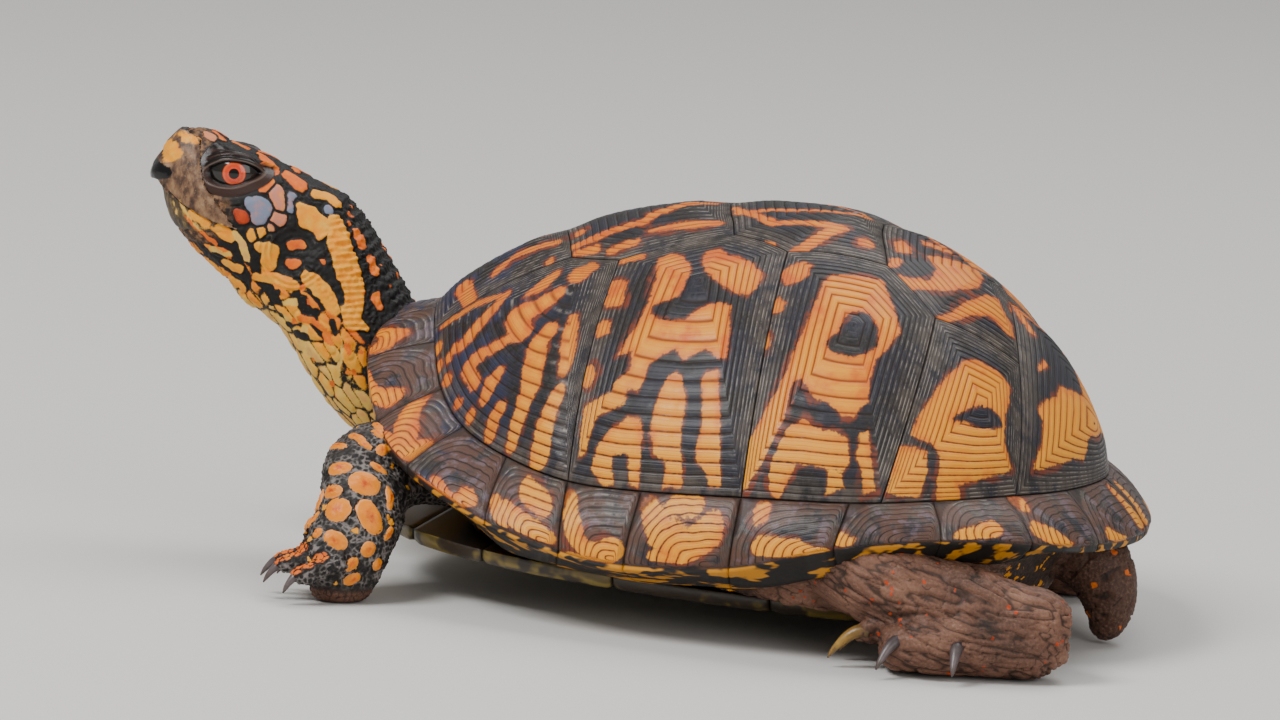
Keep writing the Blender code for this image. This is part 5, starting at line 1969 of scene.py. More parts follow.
def pebbles(points: Array, size: float | Sequence[float], seed: int) -> Cells:
    """Grains of a size scattered through space.

    Args:
        points: Places in millimetres.
        size: Grain size, or one size for each axis.
        seed: Picks the pattern.

    Returns:
        The cells at each point, distances in grain sizes.
    """
    scaled = points / np.asarray(size, float)
    base = np.floor(scaled)
    first = np.full(len(points), FAR)
    second = np.full(len(points), FAR)
    grain = np.zeros(len(points))
    for step in np.ndindex(3, 3, 3):
        cell = base + np.array(step) - 1
        jitter = np.column_stack([hashed(cell, seed + n) for n in range(3)])
        away = np.linalg.norm(scaled - (cell + 0.15 + 0.7 * jitter), axis=1)
        nearer = away < first
        second = np.where(nearer, first, np.minimum(second, away))
        grain = np.where(nearer, hashed(cell, seed + 5), grain)
        first = np.where(nearer, away, first)
    return Cells(first, second, grain)


@dataclass(frozen=True)
class Lids:
    """The eyelids: the opening's outline in side view (forward, up), and the lids' sizes."""

    opening: tuple[tuple[float, float], ...] = (
        (4.3, -1.7),
        (3.3, 0.0),
        (2.3, 1.0),
        (1.1, 1.7),
        (-0.3, 2.3),
        (-1.7, 2.6),
        (-3.1, 2.6),
        (-4.2, 2.2),
        (-3.9, 1.2),
        (-3.1, 0.1),
        (-2.1, -1.2),
        (-1.0, -2.2),
        (0.4, -3.0),
        (1.7, -3.5),
        (3.0, -3.7),
        (4.0, -3.1),
    )
    steps: int = 96
    thickness: float = 0.5
    lower: float = 1.55
    upper: float = 3.1

    @property
    def rear_corner(self) -> int:
        """Number of the outline's point at the eye's rear corner, the opening's eighth."""
        return round(7 * self.steps / len(self.opening))

    def edge(self, head: Head) -> Array:
        """The opening's outline in the eyeball's evened space."""
        rows = np.array([(f, 0.0, u - head.eye_drop) for f, u in self.opening])
        return resampled_curve(head.even(rows)[:, [0, 2]], self.steps)

    def above(self, outline: Array, side: Array) -> Array:
        """1 above the line from corner to corner of the eye, 0 below it."""
        front, rear = outline[0], outline[self.rear_corner]
        run = rear - front
        height = run[0] * (side[:, 1] - front[1]) - run[1] * (side[:, 0] - front[0])
        return smoothstep(-0.5, 0.5, -height / np.linalg.norm(run))


def resampled_curve(rows: Array, count: int) -> Array:
    """A closed smooth curve through the rows."""
    closed = np.vstack([rows[-2:], rows, rows[:2]])
    return catmull(closed, 2 + np.linspace(0, len(rows), count + 1)[:-1])


def eased(mesh: bpy.types.Mesh, points: Array, share: Array, rounds: int) -> Array:
    """Points smoothed towards their neighbours.

    Args:
        mesh: The mesh whose edges join them.
        points: Where they are.
        share: How far each goes towards its neighbours' middle in one round.
        rounds: How many times.

    Returns:
        The points moved.
    """
    edges = np.empty(len(mesh.edges) * 2, np.int32)
    mesh.edges.foreach_get("vertices", edges)
    a, b = edges.reshape(-1, 2).T
    degree = np.maximum(np.bincount(a, minlength=len(points)) + np.bincount(b, minlength=len(points)), 1)
    for _ in range(rounds):
        total = np.zeros_like(points)
        for axis in range(3):
            total[:, axis] += np.bincount(a, points[b, axis], len(points))
            total[:, axis] += np.bincount(b, points[a, axis], len(points))
        points = points + share[:, None] * (total / degree[:, None] - points)
    return points


def refined(mesh: bpy.types.Mesh, chosen: Array) -> None:
    """Splits the mesh's edges whose ends are both chosen, and the faces between them.

    Args:
        mesh: The mesh to split.
        chosen: Whether each of its points is chosen.
    """
    work = bmesh.new()
    work.from_mesh(mesh)
    work.verts.ensure_lookup_table()
    edges = [edge for edge in work.edges if chosen[edge.verts[0].index] and chosen[edge.verts[1].index]]
    bmesh.ops.subdivide_edges(work, edges=edges, cuts=1, use_grid_fill=True)
    work.to_mesh(mesh)
    work.free()


@dataclass
class Skin:
    """One skin over trunk, head, neck, legs and tail."""

    head: Head
    trunk: Trunk
    voxel: float = 0.5
    lids: Lids = Lids()

    def lofts(self) -> list[Mesh]:
        """The closed bodies that the skin is drawn round."""
        found = [self.trunk.loft(), self.head.loft(-0.15), NECK.loft(), TAIL.loft()]
        for limb, shift in LEGS.values():
            found += [limb.loft(), limb.mirrored(shift).loft()]
        return found + [self.toe(claw) for claw in claws()]

    def toe(self, claw: Claw) -> Mesh:
        """A stub of a toe behind and over a claw's root; the forefoot's reach further.

        Args:
            claw: The claw it carries.

        Returns:
            The toe's closed loft.
        """
        root = np.array(claw.root)
        run = unit(np.array(claw.tip) - root)
        reach, lift_back, lift_front = (4.3, 1.0, 2.0) if claw.fore else (2.7, 0.4, 0.5)
        back = root - run * 6.5 + UPWARDS * lift_back
        front = root + run * reach + UPWARDS * lift_front
        rows = tuple(
            (*(back + (front - back) * t), 2.35 - 0.75 * t, 2.2 - 0.7 * t) for t in (0.0, 0.35, 0.7, 1.0)
        )
        return Limb(rows, inset=0.1, rounded_end=0.3).loft(16, 24)

    def drawn(self, placement: Placement) -> bpy.types.Object:
        """One even mesh round all the bodies.

        Args:
            placement: Turns the standing frame into the row frame.

        Returns:
            The skin's object, without its scales yet.
        """
        points = []
        faces: dict[int, list[Array]] = {3: [], 4: []}
        count = 0
        for mesh in self.lofts():
            points.append(mesh.points)
            for part in mesh.faces:
                faces[part.shape[1]].append(part + count)
            count += len(mesh.points)
        joined = Mesh(np.vstack(points), [np.vstack(parts) for parts in faces.values()])
        obj = joined.to_object("skin", placement)
        remesh = obj.modifiers.new("One skin", "REMESH")
        remesh.mode = "VOXEL"
        remesh.voxel_size = self.voxel * MM * 1.0
        apply_modifiers(obj)
        return obj

    def eye_side(self, points: Array) -> tuple[Array, Array, Array, Array]:
        """Places near an eye, seen in its evened space.

        Args:
            points: Places in the standing frame.

        Returns:
            Direction from the eye's centre, distance, which side it is on, and place in side view.
        """
        own = self.head.from_standing(points)
        sign = np.where(own[:, 1] >= 0, 1.0, -1.0)
        centre = np.column_stack(
            [np.zeros(len(own)), sign * self.head.eye_offset, np.full(len(own), self.head.eye_drop)]
        )
        local = self.head.even(own - centre)
        radius = np.maximum(np.linalg.norm(local, axis=1), 1e-6)
        direction = local / radius[:, None]
        size = self.head.eye_radius
        far = size + 0.5 + np.maximum(0.0, radius - size - 0.9)
        return direction, radius, sign, direction[:, [0, 2]] * far[:, None]

    def shaped_lids(self, points: Array) -> tuple[Array, Array, Array, Array]:
        """Draws the lids over the eyeballs.

        Args:
            points: The skin's points.

        Returns:
            The moved points, the distance from the opening, how much of each point is lid, and the painted
            shade of its upper folds.
        """
        direction, radius, sign, side = self.eye_side(points)
        outward = direction[:, 1] * sign
        size = self.head.eye_radius
        near = (outward > -0.05) & (radius < 9.5)
        outline = self.lids.edge(self.head)
        away = np.full(len(points), 20.0)
        away[near] = outline_distance(outline, side[near])
        upper = np.zeros(len(points))
        upper[near] = self.lids.above(outline, side[near])
        run = unit(outline[0] - outline[self.lids.rear_corner])
        arch = np.sqrt(np.clip(1.0 - ((side @ run) / 4.8) ** 2, 0, 1))
        limit = self.lids.lower + (self.lids.upper - self.lids.lower) * upper * arch
        rim = bell(away, 0.3, 0.3)
        open_side = smoothstep(0.0, 0.45, outward)
        lid = size + 0.22 + (self.lids.thickness - 0.22) * open_side + 0.14 * rim
        lid += 0.26 * bell(away, 1.0, 0.5) * (1 - upper)
        fold = (
            np.cos(2 * np.pi * (away - 0.35) / 0.74) * smoothstep(0.4, 0.8, away)
            * smoothstep(limit + 0.2, limit - 0.5, away)
        )
        lid += 0.12 * fold * upper * open_side
        lid -= 1.6 * smoothstep(limit - 0.6, limit + 1.2, away)
        softness = 0.16
        blended = softness * np.logaddexp(radius / softness, np.minimum(lid, 12) / softness)
        fade = smoothstep(limit + 1.8, limit + 0.5, away) * smoothstep(-0.05, 0.25, outward)
        outside = radius + (blended - radius) * fade
        outside -= 0.2 * fade * np.exp(-(((away - limit - 0.1) / 0.22) ** 2))
        sunk = size - 0.9
        wall = smoothstep(-0.3, 0.02, away)
        target = np.where(away < 0.02, sunk + (size + self.lids.thickness - sunk) * wall, outside)
        target = np.where(near & (away < limit + 1.8), target, radius)
        target = target - self.head.brow_dip(direction, outward) * near
        own = self.head.from_standing(points)
        centre = own - self.head.even(direction * radius[:, None], back=True)
        moved = self.head.to_standing(centre + self.head.even(direction * target[:, None], back=True))
        band = np.where(near, smoothstep(limit + 0.25, limit - 0.15, away), 0.0)
        # Painted shade and highlight of the upper lid's folds; 1 elsewhere.
        shade = np.where(near & (upper > 0.5), 0.5 + 0.5 * fold, 1.0)
        return moved, away, band, shade

    def drape(self, points: Array) -> Array:
        """Lets the skin hang fuller at throat, nape and forearm than the muscles under it.

        Args:
            points: Places in the standing frame.

        Returns:
            The places moved.
        """
        own = self.head.from_standing(points)
        f, u = own[:, 0], own[:, 2]
        here = (
            smoothstep(14.0, 12.5, np.abs(own[:, 1])) * smoothstep(-57.0, -62.0, points[:, 0])
            * smoothstep(26.0, 30.0, points[:, 2])
        )
        throat = here * bell(f, -15.2, 4.3) * smoothstep(-8.0, -14.5, u)
        middle = -8.0 + 0.5 * np.clip(f + 20.0, -30.0, 0.0)
        nape = here * smoothstep(-15.0, -22.0, f) * smoothstep(1.0, 9.5, u - middle)
        crown = here * bell(f, 7.0, 2.5) * smoothstep(0.0, 2.0, u)
        moved = (
            own + throat[:, None] * np.array([0.99, 0.0, -2.4]) + nape[:, None] * np.array([-0.85, 0.0, 2.14])
        )
        moved = self.head.to_standing(moved + crown[:, None] * np.array([0.0, 0.0, 0.55]))
        z = points[:, 2]
        line = FORELEG.rows(40)
        right = np.where(points[:, 1] > 0, RIGHT_FORE_SHIFT, 0.0)
        axis = np.interp(z, line[::-1, 2], line[::-1, 0]) + right
        front = (
            smoothstep(24.0, 31.0, np.abs(points[:, 1])) * smoothstep(1.5, -2.5, points[:, 0] - axis)
            * (points[:, 0] < -42.0)
        )
        moved[:, 0] += front * np.interp(
            z, (4.0, 9.0, 12.0, 16.5, 19.0, 22.0, 30.0, 38.0), (0.0, 0.3, 0.6, 0.1, -1.1, -2.4, -2.4, 0.0)
        )
        moved[:, 2] += front * np.interp(z, (15.0, 20.0, 28.0, 38.0), (0.0, 1.5, 1.9, 0.0))
        foot = (np.abs(points[:, 1]) > 31.0) & (points[:, 0] < -40.0)
        past = points[:, 0] + 58.0 - right
        heel = np.interp(z, (0.0, 4.0, 8.0, 13.0), (0.2, 0.18, 0.1, 0.0))
        palm = np.interp(z, (0.0, 3.0, 4.6, 6.0), (0.3, 0.24, 0.08, 0.0))
        moved[:, 0] -= foot * past * np.where(past > 0, heel, palm)
        return moved

    def weights(self, points: Array) -> dict[str, Array]:
        """How far each point belongs to each part of the body.

        Args:
            points: Places in the standing frame.

        Returns:
            A share from 0 to 1 by part, and the way along each limb under its name and "_along".
        """
        found = {}
        limbs = {"neck": NECK, "tail": TAIL}
        for name, (limb, shift) in LEGS.items():
            limbs[f"{name}_left"] = limb
            limbs[f"{name}_right"] = limb.mirrored(shift)
        for name, limb in limbs.items():
            rows = limb.rows(24)
            best = np.full(len(points), FAR)
            along = np.zeros(len(points))
            for number, row in enumerate(rows):
                ratio = np.linalg.norm(points - row[:3], axis=1) / float(max(row[3], row[4]))
                nearer = ratio < best
                best = np.where(nearer, ratio, best)
                along = np.where(nearer, number / (len(rows) - 1), along)
            found[name] = smoothstep(1.55, 1.1, best)
            found[name + "_along"] = along
        own = self.head.from_standing(points)
        found["head"] = smoothstep(-20.5, -17.5, own[:, 0]) * smoothstep(14.0, 12.0, np.abs(own[:, 1]))
        found["head"] *= smoothstep(-20.0, -18.5, own[:, 2]) * (own[:, 0] > -22)
        return found

    def throat(self, places: Array) -> tuple[Array, Array]:
        """The throat's pale pattern.

        Args:
            places: Points in the shared side layout.

        Returns:
            A signed distance to its pale folds, and their tint.
        """
        f, u = places[:, 0], places[:, 2]
        knots = np.array(
            [
                (-44, -13.0), (-36, -12.5), (-28, -11.5), (-21, -8.8), (-19, -9.6), (-14, -11.2), (-9, -11.2),
                (-5, -12.0), (-2.5, -13.0), (4, -17.0),
            ]
        )
        below = np.interp(f, knots[:, 0], knots[:, 1]) - u
        along, across = -0.9 * f - 0.43 * u, -0.43 * f + 0.9 * u
        drift = 0.8 * noise(places, 3.5, 67, 2)
        cells = pebbles(
            np.column_stack([along + drift, across + 0.6 * drift, places[:, 1]]), (4.6, 1.7, 3.0), 64
        )
        inside = np.maximum(0.35 - below, (0.1 - cells.gap) * 1.4)
        black = (cells.grain > 0.8) & (below < 6.5)
        mark = np.where(black, np.maximum(inside, 0.3), inside)
        tint = (
            0.36 + 0.12 * smoothstep(0.0, 5.0, below) + 0.16 * smoothstep(6.0, 8.5, below)
            + 0.14 * (cells.grain / 0.8 - 0.5)
        )
        return mark, np.clip(tint, 0.3, 0.68)

    def relief(self, points: Array, away: Array, paint: Painted) -> tuple[Array, dict[str, Array]]:
        """Heights of scales, beads, folds and wrinkles, with the marks they carry.

        Args:
            points: Places in the standing frame.
            away: Distance to the lids' edge.
            paint: The painted markings there.

        Returns:
            How far each point rises, in millimetres, and the marks by name.
        """
        w = self.weights(points)
        own = self.head.from_standing(points)
        places = side_places(self.head, points)
        front = np.maximum(w["head"], w["neck"])
        fore = np.maximum(w["fore_left"], w["fore_right"]) * (1 - front)
        hind = np.max([w[k] for k in ("thigh_left", "thigh_right", "foot_left", "foot_right")], axis=0)
        tail = w["tail"] * (points[:, 0] > 50)
        hind = hind * (1 - tail)
        clear = smoothstep(2.0, 3.2, away)
        bead = pebbles(points, 1.25, 11)
        scale = pebbles(points, 3.1, 13)
        fine = pebbles(points, 0.75, 17)
        neck_only = w["neck"] * (1 - w["head"])
        pale, pale_tint = self.throat(places)
        on_throat = front * smoothstep(1.0, 0.0, pale)
        height = neck_only * (1 - on_throat) * (0.22 * smoothstep(0.0, 0.45, bead.gap) - 0.1)
        height += on_throat * (0.34 * smoothstep(0.35, -0.6, pale) - 0.12)
        nape = np.sin(2 * np.pi * (own[:, 0] + 0.6 * own[:, 2]) / 2.3 + 2.5 * noise(points, 6.0, 29, 2))
        height += 0.14 * neck_only * nape * smoothstep(-8.0, -3.0, own[:, 2])
        on_plate = smoothstep(0.5, -0.1, paint.mark)
        head_gap = smoothstep(0.0, 0.22, scale.gap)
        height += (
            w["head"] * clear * (1 - on_plate)
            * (0.16 * head_gap - 0.12 + 0.07 * smoothstep(0, 0.4, fine.gap))
        )
        stripe_run = own[:, 0] * 0.55 + own[:, 2] * 0.83
        on_stripe = on_plate * smoothstep(-18.5, -20.0, own[:, 0]) * (paint.raised > 0.28)
        height += 0.2 * on_stripe * np.sin(2 * np.pi * stripe_run / 1.08 + 0.8 * noise(points, 1.5, 31, 1))
        height += front * clear * paint.raised * smoothstep(0.35, -0.35, paint.mark)
        height -= front * clear * (paint.raised > 0.05) * 0.16 * bell(paint.mark, 0.4, 0.22)
        beads = front * smoothstep(0.3, -0.4, tapered_distance(BEADED, places)) * (1 - on_plate)
        height += beads * (0.42 * smoothstep(0.0, 0.5, fine.gap) - 0.05)
        ear = np.linalg.norm((places - np.array([-16.0, 10.0, -6.4])) * np.array([1.0, 0.6, 1.0]), axis=1)
        height -= w["head"] * 0.3 * smoothstep(4.4, 3.4, ear)
        ripple = smoothstep(3.6, 4.3, ear) * smoothstep(7.4, 5.6, ear) * smoothstep(-4.0, -8.0, own[:, 2])
        height += 0.18 * front * ripple * np.cos(2 * np.pi * (ear - 4.2) / 0.95)
        height += (
            fore * (0.18 * smoothstep(0.0, 0.5, fine.gap) + 0.12 * smoothstep(0.0, 0.4, bead.gap) - 0.14)
        )
        crease = np.sin(2 * np.pi * points[:, 2] / 3.0 + 3.0 * noise(points, 6.0, 37, 2))
        height += 0.08 * fore * crease
        bent = points + 1.6 * noise(points, 11.0, 53, 1)[:, None]
        bent = np.column_stack([bent[:, 0] * 0.22, bent[:, 1] * 0.55, bent[:, 2] + 0.28 * bent[:, 0]])
        long_fold = np.abs(noise(bent, 1.5, 59, 2))
        short_fold = np.abs(noise(bent * np.array([2.6, 1.6, 1.5]), 1.3, 71, 1))
        height += (
            hind * (0.42 * smoothstep(0.0, 0.3, long_fold) + 0.2 * smoothstep(0.0, 0.3, short_fold) - 0.36)
        )
        turns = w["tail_along"] * 34.0 + 0.5 * noise(points, 3.0, 73, 1)
        ring = np.abs(np.sin(np.pi * turns / 0.9))
        height += tail * (0.3 * smoothstep(0.0, 0.5, ring) + 0.14 * smoothstep(0, 0.4, fine.gap) - 0.22)
        rest = np.clip(1 - front - fore - hind - tail, 0, 1)
        sag = np.sin(2 * np.pi * points[:, 0] / 3.4 + 4.0 * noise(points, 8.0, 43, 2))
        height += rest * (0.2 * smoothstep(0, 0.4, bead.gap) - 0.1 + 0.15 * sag)
        height += 0.04 * noise(points, 0.9, 47, 2) * clear
        height *= (
            smoothstep(0.0, 1.2, points[:, 2]) * (1 - smoothstep(1.2, 0.2, away) * 0.9)
            * smoothstep(0.2, 1.2, away)
        )
        under_beak = np.full(len(points), FAR)
        for zone in self.head.zones().values():
            inside = outline_distance(zone, own[:, [0, 2]])
            under_beak = np.minimum(under_beak, inside)
        beside = (
            smoothstep(2.6, 0.2, under_beak + 0.9 * noise(points, 1.4, 97, 2)) * w["head"]
            * smoothstep(-4.5, -1.5, own[:, 0])
        )
        under = smoothstep(-0.2, -1.1, under_beak) * w["head"]
        height = height * (1 - under) - 0.4 * under
        spot = np.full(len(points), FAR)
        hue = np.full(len(points), Tint.ORANGE.value)
        for part, cells, chance, size, tint in (
            (fore, bead, 0.025, 1.25, Tint.YELLOW),
            (hind, fine, 0.018, 0.9, Tint.RED),
            (tail, bead, 0.05, 1.0, Tint.ORANGE),
            (rest, bead, 0.12, 1.25, Tint.YELLOW),
            (neck_only, bead, 0.07, 1.25, Tint.ORANGE),
        ):
            grain = np.where((cells.grain < chance) & (part > 0.5), (0.12 - cells.gap) * size * 0.7, FAR)
            hue = np.where(grain < spot, tint.value, hue)
            spot = np.minimum(spot, grain)
        for claw in claws():
            if not claw.fore:
                continue
            root, run = np.array(claw.root), unit(np.array(claw.tip) - np.array(claw.root))
            top = [
                (*(root + run * reach + np.array([0.0, 0.0, 3.3 + 0.09 * reach])), 1.3)
                for reach in (-1.8, 0.6, 2.4, 4.0)
            ]
            toe = tapered_distance(top, points) + 0.3 * noise(points, 1.2, 103, 1)
            toe = np.maximum(toe, 0.16 - 1.2 * bead.gap)
            hue = np.where(toe < spot, Tint.ORANGE.value, hue)
            spot = np.minimum(spot, toe)
        throat_mark = np.where(front > 0.4, pale, FAR)
        for dark in DARK_MARKS:
            throat_mark = np.maximum(throat_mark, -tapered_distance(dark, places))
        hue = np.where(throat_mark < spot, pale_tint, hue)
        spot = np.minimum(spot, throat_mark)
        own_mark = np.where(front > 0.3, paint.mark, FAR)
        hue = np.where(own_mark <= np.minimum(spot, 0.45), paint.hue, hue)
        mark = np.where(own_mark < 0.9, np.where(own_mark < 0.45, own_mark, np.maximum(spot, 0.4)), spot)
        mark = np.where(on_throat > 0.3, np.minimum(own_mark, spot), mark)
        mark = np.where(beads > 0.5, 9.0, mark)
        sole = fore * smoothstep(3.6, 1.6, points[:, 2])
        ground = (
            0.06 * front + 0.17 * fore + 0.4 * sole + 0.62 * hind + 0.5 * tail + 0.4 * rest
            + 0.22 * hind * noise(points, 5.0, 79, 2)
        )
        # The crevice mark: 0 in the gaps between beads, scales, folds and tail rings; the skin's finish
        # paints shade there and highlights on the tops.
        crevice = np.clip(bead.gap / 0.5, 0, 1)
        crevice = np.where(hind > 0.5, np.clip(np.minimum(long_fold, short_fold * 1.6) / 0.34, 0, 1), crevice)
        crevice = np.where(tail > 0.5, np.clip(ring / 0.6, 0, 1), crevice)
        crevice = np.where(w["head"] > 0.5, np.clip(np.minimum(scale.gap * 2, 1), 0, 1), crevice)
        crevice = np.where(mark < 0, np.maximum(crevice, 0.45), crevice)
        net = pebbles(points, 1.0, 19)
        dust = fore * smoothstep(0.24, 0.06, net.gap) * smoothstep(2.0, 4.5, points[:, 2])
        ground = np.clip(ground, 0, 1)
        return height, {
            "mark": mark, "hue": hue, "ground": ground, "crevice": crevice, "dust": dust, "beside": beside
        }

    def shown(self, points: Array) -> Array:
        """The head, neck, tail and lower legs, whose scales need a finer mesh."""
        w = self.weights(points)
        legs = np.max([w[k] for k in ("fore_left", "fore_right", "foot_left", "thigh_left", "tail")], axis=0)
        head = (points[:, 0] < -57) & (points[:, 2] > 24)
        return head | (legs > 0.3) & (np.abs(points[:, 1]) > 24) | (w["tail"] > 0.3) & (points[:, 0] > 56)

    def near_eye(self, points: Array, reach: float, beside_edge: float) -> Array:
        """Points within reach of an eye and beside its lids' edge, both in millimetres."""
        direction, radius, sign, side = self.eye_side(points)
        close = np.abs(outline_distance(self.lids.edge(self.head), side)) < beside_edge
        return close & (radius < reach) & (direction[:, 1] * sign > 0.1)

    def build(self, placement: Placement) -> bpy.types.Object:
        """Draws the skin, eases its joins, and raises its scales, folds and lids.

        Args:
            placement: Turns the standing frame into the row frame.

        Returns:
            The skin's object with its marks.
        """
        obj = self.drawn(placement)
        mesh = obj.data
        points = placement.read(mesh)
        points = eased(mesh, points, np.full(len(points), 0.5), 3)
        joint = smoothstep(-66.0, -72.0, points[:, 0]) * smoothstep(-92.0, -84.0, points[:, 0])
        joint *= points[:, 2] > 30
        points = self.drape(eased(mesh, points, 0.5 * joint, 30))
        placement.write(mesh, points)
        refined(mesh, self.shown(points))
        refined(mesh, self.near_eye(placement.read(mesh), 8.2, math.inf))
        refined(mesh, self.near_eye(placement.read(mesh), 7.0, 0.9))
        points = placement.read(mesh)
        points = eased(mesh, points, np.full(len(points), 0.4), 2)
        points, away, band, shade = self.shaped_lids(points)
        placement.write(mesh, points)
        paint = painted(side_places(self.head, points), PAINT_SEED)
        height, marks = self.relief(points, away, paint)
        points = points + read_normals(mesh) * height[:, None]
        points[:, 2] = np.maximum(points[:, 2], 0.1)
        placement.write(mesh, points)
        # On the lids the crevice mark carries the painted shade and highlight of their folds.
        marks["crevice"] = marks["crevice"] * (1 - band) + shade * band
        add_marks(mesh, {**marks, "lid": band, "lid_edge": np.clip(away, -3, 6)})
        mesh.polygons.foreach_set("use_smooth", np.ones(len(mesh.polygons), bool))
        return obj


@dataclass(frozen=True)
class LegScale:
    """One large scale of a foreleg: station along it, angle round it, half sizes and tilt."""

    station: float
    angle: float
    half_round: float
    half_along: float
    tilt: float = 0.0


FORE_SCALES = (
    LegScale(3.80, -123, 2.0, 1.2),
    LegScale(3.54, -84, 2.7, 2.1),
    LegScale(4.20, -117, 2.3, 2.1),
    LegScale(4.12, -76, 1.9, 3.2, -55),
    LegScale(4.78, -113, 2.1, 1.5),
    LegScale(3.34, -125, 2.1, 1.3, -15),
    LegScale(3.06, -171, 2.4, 0.9, 8),
    LegScale(2.78, -174, 2.0, 0.75, 5),
    LegScale(2.52, -180, 1.7, 0.7, 5),
    LegScale(2.85, -158, 1.5, 0.65, 8),
    LegScale(2.75, -140, 1.0, 1.2),
    LegScale(3.12, -99, 1.7, 0.75),
    LegScale(2.60, -168, 1.3, 0.7),
    LegScale(2.50, -128, 1.5, 0.8),
    LegScale(3.95, -152, 0.6, 1.9, 10),
    LegScale(4.45, -150, 0.6, 1.7, 15),
    LegScale(4.95, -146, 0.8, 1.0),
    LegScale(4.15, -44, 0.7, 1.4),
    LegScale(3.60, -46, 0.8, 2.2, -15),
    LegScale(4.62, -68, 1.2, 1.4),
    LegScale(4.91, -86, 0.9, 1.5),
    LegScale(5.00, -74, 0.9, 1.6, 10),
    LegScale(4.66, -46, 1.0, 1.1),
    LegScale(3.90, -175, 1.2, 1.6),
    LegScale(4.40, -172, 1.1, 1.4),
    LegScale(3.40, -174, 1.1, 1.5),
)


@dataclass
class ScaleCoat:
    """Large raised scales of one foreleg, laid on the finished skin."""

    side: Side
    tree: Any
    placement: Placement
    rise: float = 0.42
    tuck: float = 0.35
    rows: int = 9
    around: int = 32
    spread: float = 1.14

    def disc(self) -> Array:
        """A round patch's places (across, along), from its edge in."""
        radii = np.sin(np.linspace(1.0, 0.12, self.rows) * math.pi / 2)
        turns = circle(self.around)
        return (radii[:, None, None] * np.stack([np.cos(turns), np.sin(turns)], axis=-1)[None]).reshape(-1, 2)

    def nearest(self, place: Array) -> tuple[Array, Array]:
        """The skin's nearest place to a standing place, and its outward direction."""
        spot, normal, *_ = self.tree.find_nearest(Vector(self.placement.to_row(place)))
        return self.placement.to_standing(np.array(spot)), np.array(normal)

    def mesh(self) -> Mesh:
        """All the scales joined.

        Returns:
            One mesh with a small bake patch for each scale.
        """
        rows_of = FORELEG.rows(121)
        centres = rows_of[:, :3]
        tangents, across, other = line_frames(centres, FORELEG.reference)
        left = self.side is Side.LEFT
        flip = np.array([1.0, 1.0 if left else -1.0, 1.0])
        moved = np.array([0.0 if left else RIGHT_FORE_SHIFT, 0.0, 0.0])
        disc = self.disc()
        share = np.linalg.norm(disc, axis=1)
        lift = -self.tuck + (self.tuck + self.rise) * np.sqrt(np.clip(1 - share**2.6, 0, 1))
        lift += 0.03 * np.cos(share * 14.0) * (share < 0.9)
        drawn = np.sign(disc) * np.abs(disc) ** 0.92 * self.spread
        count = len(disc) + 2
        points, quads, ends, flat = [], [], [], []
        for number, scale in enumerate(FORE_SCALES):
            k = int(round(scale.station / (len(FORELEG.stations) - 1) * (len(rows_of) - 1)))
            angle = math.radians(scale.angle)
            out = across[k] * math.cos(angle) * rows_of[k, 3] + other[k] * math.sin(angle) * rows_of[k, 4]
            out = out * flip
            run = tangents[k] * flip
            centre, facing = self.nearest(centres[k] * flip + moved + out)
            normal = unit(0.6 * facing + 0.4 * unit(out))
            along = unit(run - normal * float(run @ normal))
            sideways = np.cross(normal, along) * flip[1]
            tilt = math.radians(scale.tilt)
            a = sideways * math.cos(tilt) + along * math.sin(tilt)
            b = along * math.cos(tilt) - sideways * math.sin(tilt)
            places = (
                centre + np.outer(drawn[:, 0] * scale.half_round, a)
                + np.outer(drawn[:, 1] * scale.half_along, b)
            )
            laid = np.array([self.nearest(place)[0] for place in places])
            base = 0.5 * laid + 0.5 * (places + np.outer(np.sum((laid - places) * normal, axis=1), normal))
            top = base + np.outer(lift, normal)
            crown = top[-self.around :].mean(axis=0) + normal * 0.02
            root = top[: self.around].mean(axis=0) - normal * 0.3
            points += [top, crown[None], root[None]]
            start = number * count
            quads.append(ring_grid(self.rows, self.around) + start)
            ends.append(fan(start + len(top), start + len(top) - self.around, self.around))
            ends.append(fan(start + len(top) + 1, start, self.around, inwards=True))
            spot = np.array([scale.station / 6.0, (scale.angle % 360) / 360.0]) * 0.9 + 0.05
            flat.append(spot + np.vstack([disc, [[0.0, 0.0], [1.0, 1.0]]]) * 0.0015)
        marks = {"from_middle": np.tile(np.concatenate([share, [0.0, 1.0]]), len(FORE_SCALES))}
        return Mesh(np.vstack(points), [np.vstack(quads), np.vstack(ends)], marks, np.vstack(flat)).outward()


# ----------------------------------------------------------------------------------------------------------
# Finishes


def linear(sheet: str) -> tuple[float, float, float, float]:
    """A linear colour from an sRGB hex number such as "#A0B1C2"."""
    parts = [int(sheet[i : i + 2], 16) / 255 for i in (1, 3, 5)]
    turned = [part / 12.92 if part <= 0.04045 else ((part + 0.055) / 1.055) ** 2.4 for part in parts]
    return (*turned, 1.0)


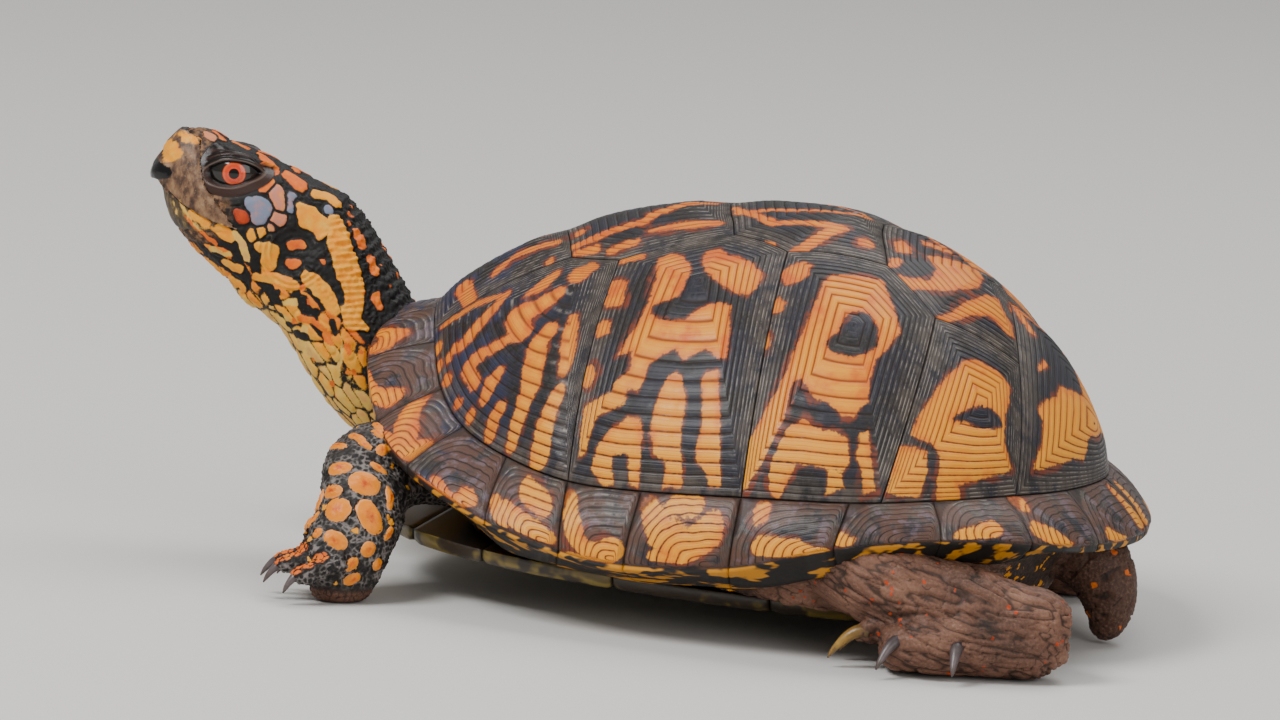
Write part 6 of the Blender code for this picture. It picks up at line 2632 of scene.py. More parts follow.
class Kind(Enum):
    """What a node does: its type, fixed settings, input keys in order, and the output that is read."""

    TIMES = ("ShaderNodeMath", {"operation": "MULTIPLY"}, (0, 1), 0)
    PLUS = ("ShaderNodeMath", {"operation": "ADD"}, (0, 1), 0)
    LESS = ("ShaderNodeMath", {"operation": "SUBTRACT"}, (0, 1), 0)
    LOWER = ("ShaderNodeMath", {"operation": "MINIMUM"}, (0, 1), 0)
    HIGHER = ("ShaderNodeMath", {"operation": "MAXIMUM"}, (0, 1), 0)
    AMOUNT = ("ShaderNodeMath", {"operation": "ABSOLUTE"}, (0,), 0)
    PART = ("ShaderNodeMath", {"operation": "FRACT"}, (0,), 0)
    RISE = ("ShaderNodeMapRange", {"interpolation_type": "SMOOTHSTEP"}, ("Value", "From Min", "From Max"), 0)
    MIX = ("ShaderNodeMix", {"data_type": "RGBA"}, (0, 6, 7), 2)
    RAMP = ("ShaderNodeValToRGB", {}, ("Fac",), 0)
    BUMP = ("ShaderNodeBump", {}, ("Height", "Distance", "Strength", "Normal"), 0)
    MARK = ("ShaderNodeAttribute", {}, (), "Fac")
    SPOT = ("ShaderNodeTexCoord", {}, (), "Object")
    STRETCH = ("ShaderNodeMapping", {}, ("Vector", "Scale"), 0)
    NOISE = ("ShaderNodeTexNoise", {}, ("Vector", "Scale", "Detail", "Roughness"), 0)
    FORTH = ("ShaderNodeSeparateXYZ", {}, (0,), "X")
    UP = ("ShaderNodeSeparateXYZ", {}, (0,), "Z")


@dataclass(frozen=True)
class Finish:
    """What every finish starts from: its name, gloss and clear coat."""

    name: str
    roughness: float = 0.5
    ior: float = 1.5
    coat: float = 0.0
    coat_roughness: float = 0.12


class Recipe:
    """A material being made: one method adds every node, and the others lay out patterns with it."""

    def __init__(self, finish: Finish) -> None:
        """Starts the material with the finish's own gloss and coat.

        Args:
            finish: The finish it is made for.
        """
        self.material = bpy.data.materials.new(finish.name)
        self.material.use_nodes = True
        self.tree = self.material.node_tree
        self.shader = self.tree.nodes["Principled BSDF"]
        self.shader.inputs["Roughness"].default_value = finish.roughness
        self.shader.inputs["IOR"].default_value = finish.ior
        self.shader.inputs["Coat Weight"].default_value = finish.coat
        self.shader.inputs["Coat Roughness"].default_value = finish.coat_roughness
        self.spot = self.node(Kind.SPOT)

    def node(self, kind: Kind, *values: Any, **settings: Any) -> Any:
        """Adds a node with its settings and links.

        Args:
            kind: What the node does.
            values: Its inputs in order: numbers, hex colours, sockets, or None to leave one as it is.
            settings: Its own settings; `stops` fills a colour ramp.

        Returns:
            The socket to read it from.
        """
        type_name, fixed, keys, output = kind.value
        made = self.tree.nodes.new(type_name)
        stops = settings.pop("stops", ())
        for name, value in {**fixed, **settings}.items():
            setattr(made, name, value)
        if stops:
            elements = made.color_ramp.elements
            while len(elements) < len(stops):
                elements.new(0.5)
            for element, (position, sheet) in zip(elements, stops):
                element.position = position
                element.color = linear(sheet)
        for key, value in zip(keys, values):
            if isinstance(value, bpy.types.NodeSocket):
                self.tree.links.new(value, made.inputs[key])
            elif value is not None:
                made.inputs[key].default_value = linear(value) if isinstance(value, str) else value
        return made.outputs[output]

    def mottle(
        self, size: float, detail: float = 3.0, stretch: tuple[float, float, float] = (1, 1, 1)
    ) -> Any:
        """A pattern of lumps of a size in millimetres."""
        scaled = self.node(Kind.STRETCH, self.spot, stretch)
        return self.node(Kind.NOISE, scaled, 1.0 / (size * MM), detail, LUMP_CONTRAST)

    def swing(self, pattern: Any, reach: float, middle: float = 0.5) -> Any:
        """A pattern turned into a shift either way of nothing."""
        return self.node(Kind.TIMES, self.node(Kind.LESS, pattern, middle), reach)

    def finish(self, colour: Any, normal: Any = None, roughness: Any = None) -> bpy.types.Material:
        """Joins the colour, normal and roughness to the shader.

        Args:
            colour: A hex colour or a socket.
            normal: The bump's socket, if any.
            roughness: The roughness's socket, if it varies.

        Returns:
            The finished material.
        """
        for name, value in (("Base Color", colour), ("Normal", normal), ("Roughness", roughness)):
            if isinstance(value, str):
                self.shader.inputs[name].default_value = linear(value)
            elif value is not None:
                self.tree.links.new(value, self.shader.inputs[name])
        return self.material


@dataclass(frozen=True)
class MattFloor(Finish):
    """Matt painted board: pale and even, so that the animal's shadow reads softly."""

    name: str = "matt floor"
    roughness: float = 0.9
    colour: str = "#CFCDCA"

    def material(self) -> bpy.types.Material:
        """The material, one even colour."""
        return Recipe(self).finish(self.colour)


@dataclass(frozen=True)
class ShellKeratin(Finish):
    """Horn of the carapace, grown in rings.

    Thin sheets of worn keratin: a satin gloss broken by the rings, black with a painted bluish sheen of
    reflected sky, and yellow to salmon blotches.
    """

    name: str = "shell keratin"
    rim: bool = False
    ior: float = 1.42
    coat: float = 0.06
    grain_mm: float = 0.7
    cloud_mm: float = 6.5
    drift_mm: float = 11.0
    blotch_edge_mm: tuple[float, float] = (0.58, 0.12)
    groove_mm: tuple[float, float] = (0.2, 0.05)
    seam_mm: tuple[float, float] = (0.2, 0.04)
    # The blotch ramps run across each ring and fall darker towards both its grooves: painted shade of the
    # ring steps.
    yellow: Stops = (
        (0.0, "#B45400"), (0.16, "#DE8800"), (0.5, "#E69400"), (0.85, "#DC8200"), (1.0, "#A84A00")
    )
    salmon: Stops = ((0.0, "#8C3C10"), (0.2, "#D06A14"), (0.6, "#DA7C20"), (1.0, "#9E4614"))
    peach: Stops = (
        (0.0, "#A05000"), (0.14, "#DE8C10"), (0.5, "#E89C1C"), (0.86, "#DE8A0E"), (1.0, "#A65206")
    )
    black: Stops = ((0.25, "#0C0B0B"), (0.5, "#1C1817"), (0.75, "#332D2A"))

    def bright(self, made: Recipe, part: Any, broad: Any, rough_edge: Any) -> Any:
        """The blotches' colour: yellow, salmon towards the top and front, peach low at the sides, each darker
        towards its ring's grooves as painted shade.

        Args:
            made: The material being made.
            part: How far across its ring each point lies.
            broad: The broad clouds.
            rough_edge: Distance to the blotch's edge.

        Returns:
            The colour's socket.
        """
        node = made.node
        forth, up = node(Kind.FORTH, made.spot), node(Kind.UP, made.spot)
        front = node(Kind.RISE, forth, -0.006, -0.026)
        yellow = node(Kind.RAMP, part, stops=self.yellow)
        salmon = node(Kind.RAMP, part, stops=self.salmon)
        high = node(Kind.TIMES, node(Kind.RISE, up, 0.046, 0.064), 0.5)
        pale = node(Kind.HIGHER, high, node(Kind.TIMES, front, 0.7))
        bright = node(Kind.MIX, node(Kind.TIMES, pale, node(Kind.RISE, broad, 0.36, 0.52)), yellow, salmon)
        bright = node(Kind.MIX, node(Kind.TIMES, node(Kind.RISE, broad, 0.54, 0.7), 0.75), bright, "#C84E08")
        near_edge = node(Kind.TIMES, node(Kind.RISE, rough_edge, -1.4, 0.4), 0.7)
        bright = node(Kind.MIX, near_edge, bright, "#CC5C10")
        low = node(Kind.TIMES, node(Kind.RISE, up, 0.05, 0.034), node(Kind.LESS, 1.0, front))
        peach = node(Kind.RAMP, part, stops=self.peach)
        return node(Kind.MIX, node(Kind.TIMES, low, node(Kind.RISE, broad, 0.34, 0.56)), bright, peach)

    def ground(self, made: Recipe, part: Any, broad: Any, fine: Any, narrow: Any) -> Any:
        """The dark horn between the blotches: a painted bluish sheen of reflected sky, stronger in front;
        greyed on ring crests by wear and a painted highlight, and by wear near seams.

        Args:
            made: The material being made.
            part: How far across its ring each point lies.
            broad: The broad clouds.
            fine: The fine grain.
            narrow: How narrow the ring is.

        Returns:
            The colour's socket.
        """
        node = made.node
        front = node(Kind.RISE, node(Kind.FORTH, made.spot), -0.006, -0.026)
        ground = node(Kind.RAMP, fine, stops=self.black)
        # Painted reflection: the sky's bluish sheen, in broad patches and stronger towards the front.
        blue = node(Kind.PLUS, 0.3, node(Kind.TIMES, front, 0.7))
        ground = node(Kind.MIX, node(Kind.TIMES, node(Kind.RISE, broad, 0.4, 0.6), blue), ground, "#232840")
        # Ring crests greyed in streaks, more on narrow rings: partly wear, partly a painted highlight where
        # light catches the crests.
        crest_wear_and_highlight = node(Kind.TIMES, node(Kind.RISE, part, 0.2, 0.34), node(Kind.RISE, part, 0.56, 0.4))
        streaks = node(Kind.RISE, made.mottle(1.6, 3.0, (1.0, 1.0, 0.35)), 0.42, 0.6)
        worn = node(Kind.TIMES, crest_wear_and_highlight, streaks)
        near_seam = node(Kind.RISE, node(Kind.MARK, attribute_name="edge"), 5.0, 0.9)
        outer = node(
            Kind.TIMES, near_seam, node(Kind.RISE, made.mottle(2.6, 4.0, (1.0, 1.0, 0.3)), 0.34, 0.62)
        )
        ground = node(Kind.MIX, node(Kind.TIMES, outer, 0.75), ground, "#574C43")
        ground = node(Kind.MIX, node(Kind.TIMES, worn, node(Kind.TIMES, narrow, 0.75)), ground, "#948A80")
        if self.rim:
            for size, low, high, share, sheet in (
                (4.5, 0.4, 0.56, 0.85, "#543628"), (3.0, 0.54, 0.66, 0.6, "#6C5A62")
            ):
                patch = node(Kind.RISE, made.mottle(size, 3.0), low, high)
                ground = node(Kind.MIX, node(Kind.TIMES, patch, share), ground, sheet)
        return ground

    def material(self) -> bpy.types.Material:
        """The whole finish.

        Returns:
            The material for the dome's plates, or for the rim's.
        """
        made = Recipe(self)
        node = made.node
        ring, ring_mm = node(Kind.MARK, attribute_name="ring"), node(Kind.MARK, attribute_name="ring_width")
        part = node(Kind.PART, ring)
        fine, broad = made.mottle(self.grain_mm, 4.0), made.mottle(self.cloud_mm, 3.0)
        rough_edge = node(Kind.PLUS, node(Kind.MARK, attribute_name="blotch"), made.swing(fine, 1.3))
        inside = node(Kind.RISE, rough_edge, *self.blotch_edge_mm)
        narrow = node(Kind.RISE, ring_mm, 1.5, 0.6)
        ground = self.ground(made, part, broad, fine, narrow)
        colour = node(Kind.MIX, inside, ground, self.bright(made, part, broad, rough_edge))

        # A red-brown fringe where pigment runs out round each blotch, wider in some places than in others.
        drift = made.mottle(self.drift_mm, 1.0, (1.0, 1.0, 0.6))
        wide = node(Kind.TIMES, node(Kind.RISE, drift, 0.52, 0.62), 0.8)
        fringe = node(Kind.RISE, node(Kind.LESS, rough_edge, wide), 1.1, 0.3)
        fringe = node(Kind.TIMES, fringe, node(Kind.LESS, 1.0, inside))
        patchy = node(Kind.RISE, made.mottle(2.4, 2.0), 0.3, 0.62)
        colour = node(Kind.MIX, node(Kind.TIMES, fringe, patchy), colour, "#6E2C14")

        # Painted shade darkens the grooves, less on narrow rings and on the blotches; the seams between
        # plates are drawn as dark lines.
        groove_mm = node(Kind.TIMES, node(Kind.LOWER, part, node(Kind.LESS, 1.0, part)), ring_mm)
        lighter = node(Kind.LESS, 1.0, node(Kind.TIMES, narrow, 0.45))
        dark = node(Kind.TIMES, node(Kind.RISE, groove_mm, *self.groove_mm), lighter)
        low = node(Kind.RISE, node(Kind.UP, made.spot), 0.05, 0.03)
        faint = node(
            Kind.TIMES, inside, node(Kind.LESS, 1.0, node(Kind.TIMES, low, node(Kind.RISE, fine, 0.35, 0.6)))
        )
        depth = node(Kind.LESS, 0.9, node(Kind.TIMES, faint, 0.5))
        colour = node(Kind.MIX, node(Kind.TIMES, dark, depth), colour, "#1E0F08")
        seam = node(Kind.RISE, node(Kind.MARK, attribute_name="edge"), *self.seam_mm)
        colour = node(Kind.MIX, node(Kind.TIMES, seam, 0.5), colour, "#2A221C")
        if self.rim:
            patch = node(Kind.RISE, made.mottle(3.2, 2.0, (0.45, 1.0, 1.0)), 0.5, 0.56)
            below = node(Kind.MIX, patch, "#120D0A", "#C07E08")
            colour = node(Kind.MIX, node(Kind.MARK, attribute_name="underside"), colour, below)

        # Finer growth lines than the mesh can hold: three to a ring, in the bump alone.
        lines = node(Kind.PART, node(Kind.TIMES, ring, 3.0))
        cut = node(Kind.RISE, node(Kind.AMOUNT, node(Kind.LESS, lines, 0.5)), 0.28, 0.5)
        normal = node(Kind.BUMP, node(Kind.LESS, 1.0, cut), 0.05 * MM, 0.7)
        normal = node(Kind.BUMP, made.mottle(0.35, 3.0), 0.03 * MM, 0.5, normal)
        dull = node(Kind.PLUS, 0.36, node(Kind.TIMES, fine, 0.24))
        return made.finish(colour, normal, node(Kind.PLUS, dull, node(Kind.TIMES, dark, 0.25)))


@dataclass(frozen=True)
class PlastronKeratin(Finish):
    """Horn of the lower shell, scraped by the ground: worn brown-black and olive-yellow, and dull."""

    name: str = "plastron keratin"
    roughness: float = 0.45
    ior: float = 1.55
    coat: float = 0.1
    patch_mm: float = 9.0
    scuff_mm: float = 1.2
    grain_mm: float = 0.6

    def material(self) -> bpy.types.Material:
        """Patches, growth lines, dark seams and scuffs.

        Returns:
            The material.
        """
        made = Recipe(self)
        node = made.node
        patches = node(Kind.RISE, made.mottle(self.patch_mm, 3.0), 0.47, 0.56)
        colour = node(Kind.MIX, patches, "#2A2018", "#8F7A34")
        part = node(Kind.PART, node(Kind.MARK, attribute_name="ring"))
        line = node(Kind.RISE, node(Kind.LOWER, part, node(Kind.LESS, 1.0, part)), 0.1, 0.02)
        colour = node(Kind.MIX, node(Kind.TIMES, line, 0.6), colour, "#140F0C")
        colour = node(
            Kind.MIX, node(Kind.RISE, node(Kind.MARK, attribute_name="edge"), 0.5, 0.1), colour, "#0F0C0A"
        )
        scuffs = node(Kind.TIMES, made.mottle(self.scuff_mm, 4.0), 0.4)
        colour = node(Kind.MIX, scuffs, colour, "#4A3A22")
        return made.finish(colour, node(Kind.BUMP, made.mottle(self.grain_mm, 4.0), 0.06 * MM, 0.6))


@dataclass(frozen=True)
class SkinPigment:
    """The pigment of skin and beak markings, from red over orange, yellow, cream and peach to a blue-grey
    that paints a sheen of reflected light.
    """

    cloud_mm: float = 2.0
    swing: float = 0.36
    stops: Stops = (
        (0.04, "#8E2604"), (0.14, "#B83C06"), (0.3, "#DC6400"), (0.5, "#EC9800"),
        (0.64, "#DDB450"), (0.82, "#CC7850"), (1.0, "#70788C"),
    )

    def colour(self, made: Recipe) -> Any:
        """The colour's socket, read from each point's tint."""
        cloud = made.swing(made.mottle(self.cloud_mm), self.swing)
        tint = made.node(Kind.PLUS, made.node(Kind.MARK, attribute_name="hue"), cloud)
        return made.node(Kind.RAMP, tint, stops=self.stops)


@dataclass(frozen=True)
class LivingSkin(Finish):
    """Dry scaly skin: dull black to brown with orange and yellow scales; lids smoother and wetter."""

    name: str = "skin"
    ior: float = 1.38
    grain_mm: float = 0.5
    ground: Stops = (
        (0.0, "#080606"), (0.12, "#100D0C"), (0.24, "#2A2624"), (0.4, "#33241C"),
        (0.62, "#6A4838"), (0.85, "#8C6652"), (1.0, "#A8836C"),
    )
    flaking: Stops = ((0.34, "#1A100A"), (0.46, "#4A3020"), (0.58, "#86603E"), (0.72, "#6A4C36"))
    lid: Stops = ((0.3, "#0C0705"), (0.7, "#1A0F0B"))

    def material(self) -> bpy.types.Material:
        """Ground, markings, painted shade in the crevices and painted highlights on bead tops, dust, the
        border of the beak, and the lids with painted light on their folds.

        Returns:
            The material.
        """
        made = Recipe(self)
        node = made.node
        fine = made.mottle(self.grain_mm, 4.0)
        shade = node(Kind.PLUS, node(Kind.MARK, attribute_name="ground"), made.swing(fine, 0.4))
        mark = node(Kind.PLUS, node(Kind.MARK, attribute_name="mark"), made.swing(fine, 0.4))
        bright = SkinPigment().colour(made)
        colour = node(
            Kind.MIX, node(Kind.RISE, mark, 0.1, -0.1), node(Kind.RAMP, shade, stops=self.ground), bright
        )
        rim = node(Kind.TIMES, node(Kind.RISE, mark, 0.5, 0.15), node(Kind.RISE, mark, 0.0, 0.15))
        colour = node(Kind.MIX, node(Kind.TIMES, rim, 0.7), colour, "#0A0706")

        # Painted shade in the crevices between beads, scales, folds and tail rings, and a painted highlight
        # on the bead tops.
        crevice = node(Kind.MARK, attribute_name="crevice")
        deep = node(Kind.TIMES, node(Kind.RISE, crevice, 0.35, 0.0), 0.75)
        colour = node(Kind.MIX, deep, colour, "#0E0907")
        bead_top_highlight = node(Kind.TIMES, node(Kind.RISE, crevice, 0.75, 1.0), node(Kind.RISE, fine, 0.5, 0.7))
        colour = node(Kind.MIX, node(Kind.TIMES, bead_top_highlight, 0.12), colour, "#A89888")
        dusty = node(Kind.TIMES, node(Kind.MARK, attribute_name="dust"), node(Kind.RISE, mark, 0.3, 0.6))
        patchy = node(Kind.RISE, made.mottle(2.2, 2.0), 0.36, 0.58)
        colour = node(Kind.MIX, node(Kind.TIMES, dusty, patchy), colour, "#7E7672")
        worn = node(Kind.RAMP, made.mottle(1.1, 5.0), stops=self.flaking)
        beside = node(Kind.TIMES, node(Kind.MARK, attribute_name="beside"), node(Kind.RISE, mark, 0.0, 0.25))
        colour = node(Kind.MIX, beside, colour, worn)

        lid, edge = node(Kind.MARK, attribute_name="lid"), node(Kind.MARK, attribute_name="lid_edge")
        # Upper lids: painted highlight on the fold crests, painted shade in the valleys; the lower lid takes
        # the crest colour all over as its own colour.
        folds = node(Kind.RISE, crevice, 0.5, 0.95)
        colour = node(
            Kind.MIX, lid, colour, node(Kind.MIX, folds, node(Kind.RAMP, fine, stops=self.lid), "#33201A")
        )
        pale = node(Kind.TIMES, node(Kind.RISE, edge, 0.02, 0.1), node(Kind.RISE, edge, 0.3, 0.2))
        colour = node(Kind.MIX, node(Kind.TIMES, pale, 0.5), colour, "#6E5C50")
        colour = node(Kind.MIX, node(Kind.RISE, edge, 0.02, -0.1), colour, "#0A0605")
        normal = node(Kind.BUMP, made.mottle(0.35, 3.0), 0.06 * MM, 0.6)
        return made.finish(colour, normal, node(Kind.LESS, 0.6, node(Kind.TIMES, lid, 0.28)))


@dataclass(frozen=True)
class ScaleHorn(Finish):
    """The forelegs' big scales: thin dry horn, red-orange at the middle, yellow outwards, with a pale rim."""

    name: str = "scale horn"
    roughness: float = 0.45
    ior: float = 1.4
    blot_mm: float = 0.8
    grain_mm: float = 0.5
    flame: Stops = ((0.02, "#C04200"), (0.16, "#D46400"), (0.4, "#E27C00"), (0.8, "#E88600"))

    def material(self) -> bpy.types.Material:
        """The flame of colour from the middle out, the pale rim and the dark foot.

        Returns:
            The material.
        """
        made = Recipe(self)
        node = made.node
        share = node(Kind.MARK, attribute_name="from_middle")
        blot = made.swing(made.mottle(self.blot_mm, 3.0), 1.1, 0.46)
        colour = node(Kind.RAMP, node(Kind.PLUS, share, blot), stops=self.flame)
        rim = node(Kind.TIMES, node(Kind.RISE, share, 0.84, 0.89), node(Kind.RISE, share, 0.96, 0.91))
        colour = node(Kind.MIX, node(Kind.TIMES, rim, 0.6), colour, "#DCA070")
        colour = node(Kind.MIX, node(Kind.RISE, share, 0.92, 0.97), colour, "#120D0B")
        return made.finish(colour, node(Kind.BUMP, made.mottle(self.grain_mm, 3.0), 0.05 * MM, 0.5))


@dataclass(frozen=True)
class BeakHorn(Finish):
    """Worn beak horn: rough and mottled with coloured patches, black and shiny at the hooked tip."""

    stops: Stops = ()
    ior: float = 1.45
    lump_mm: float = 1.9
    flake_mm: float = 0.45
    ragged_mm: float = 0.7

    def material(self) -> bpy.types.Material:
        """Mottled ground, flakes, markings and the dark tip.

        Returns:
            The material.
        """
        made = Recipe(self)
        node = made.node
        lumps = made.mottle(self.lump_mm, 6.0, (1.0, 1.0, 0.6))
        colour = node(Kind.RAMP, lumps, stops=self.stops)
        flakes = node(Kind.RISE, made.mottle(self.flake_mm, 3.0), 0.58, 0.68)
        colour = node(Kind.MIX, node(Kind.TIMES, flakes, 0.25), colour, "#A8927A")
        ragged = made.swing(made.mottle(self.ragged_mm, 4.0), 1.0)
        mark = node(Kind.PLUS, node(Kind.MARK, attribute_name="mark"), ragged)
        colour = node(Kind.MIX, node(Kind.RISE, mark, 0.22, -0.15), colour, SkinPigment(1.5).colour(made))
        dark = node(Kind.RISE, node(Kind.PLUS, node(Kind.MARK, attribute_name="dark"), ragged), 0.18, -0.12)
        colour = node(Kind.MIX, dark, colour, "#090809")
        normal = node(Kind.BUMP, lumps, 0.12 * MM, 0.6)
        normal = node(Kind.BUMP, made.mottle(0.3, 3.0), 0.05 * MM, 0.6, normal)
        return made.finish(colour, normal, node(Kind.LESS, 0.52, node(Kind.TIMES, dark, 0.34)))


@dataclass(frozen=True)
class ClawHorn(Finish):
    """Claw horn: hard and finely streaked, darker at the root, with a low gloss."""

    stops: Stops = ()
    roughness: float = 0.38
    ior: float = 1.45
    coat: float = 0.1
    streak_mm: float = 1.0
    grain_mm: float = 0.5

    def material(self) -> bpy.types.Material:
        """The colour from root to tip, with streaks.

        Returns:
            The material.
        """
        made = Recipe(self)
        streaks = made.swing(made.mottle(self.streak_mm, 4.0), 0.5)
        place = made.node(Kind.PLUS, made.node(Kind.MARK, attribute_name="along"), streaks)
        colour = made.node(Kind.RAMP, place, stops=self.stops)
        return made.finish(colour, made.node(Kind.BUMP, made.mottle(self.grain_mm, 4.0), 0.04 * MM, 0.6))


@dataclass(frozen=True)
class WetEye(Finish):
    """A wet eye: red iris with a dark ring, black pupil, under a clear mirror-like coat."""

    name: str = "eye"
    roughness: float = 0.12
    ior: float = 1.34
    coat: float = 0.6
    coat_roughness: float = 0.02
    streak_mm: float = 0.35
    iris: Stops = (
        (0.0, "#B82A10"), (0.23, "#CE3614"), (0.33, "#BE2408"), (0.44, "#DC5422"),
        (0.475, "#641A0C"), (0.5, "#1E1A14"), (1.0, "#0E0C0A"),
    )

    def material(self) -> bpy.types.Material:
        """Iris, its paler streaks, and the pupil.

        Returns:
            The material.
        """
        made = Recipe(self)
        node = made.node
        off = node(Kind.MARK, attribute_name="off_axis")
        colour = node(Kind.RAMP, off, stops=self.iris)
        within = node(Kind.TIMES, node(Kind.RISE, off, 0.48, 0.4), 0.3)
        colour = node(Kind.MIX, node(Kind.TIMES, made.mottle(self.streak_mm, 2.0), within), colour, "#E87C44")
        return made.finish(node(Kind.MIX, node(Kind.RISE, off, 0.225, 0.2), colour, "#030202"))


# ----------------------------------------------------------------------------------------------------------
# Putting it together


@dataclass
class Turtle:
    """The whole animal."""

    shell: Carapace = field(default_factory=Carapace)
    head: Head = field(default_factory=Head)

    def __post_init__(self) -> None:
        """Finds its place in the row frame."""
        eye = self.head.to_standing((0.0, self.head.eye_offset, 0.0))[0]
        self.placement = Placement.from_frame(eye)
        self.rim = Marginals(self.shell)

    def settle(self, obj: bpy.types.Object, slot: Slot, material: Any, nodes: Iterable[str] = ()) -> None:
        """Gives a finished piece its material and its place on the frame.

        Args:
            obj: The piece.
            slot: Not used.
            material: Its material.
            nodes: The CAD nodes it stands for.
        """
        obj.data.materials.clear()
        obj.data.materials.append(material)
        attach(obj, BODY)
        if nodes:
            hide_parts(*nodes)
        log.info("%s: %d points", obj.name, len(obj.data.vertices))

    def carapace(self) -> None:
        """The dome's plates."""
        material = ShellKeratin().material()
        for seed, (name, outline) in enumerate(self.shell.outlines().items()):
            kind, number, *side = name.split("_")
            index = int(number)
            marks = (COSTAL_MARKS if kind == "costal" else VERTEBRAL_MARKS)[index]
            areola = np.array(AREOLAE[kind][index - 1])
            mirror = -1.0 if side == ["right"] else 1.0
            scute = Scute(
                name, outline, areola * (1.0, mirror), marks, mirror, 40 + seed, kind == "vertebral"
            )
            obj = scute.build(self.shell).to_object(f"scute_{name}", self.placement)
            self.settle(obj, Slot.SHELL, material, [name])

    def margin(self) -> None:
        """The plates round the rim."""
        material = ShellKeratin("rim keratin", rim=True).material()
        owners = {"front": range(1, 4), "bridge": range(4, 8), "rear": range(8, 13)}
        nuchal = self.rim.plate(-1.0, 1.0, 5, Rings(count=5, areola=0.2), ())
        self.settle(nuchal.to_object("scute_nuchal", self.placement), Slot.SHELL, material, ["nuchal"])
        for side in Side:
            sign = -side.value
            for part, numbers in owners.items():
                for number in numbers:
                    rim, seam = self.shell.rim_line([number, number + 1])
                    length = float(np.linalg.norm(rim[1] - rim[0]))
                    tall = float(np.linalg.norm(rim[0] - seam[0]) + np.linalg.norm(rim[1] - seam[1])) / 2
                    marks = tuple(
                        Stroke(tuple((a * length, b * tall, w) for a, b, w in rows))
                        for rows in MARGINAL_MARKS[number - 1]
                    )
                    rings = Rings(count=9, areola=0.16, tightening=0.6, groove=0.12, bulge=0.06)
                    mesh = self.rim.plate(sign * number, sign * (number + 1), 60 + number, rings, marks)
                    obj = mesh.to_object(f"marginal_{number}_{side.word}", self.placement)
                    self.settle(obj, Slot.SHELL, material, [f"marginals_{part}_{side.word}"])

    def belly(self) -> None:
        """The plastron's plates."""
        material = PlastronKeratin().material()
        plastron = Plastron(self.shell)
        for number, word in enumerate(plastron.names):
            node = "plastron_front" if number < 3 else "plastron_rear"
            for side in Side:
                mesh = plastron.plate(number, side, 90 + number)
                self.settle(
                    mesh.to_object(f"{word}_{side.word}", self.placement), Slot.PLASTRON, material, [node]
                )

    def flesh(self) -> None:
        """The one skin."""
        skin = Skin(self.head, Trunk(self.shell, self.rim)).build(self.placement)
        nodes = [
            "trunk", "head", "neck", "tail", "foreleg_left", "foreleg_right", "hindleg_left", "hindleg_right"
        ]
        self.settle(skin, Slot.SKIN, LivingSkin().material(), nodes)
        points = [vertex.co.copy() for vertex in skin.data.vertices]
        shapes = [tuple(face.vertices) for face in skin.data.polygons]
        tree = BVHTree.FromPolygons(points, shapes)
        material = ScaleHorn().material()
        for side in Side:
            mesh = ScaleCoat(side, tree, self.placement).mesh()
            self.settle(mesh.to_object(f"foreleg_scales_{side.word}", self.placement), Slot.SKIN, material)

    def weathered(self, obj: bpy.types.Object, roof: Sequence[tuple[float, float]], upper: bool) -> None:
        """Shapes one half of the beak: hooked tip or set-back chin, feathered border, worn surface, markings.

        Args:
            obj: The half, cut to its zone.
            roof: Its border with the skin in side view (forward, up).
            upper: Whether it is the upper half.
        """
        mesh = obj.data
        points, normals = self.placement.read(mesh), read_normals(mesh)
        own = self.head.from_standing(points)
        f, u = own[:, 0], own[:, 2]
        side_view = np.column_stack([f, np.zeros(len(own)), u])
        border = tapered_distance(tuple((a, 0.0, b, 0.0) for a, b in roof), side_view)
        height = -0.5 * smoothstep(1.1, 0.0, border + 0.5 * noise(points, 1.0, 101, 2))
        height += 0.07 * noise(points, 1.2, 83, 2) + 0.03 * noise(points, 0.5, 89, 1)
        shift = np.zeros_like(own)
        if upper:
            height += 0.5 * bell(u, -7.2, 1.5) * smoothstep(8.6, 11.6, f)
            height -= 0.35 * bell(u, -4.6, 0.7) * smoothstep(9.0, 11.5, f)
            shift[:, 2] -= 0.7 * smoothstep(10.4, 12.2, f) * smoothstep(-6.5, -8.2, u)
        else:
            shift[:, 0] -= 0.9 * smoothstep(5.0, 11.0, f)
        moved = self.head.to_standing(own + shift) + normals * height[:, None]
        self.placement.write(mesh, moved)
        places = side_places(self.head, points)
        paint = painted(places, PAINT_SEED)
        dark = np.min([tapered_distance(rows, places) for rows in BEAK_DARK], axis=0)
        add_marks(mesh, {"mark": paint.mark, "hue": paint.hue, "dark": np.clip(dark, -FAR, FAR)})

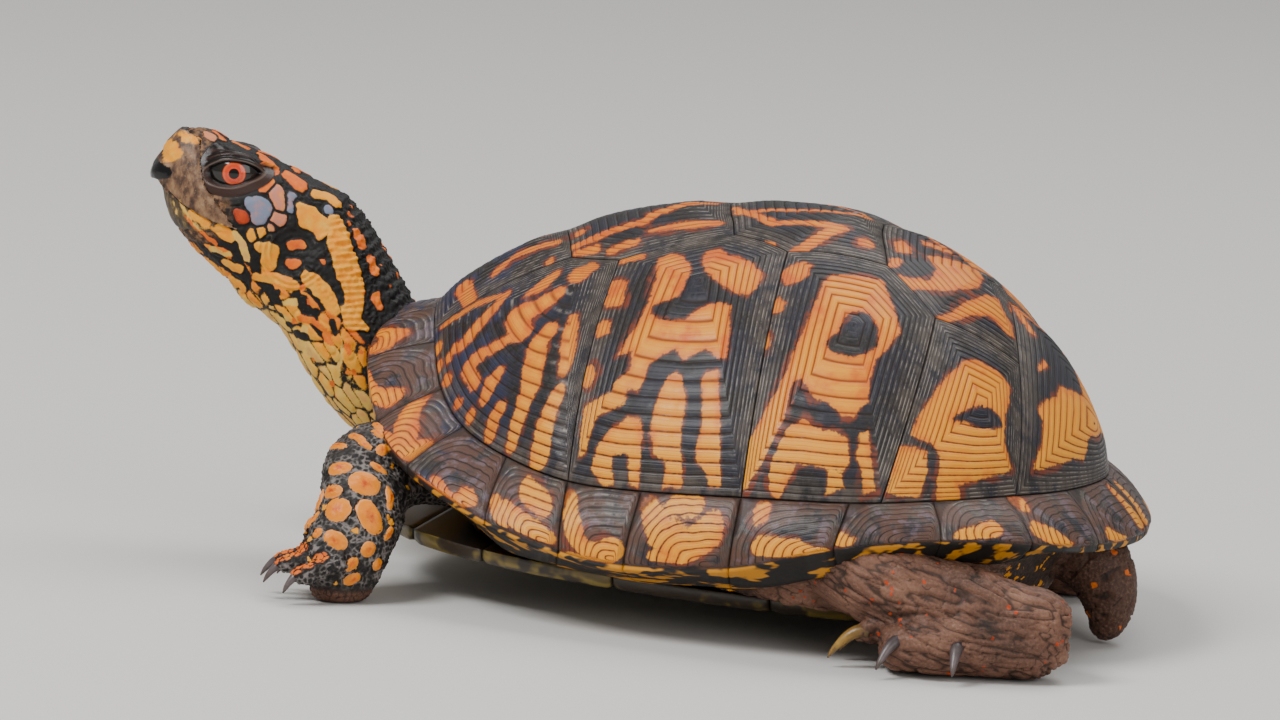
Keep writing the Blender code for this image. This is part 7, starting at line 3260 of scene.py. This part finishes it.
    def beak(self) -> None:
        """Upper and lower beak, cut from grown copies of the head's own form."""
        tan = ((0.3, "#241710"), (0.42, "#4A3224"), (0.52, "#74543A"), (0.62, "#8E6E4E"), (0.72, "#644A38"))
        olive = ((0.3, "#140E08"), (0.45, "#2E2012"), (0.58, "#54401E"), (0.7, "#8A6E34"))
        for name, grow, stops in (("upper_beak", 0.3, tan), ("lower_beak", 0.0, olive)):
            obj = self.head.loft(grow, 120, 128).to_object(f"{name}_horn", self.placement)
            rows = self.head.zones()[name]
            count = len(rows)
            ends = [np.column_stack([rows[:, 0], np.full(count, end), rows[:, 1]]) for end in (-16.0, 16.0)]
            caps = [np.arange(count)[None], np.arange(count, 2 * count)[::-1][None]]
            points = self.head.to_standing(np.vstack(ends))
            cutter = Mesh(
                points, [ring_grid(2, count), *caps]
            ).outward().to_object(f"{name}_zone", self.placement)
            boolean = obj.modifiers.new("Zone", "BOOLEAN")
            boolean.operation = "INTERSECT"
            boolean.solver = "EXACT"
            boolean.object = cutter
            apply_modifiers(obj)
            bpy.data.objects.remove(cutter, do_unlink=True)
            upper = name == "upper_beak"
            self.weathered(obj, self.head.upper_roof if upper else self.head.lower_floor, upper)
            self.settle(
                obj, Slot.BEAK, BeakHorn(f"{name.replace('_', ' ')} horn", stops=stops).material(), [name]
            )

    def eyes(self) -> None:
        """Both eyes."""
        material = WetEye().material()
        for side in Side:
            centre = np.array([0.0, -side.value * self.head.eye_offset, self.head.eye_drop])
            axis = unit(np.array([-0.02, -side.value * 0.99, 0.035]))
            turns = np.linspace(0, math.pi, 49)
            around = circle(64)
            helper = unit(np.cross(axis, np.array([1.0, 0.0, 0.0])))
            third = np.cross(axis, helper)
            ring = np.cos(around)[:, None] * helper + np.sin(around)[:, None] * third
            radial = np.sin(turns[1:-1])[:, None, None] * ring + np.cos(turns[1:-1])[:, None, None] * axis
            turned = radial.reshape(-1, 3)
            reach = self.head.eye_radius - self.head.brow_dip(turned, turned[:, 1] * -side.value)
            offsets = self.head.even(turned * reach[:, None], back=True)
            points = self.head.to_standing(centre + offsets)
            mesh = ring_stack(points.reshape(len(turns) - 2, len(around), 3))
            off = np.linalg.norm(offsets - np.outer(offsets @ axis, axis), axis=1) / self.head.eye_radius
            off = np.where(offsets @ axis < 0, 1.0, off)
            mesh.marks = {"off_axis": np.concatenate([off, [0.0, 1.0]])}
            self.settle(
                mesh.to_object(f"eyeball_{side.word}", self.placement), Slot.EYES, material,
                [f"eye_{side.word}"],
            )

    def nails(self) -> None:
        """The claws."""
        dark = ((0.0, "#1E1715"), (0.35, "#382E30"), (0.8, "#5C5050"), (1.0, "#463A32"))
        honey = ((0.0, "#3A2A18"), (0.4, "#7A5A24"), (0.75, "#A07A34"), (1.0, "#3C2C22"))
        grey = ClawHorn("claw horn", stops=dark).material()
        amber = ClawHorn("amber claw horn", stops=honey).material()
        for claw in claws():
            material = amber if claw.name.startswith("hindleg") and claw.name.endswith(("_1", "_2")) else grey
            self.settle(
                claw.mesh().to_object(f"{claw.name}_horn", self.placement), Slot.CLAWS, material, [claw.name]
            )


@dataclass(frozen=True)
class Studio:
    """Plain pale floor, soft lights and the camera."""

    azimuth: float = 12.41
    elevation: float = 8.36
    roll: float = 4.284
    distance: float = 1800.0
    target: tuple[float, float, float] = (18.124, 0.0, 16.9)
    off_centre: tuple[float, float] = (100.0 / 5.76, 145.0 / 5.76)
    lens: float = 291.6

    def floor(self) -> None:
        """The floor."""
        bpy.ops.mesh.primitive_plane_add(size=6.0)
        plane = bpy.context.active_object
        plane.name = "floor"
        plane.data.materials.append(MattFloor().material())

    def camera(self) -> None:
        """The camera, aimed so that the animal sits where it should in the frame."""
        a, e, r = (math.radians(value) for value in (self.azimuth, self.elevation, self.roll))
        right = np.array([math.cos(a), math.sin(a), 0.0])
        up = np.array([-math.sin(a) * math.sin(e), math.cos(a) * math.sin(e), math.cos(e)])
        back = np.cross(right, up)
        right, up = right * math.cos(r) + up * math.sin(r), up * math.cos(r) - right * math.sin(r)
        place = np.array(self.target) - right * self.off_centre[0] + up * self.off_centre[1]
        place = (place + back * self.distance) * MM
        data = bpy.data.cameras.new("camera")
        data.lens = self.lens
        data.sensor_width = 36.0
        data.clip_start = 0.05
        data.clip_end = 20.0
        obj = bpy.data.objects.new("camera", data)
        bpy.context.scene.collection.objects.link(obj)
        turn = Matrix(np.column_stack([right, up, back]).tolist()).to_4x4()
        obj.matrix_world = Matrix.Translation(Vector(place)) @ turn
        bpy.context.scene.camera = obj

    def light(self, name: str, place: tuple[float, float, float], size: float, power: float) -> None:
        """One soft square lamp aimed at the animal.

        Args:
            name: What it is called.
            place: Where it hangs, in metres.
            size: The length of its sides, in metres.
            power: Its power in watts.
        """
        data = bpy.data.lights.new(name, "AREA")
        data.size = size
        data.energy = power
        obj = bpy.data.objects.new(name, data)
        obj.location = place
        obj.rotation_euler = (Vector((0.0, 0.0, 0.04)) - Vector(place)).to_track_quat("-Z", "Y").to_euler()
        bpy.context.scene.collection.objects.link(obj)

    def build(self) -> None:
        """Floor, camera, lights and the pale room light."""
        self.floor()
        self.camera()
        self.light("key", (-0.5, -0.7, 1.0), 0.5, 15.5)
        self.light("fill", (0.9, -0.9, 0.6), 0.9, 6.5)
        self.light("top", (0.2, 0.5, 1.1), 0.8, 8.5)
        world = bpy.data.worlds.new("room")
        world.use_nodes = True
        world.node_tree.nodes["Background"].inputs["Color"].default_value = linear("#F2F2F0")
        world.node_tree.nodes["Background"].inputs["Strength"].default_value = 0.43
        bpy.context.scene.world = world


def main() -> None:
    """Builds the turtle and its studio; each piece's point count is logged as it is placed."""
    logging.basicConfig(level=logging.INFO, format="%(message)s")
    turtle = Turtle()
    turtle.carapace()
    turtle.margin()
    turtle.belly()
    turtle.flesh()
    turtle.beak()
    turtle.eyes()
    turtle.nails()
    Studio().build()


if __name__ == "__main__":
    main()
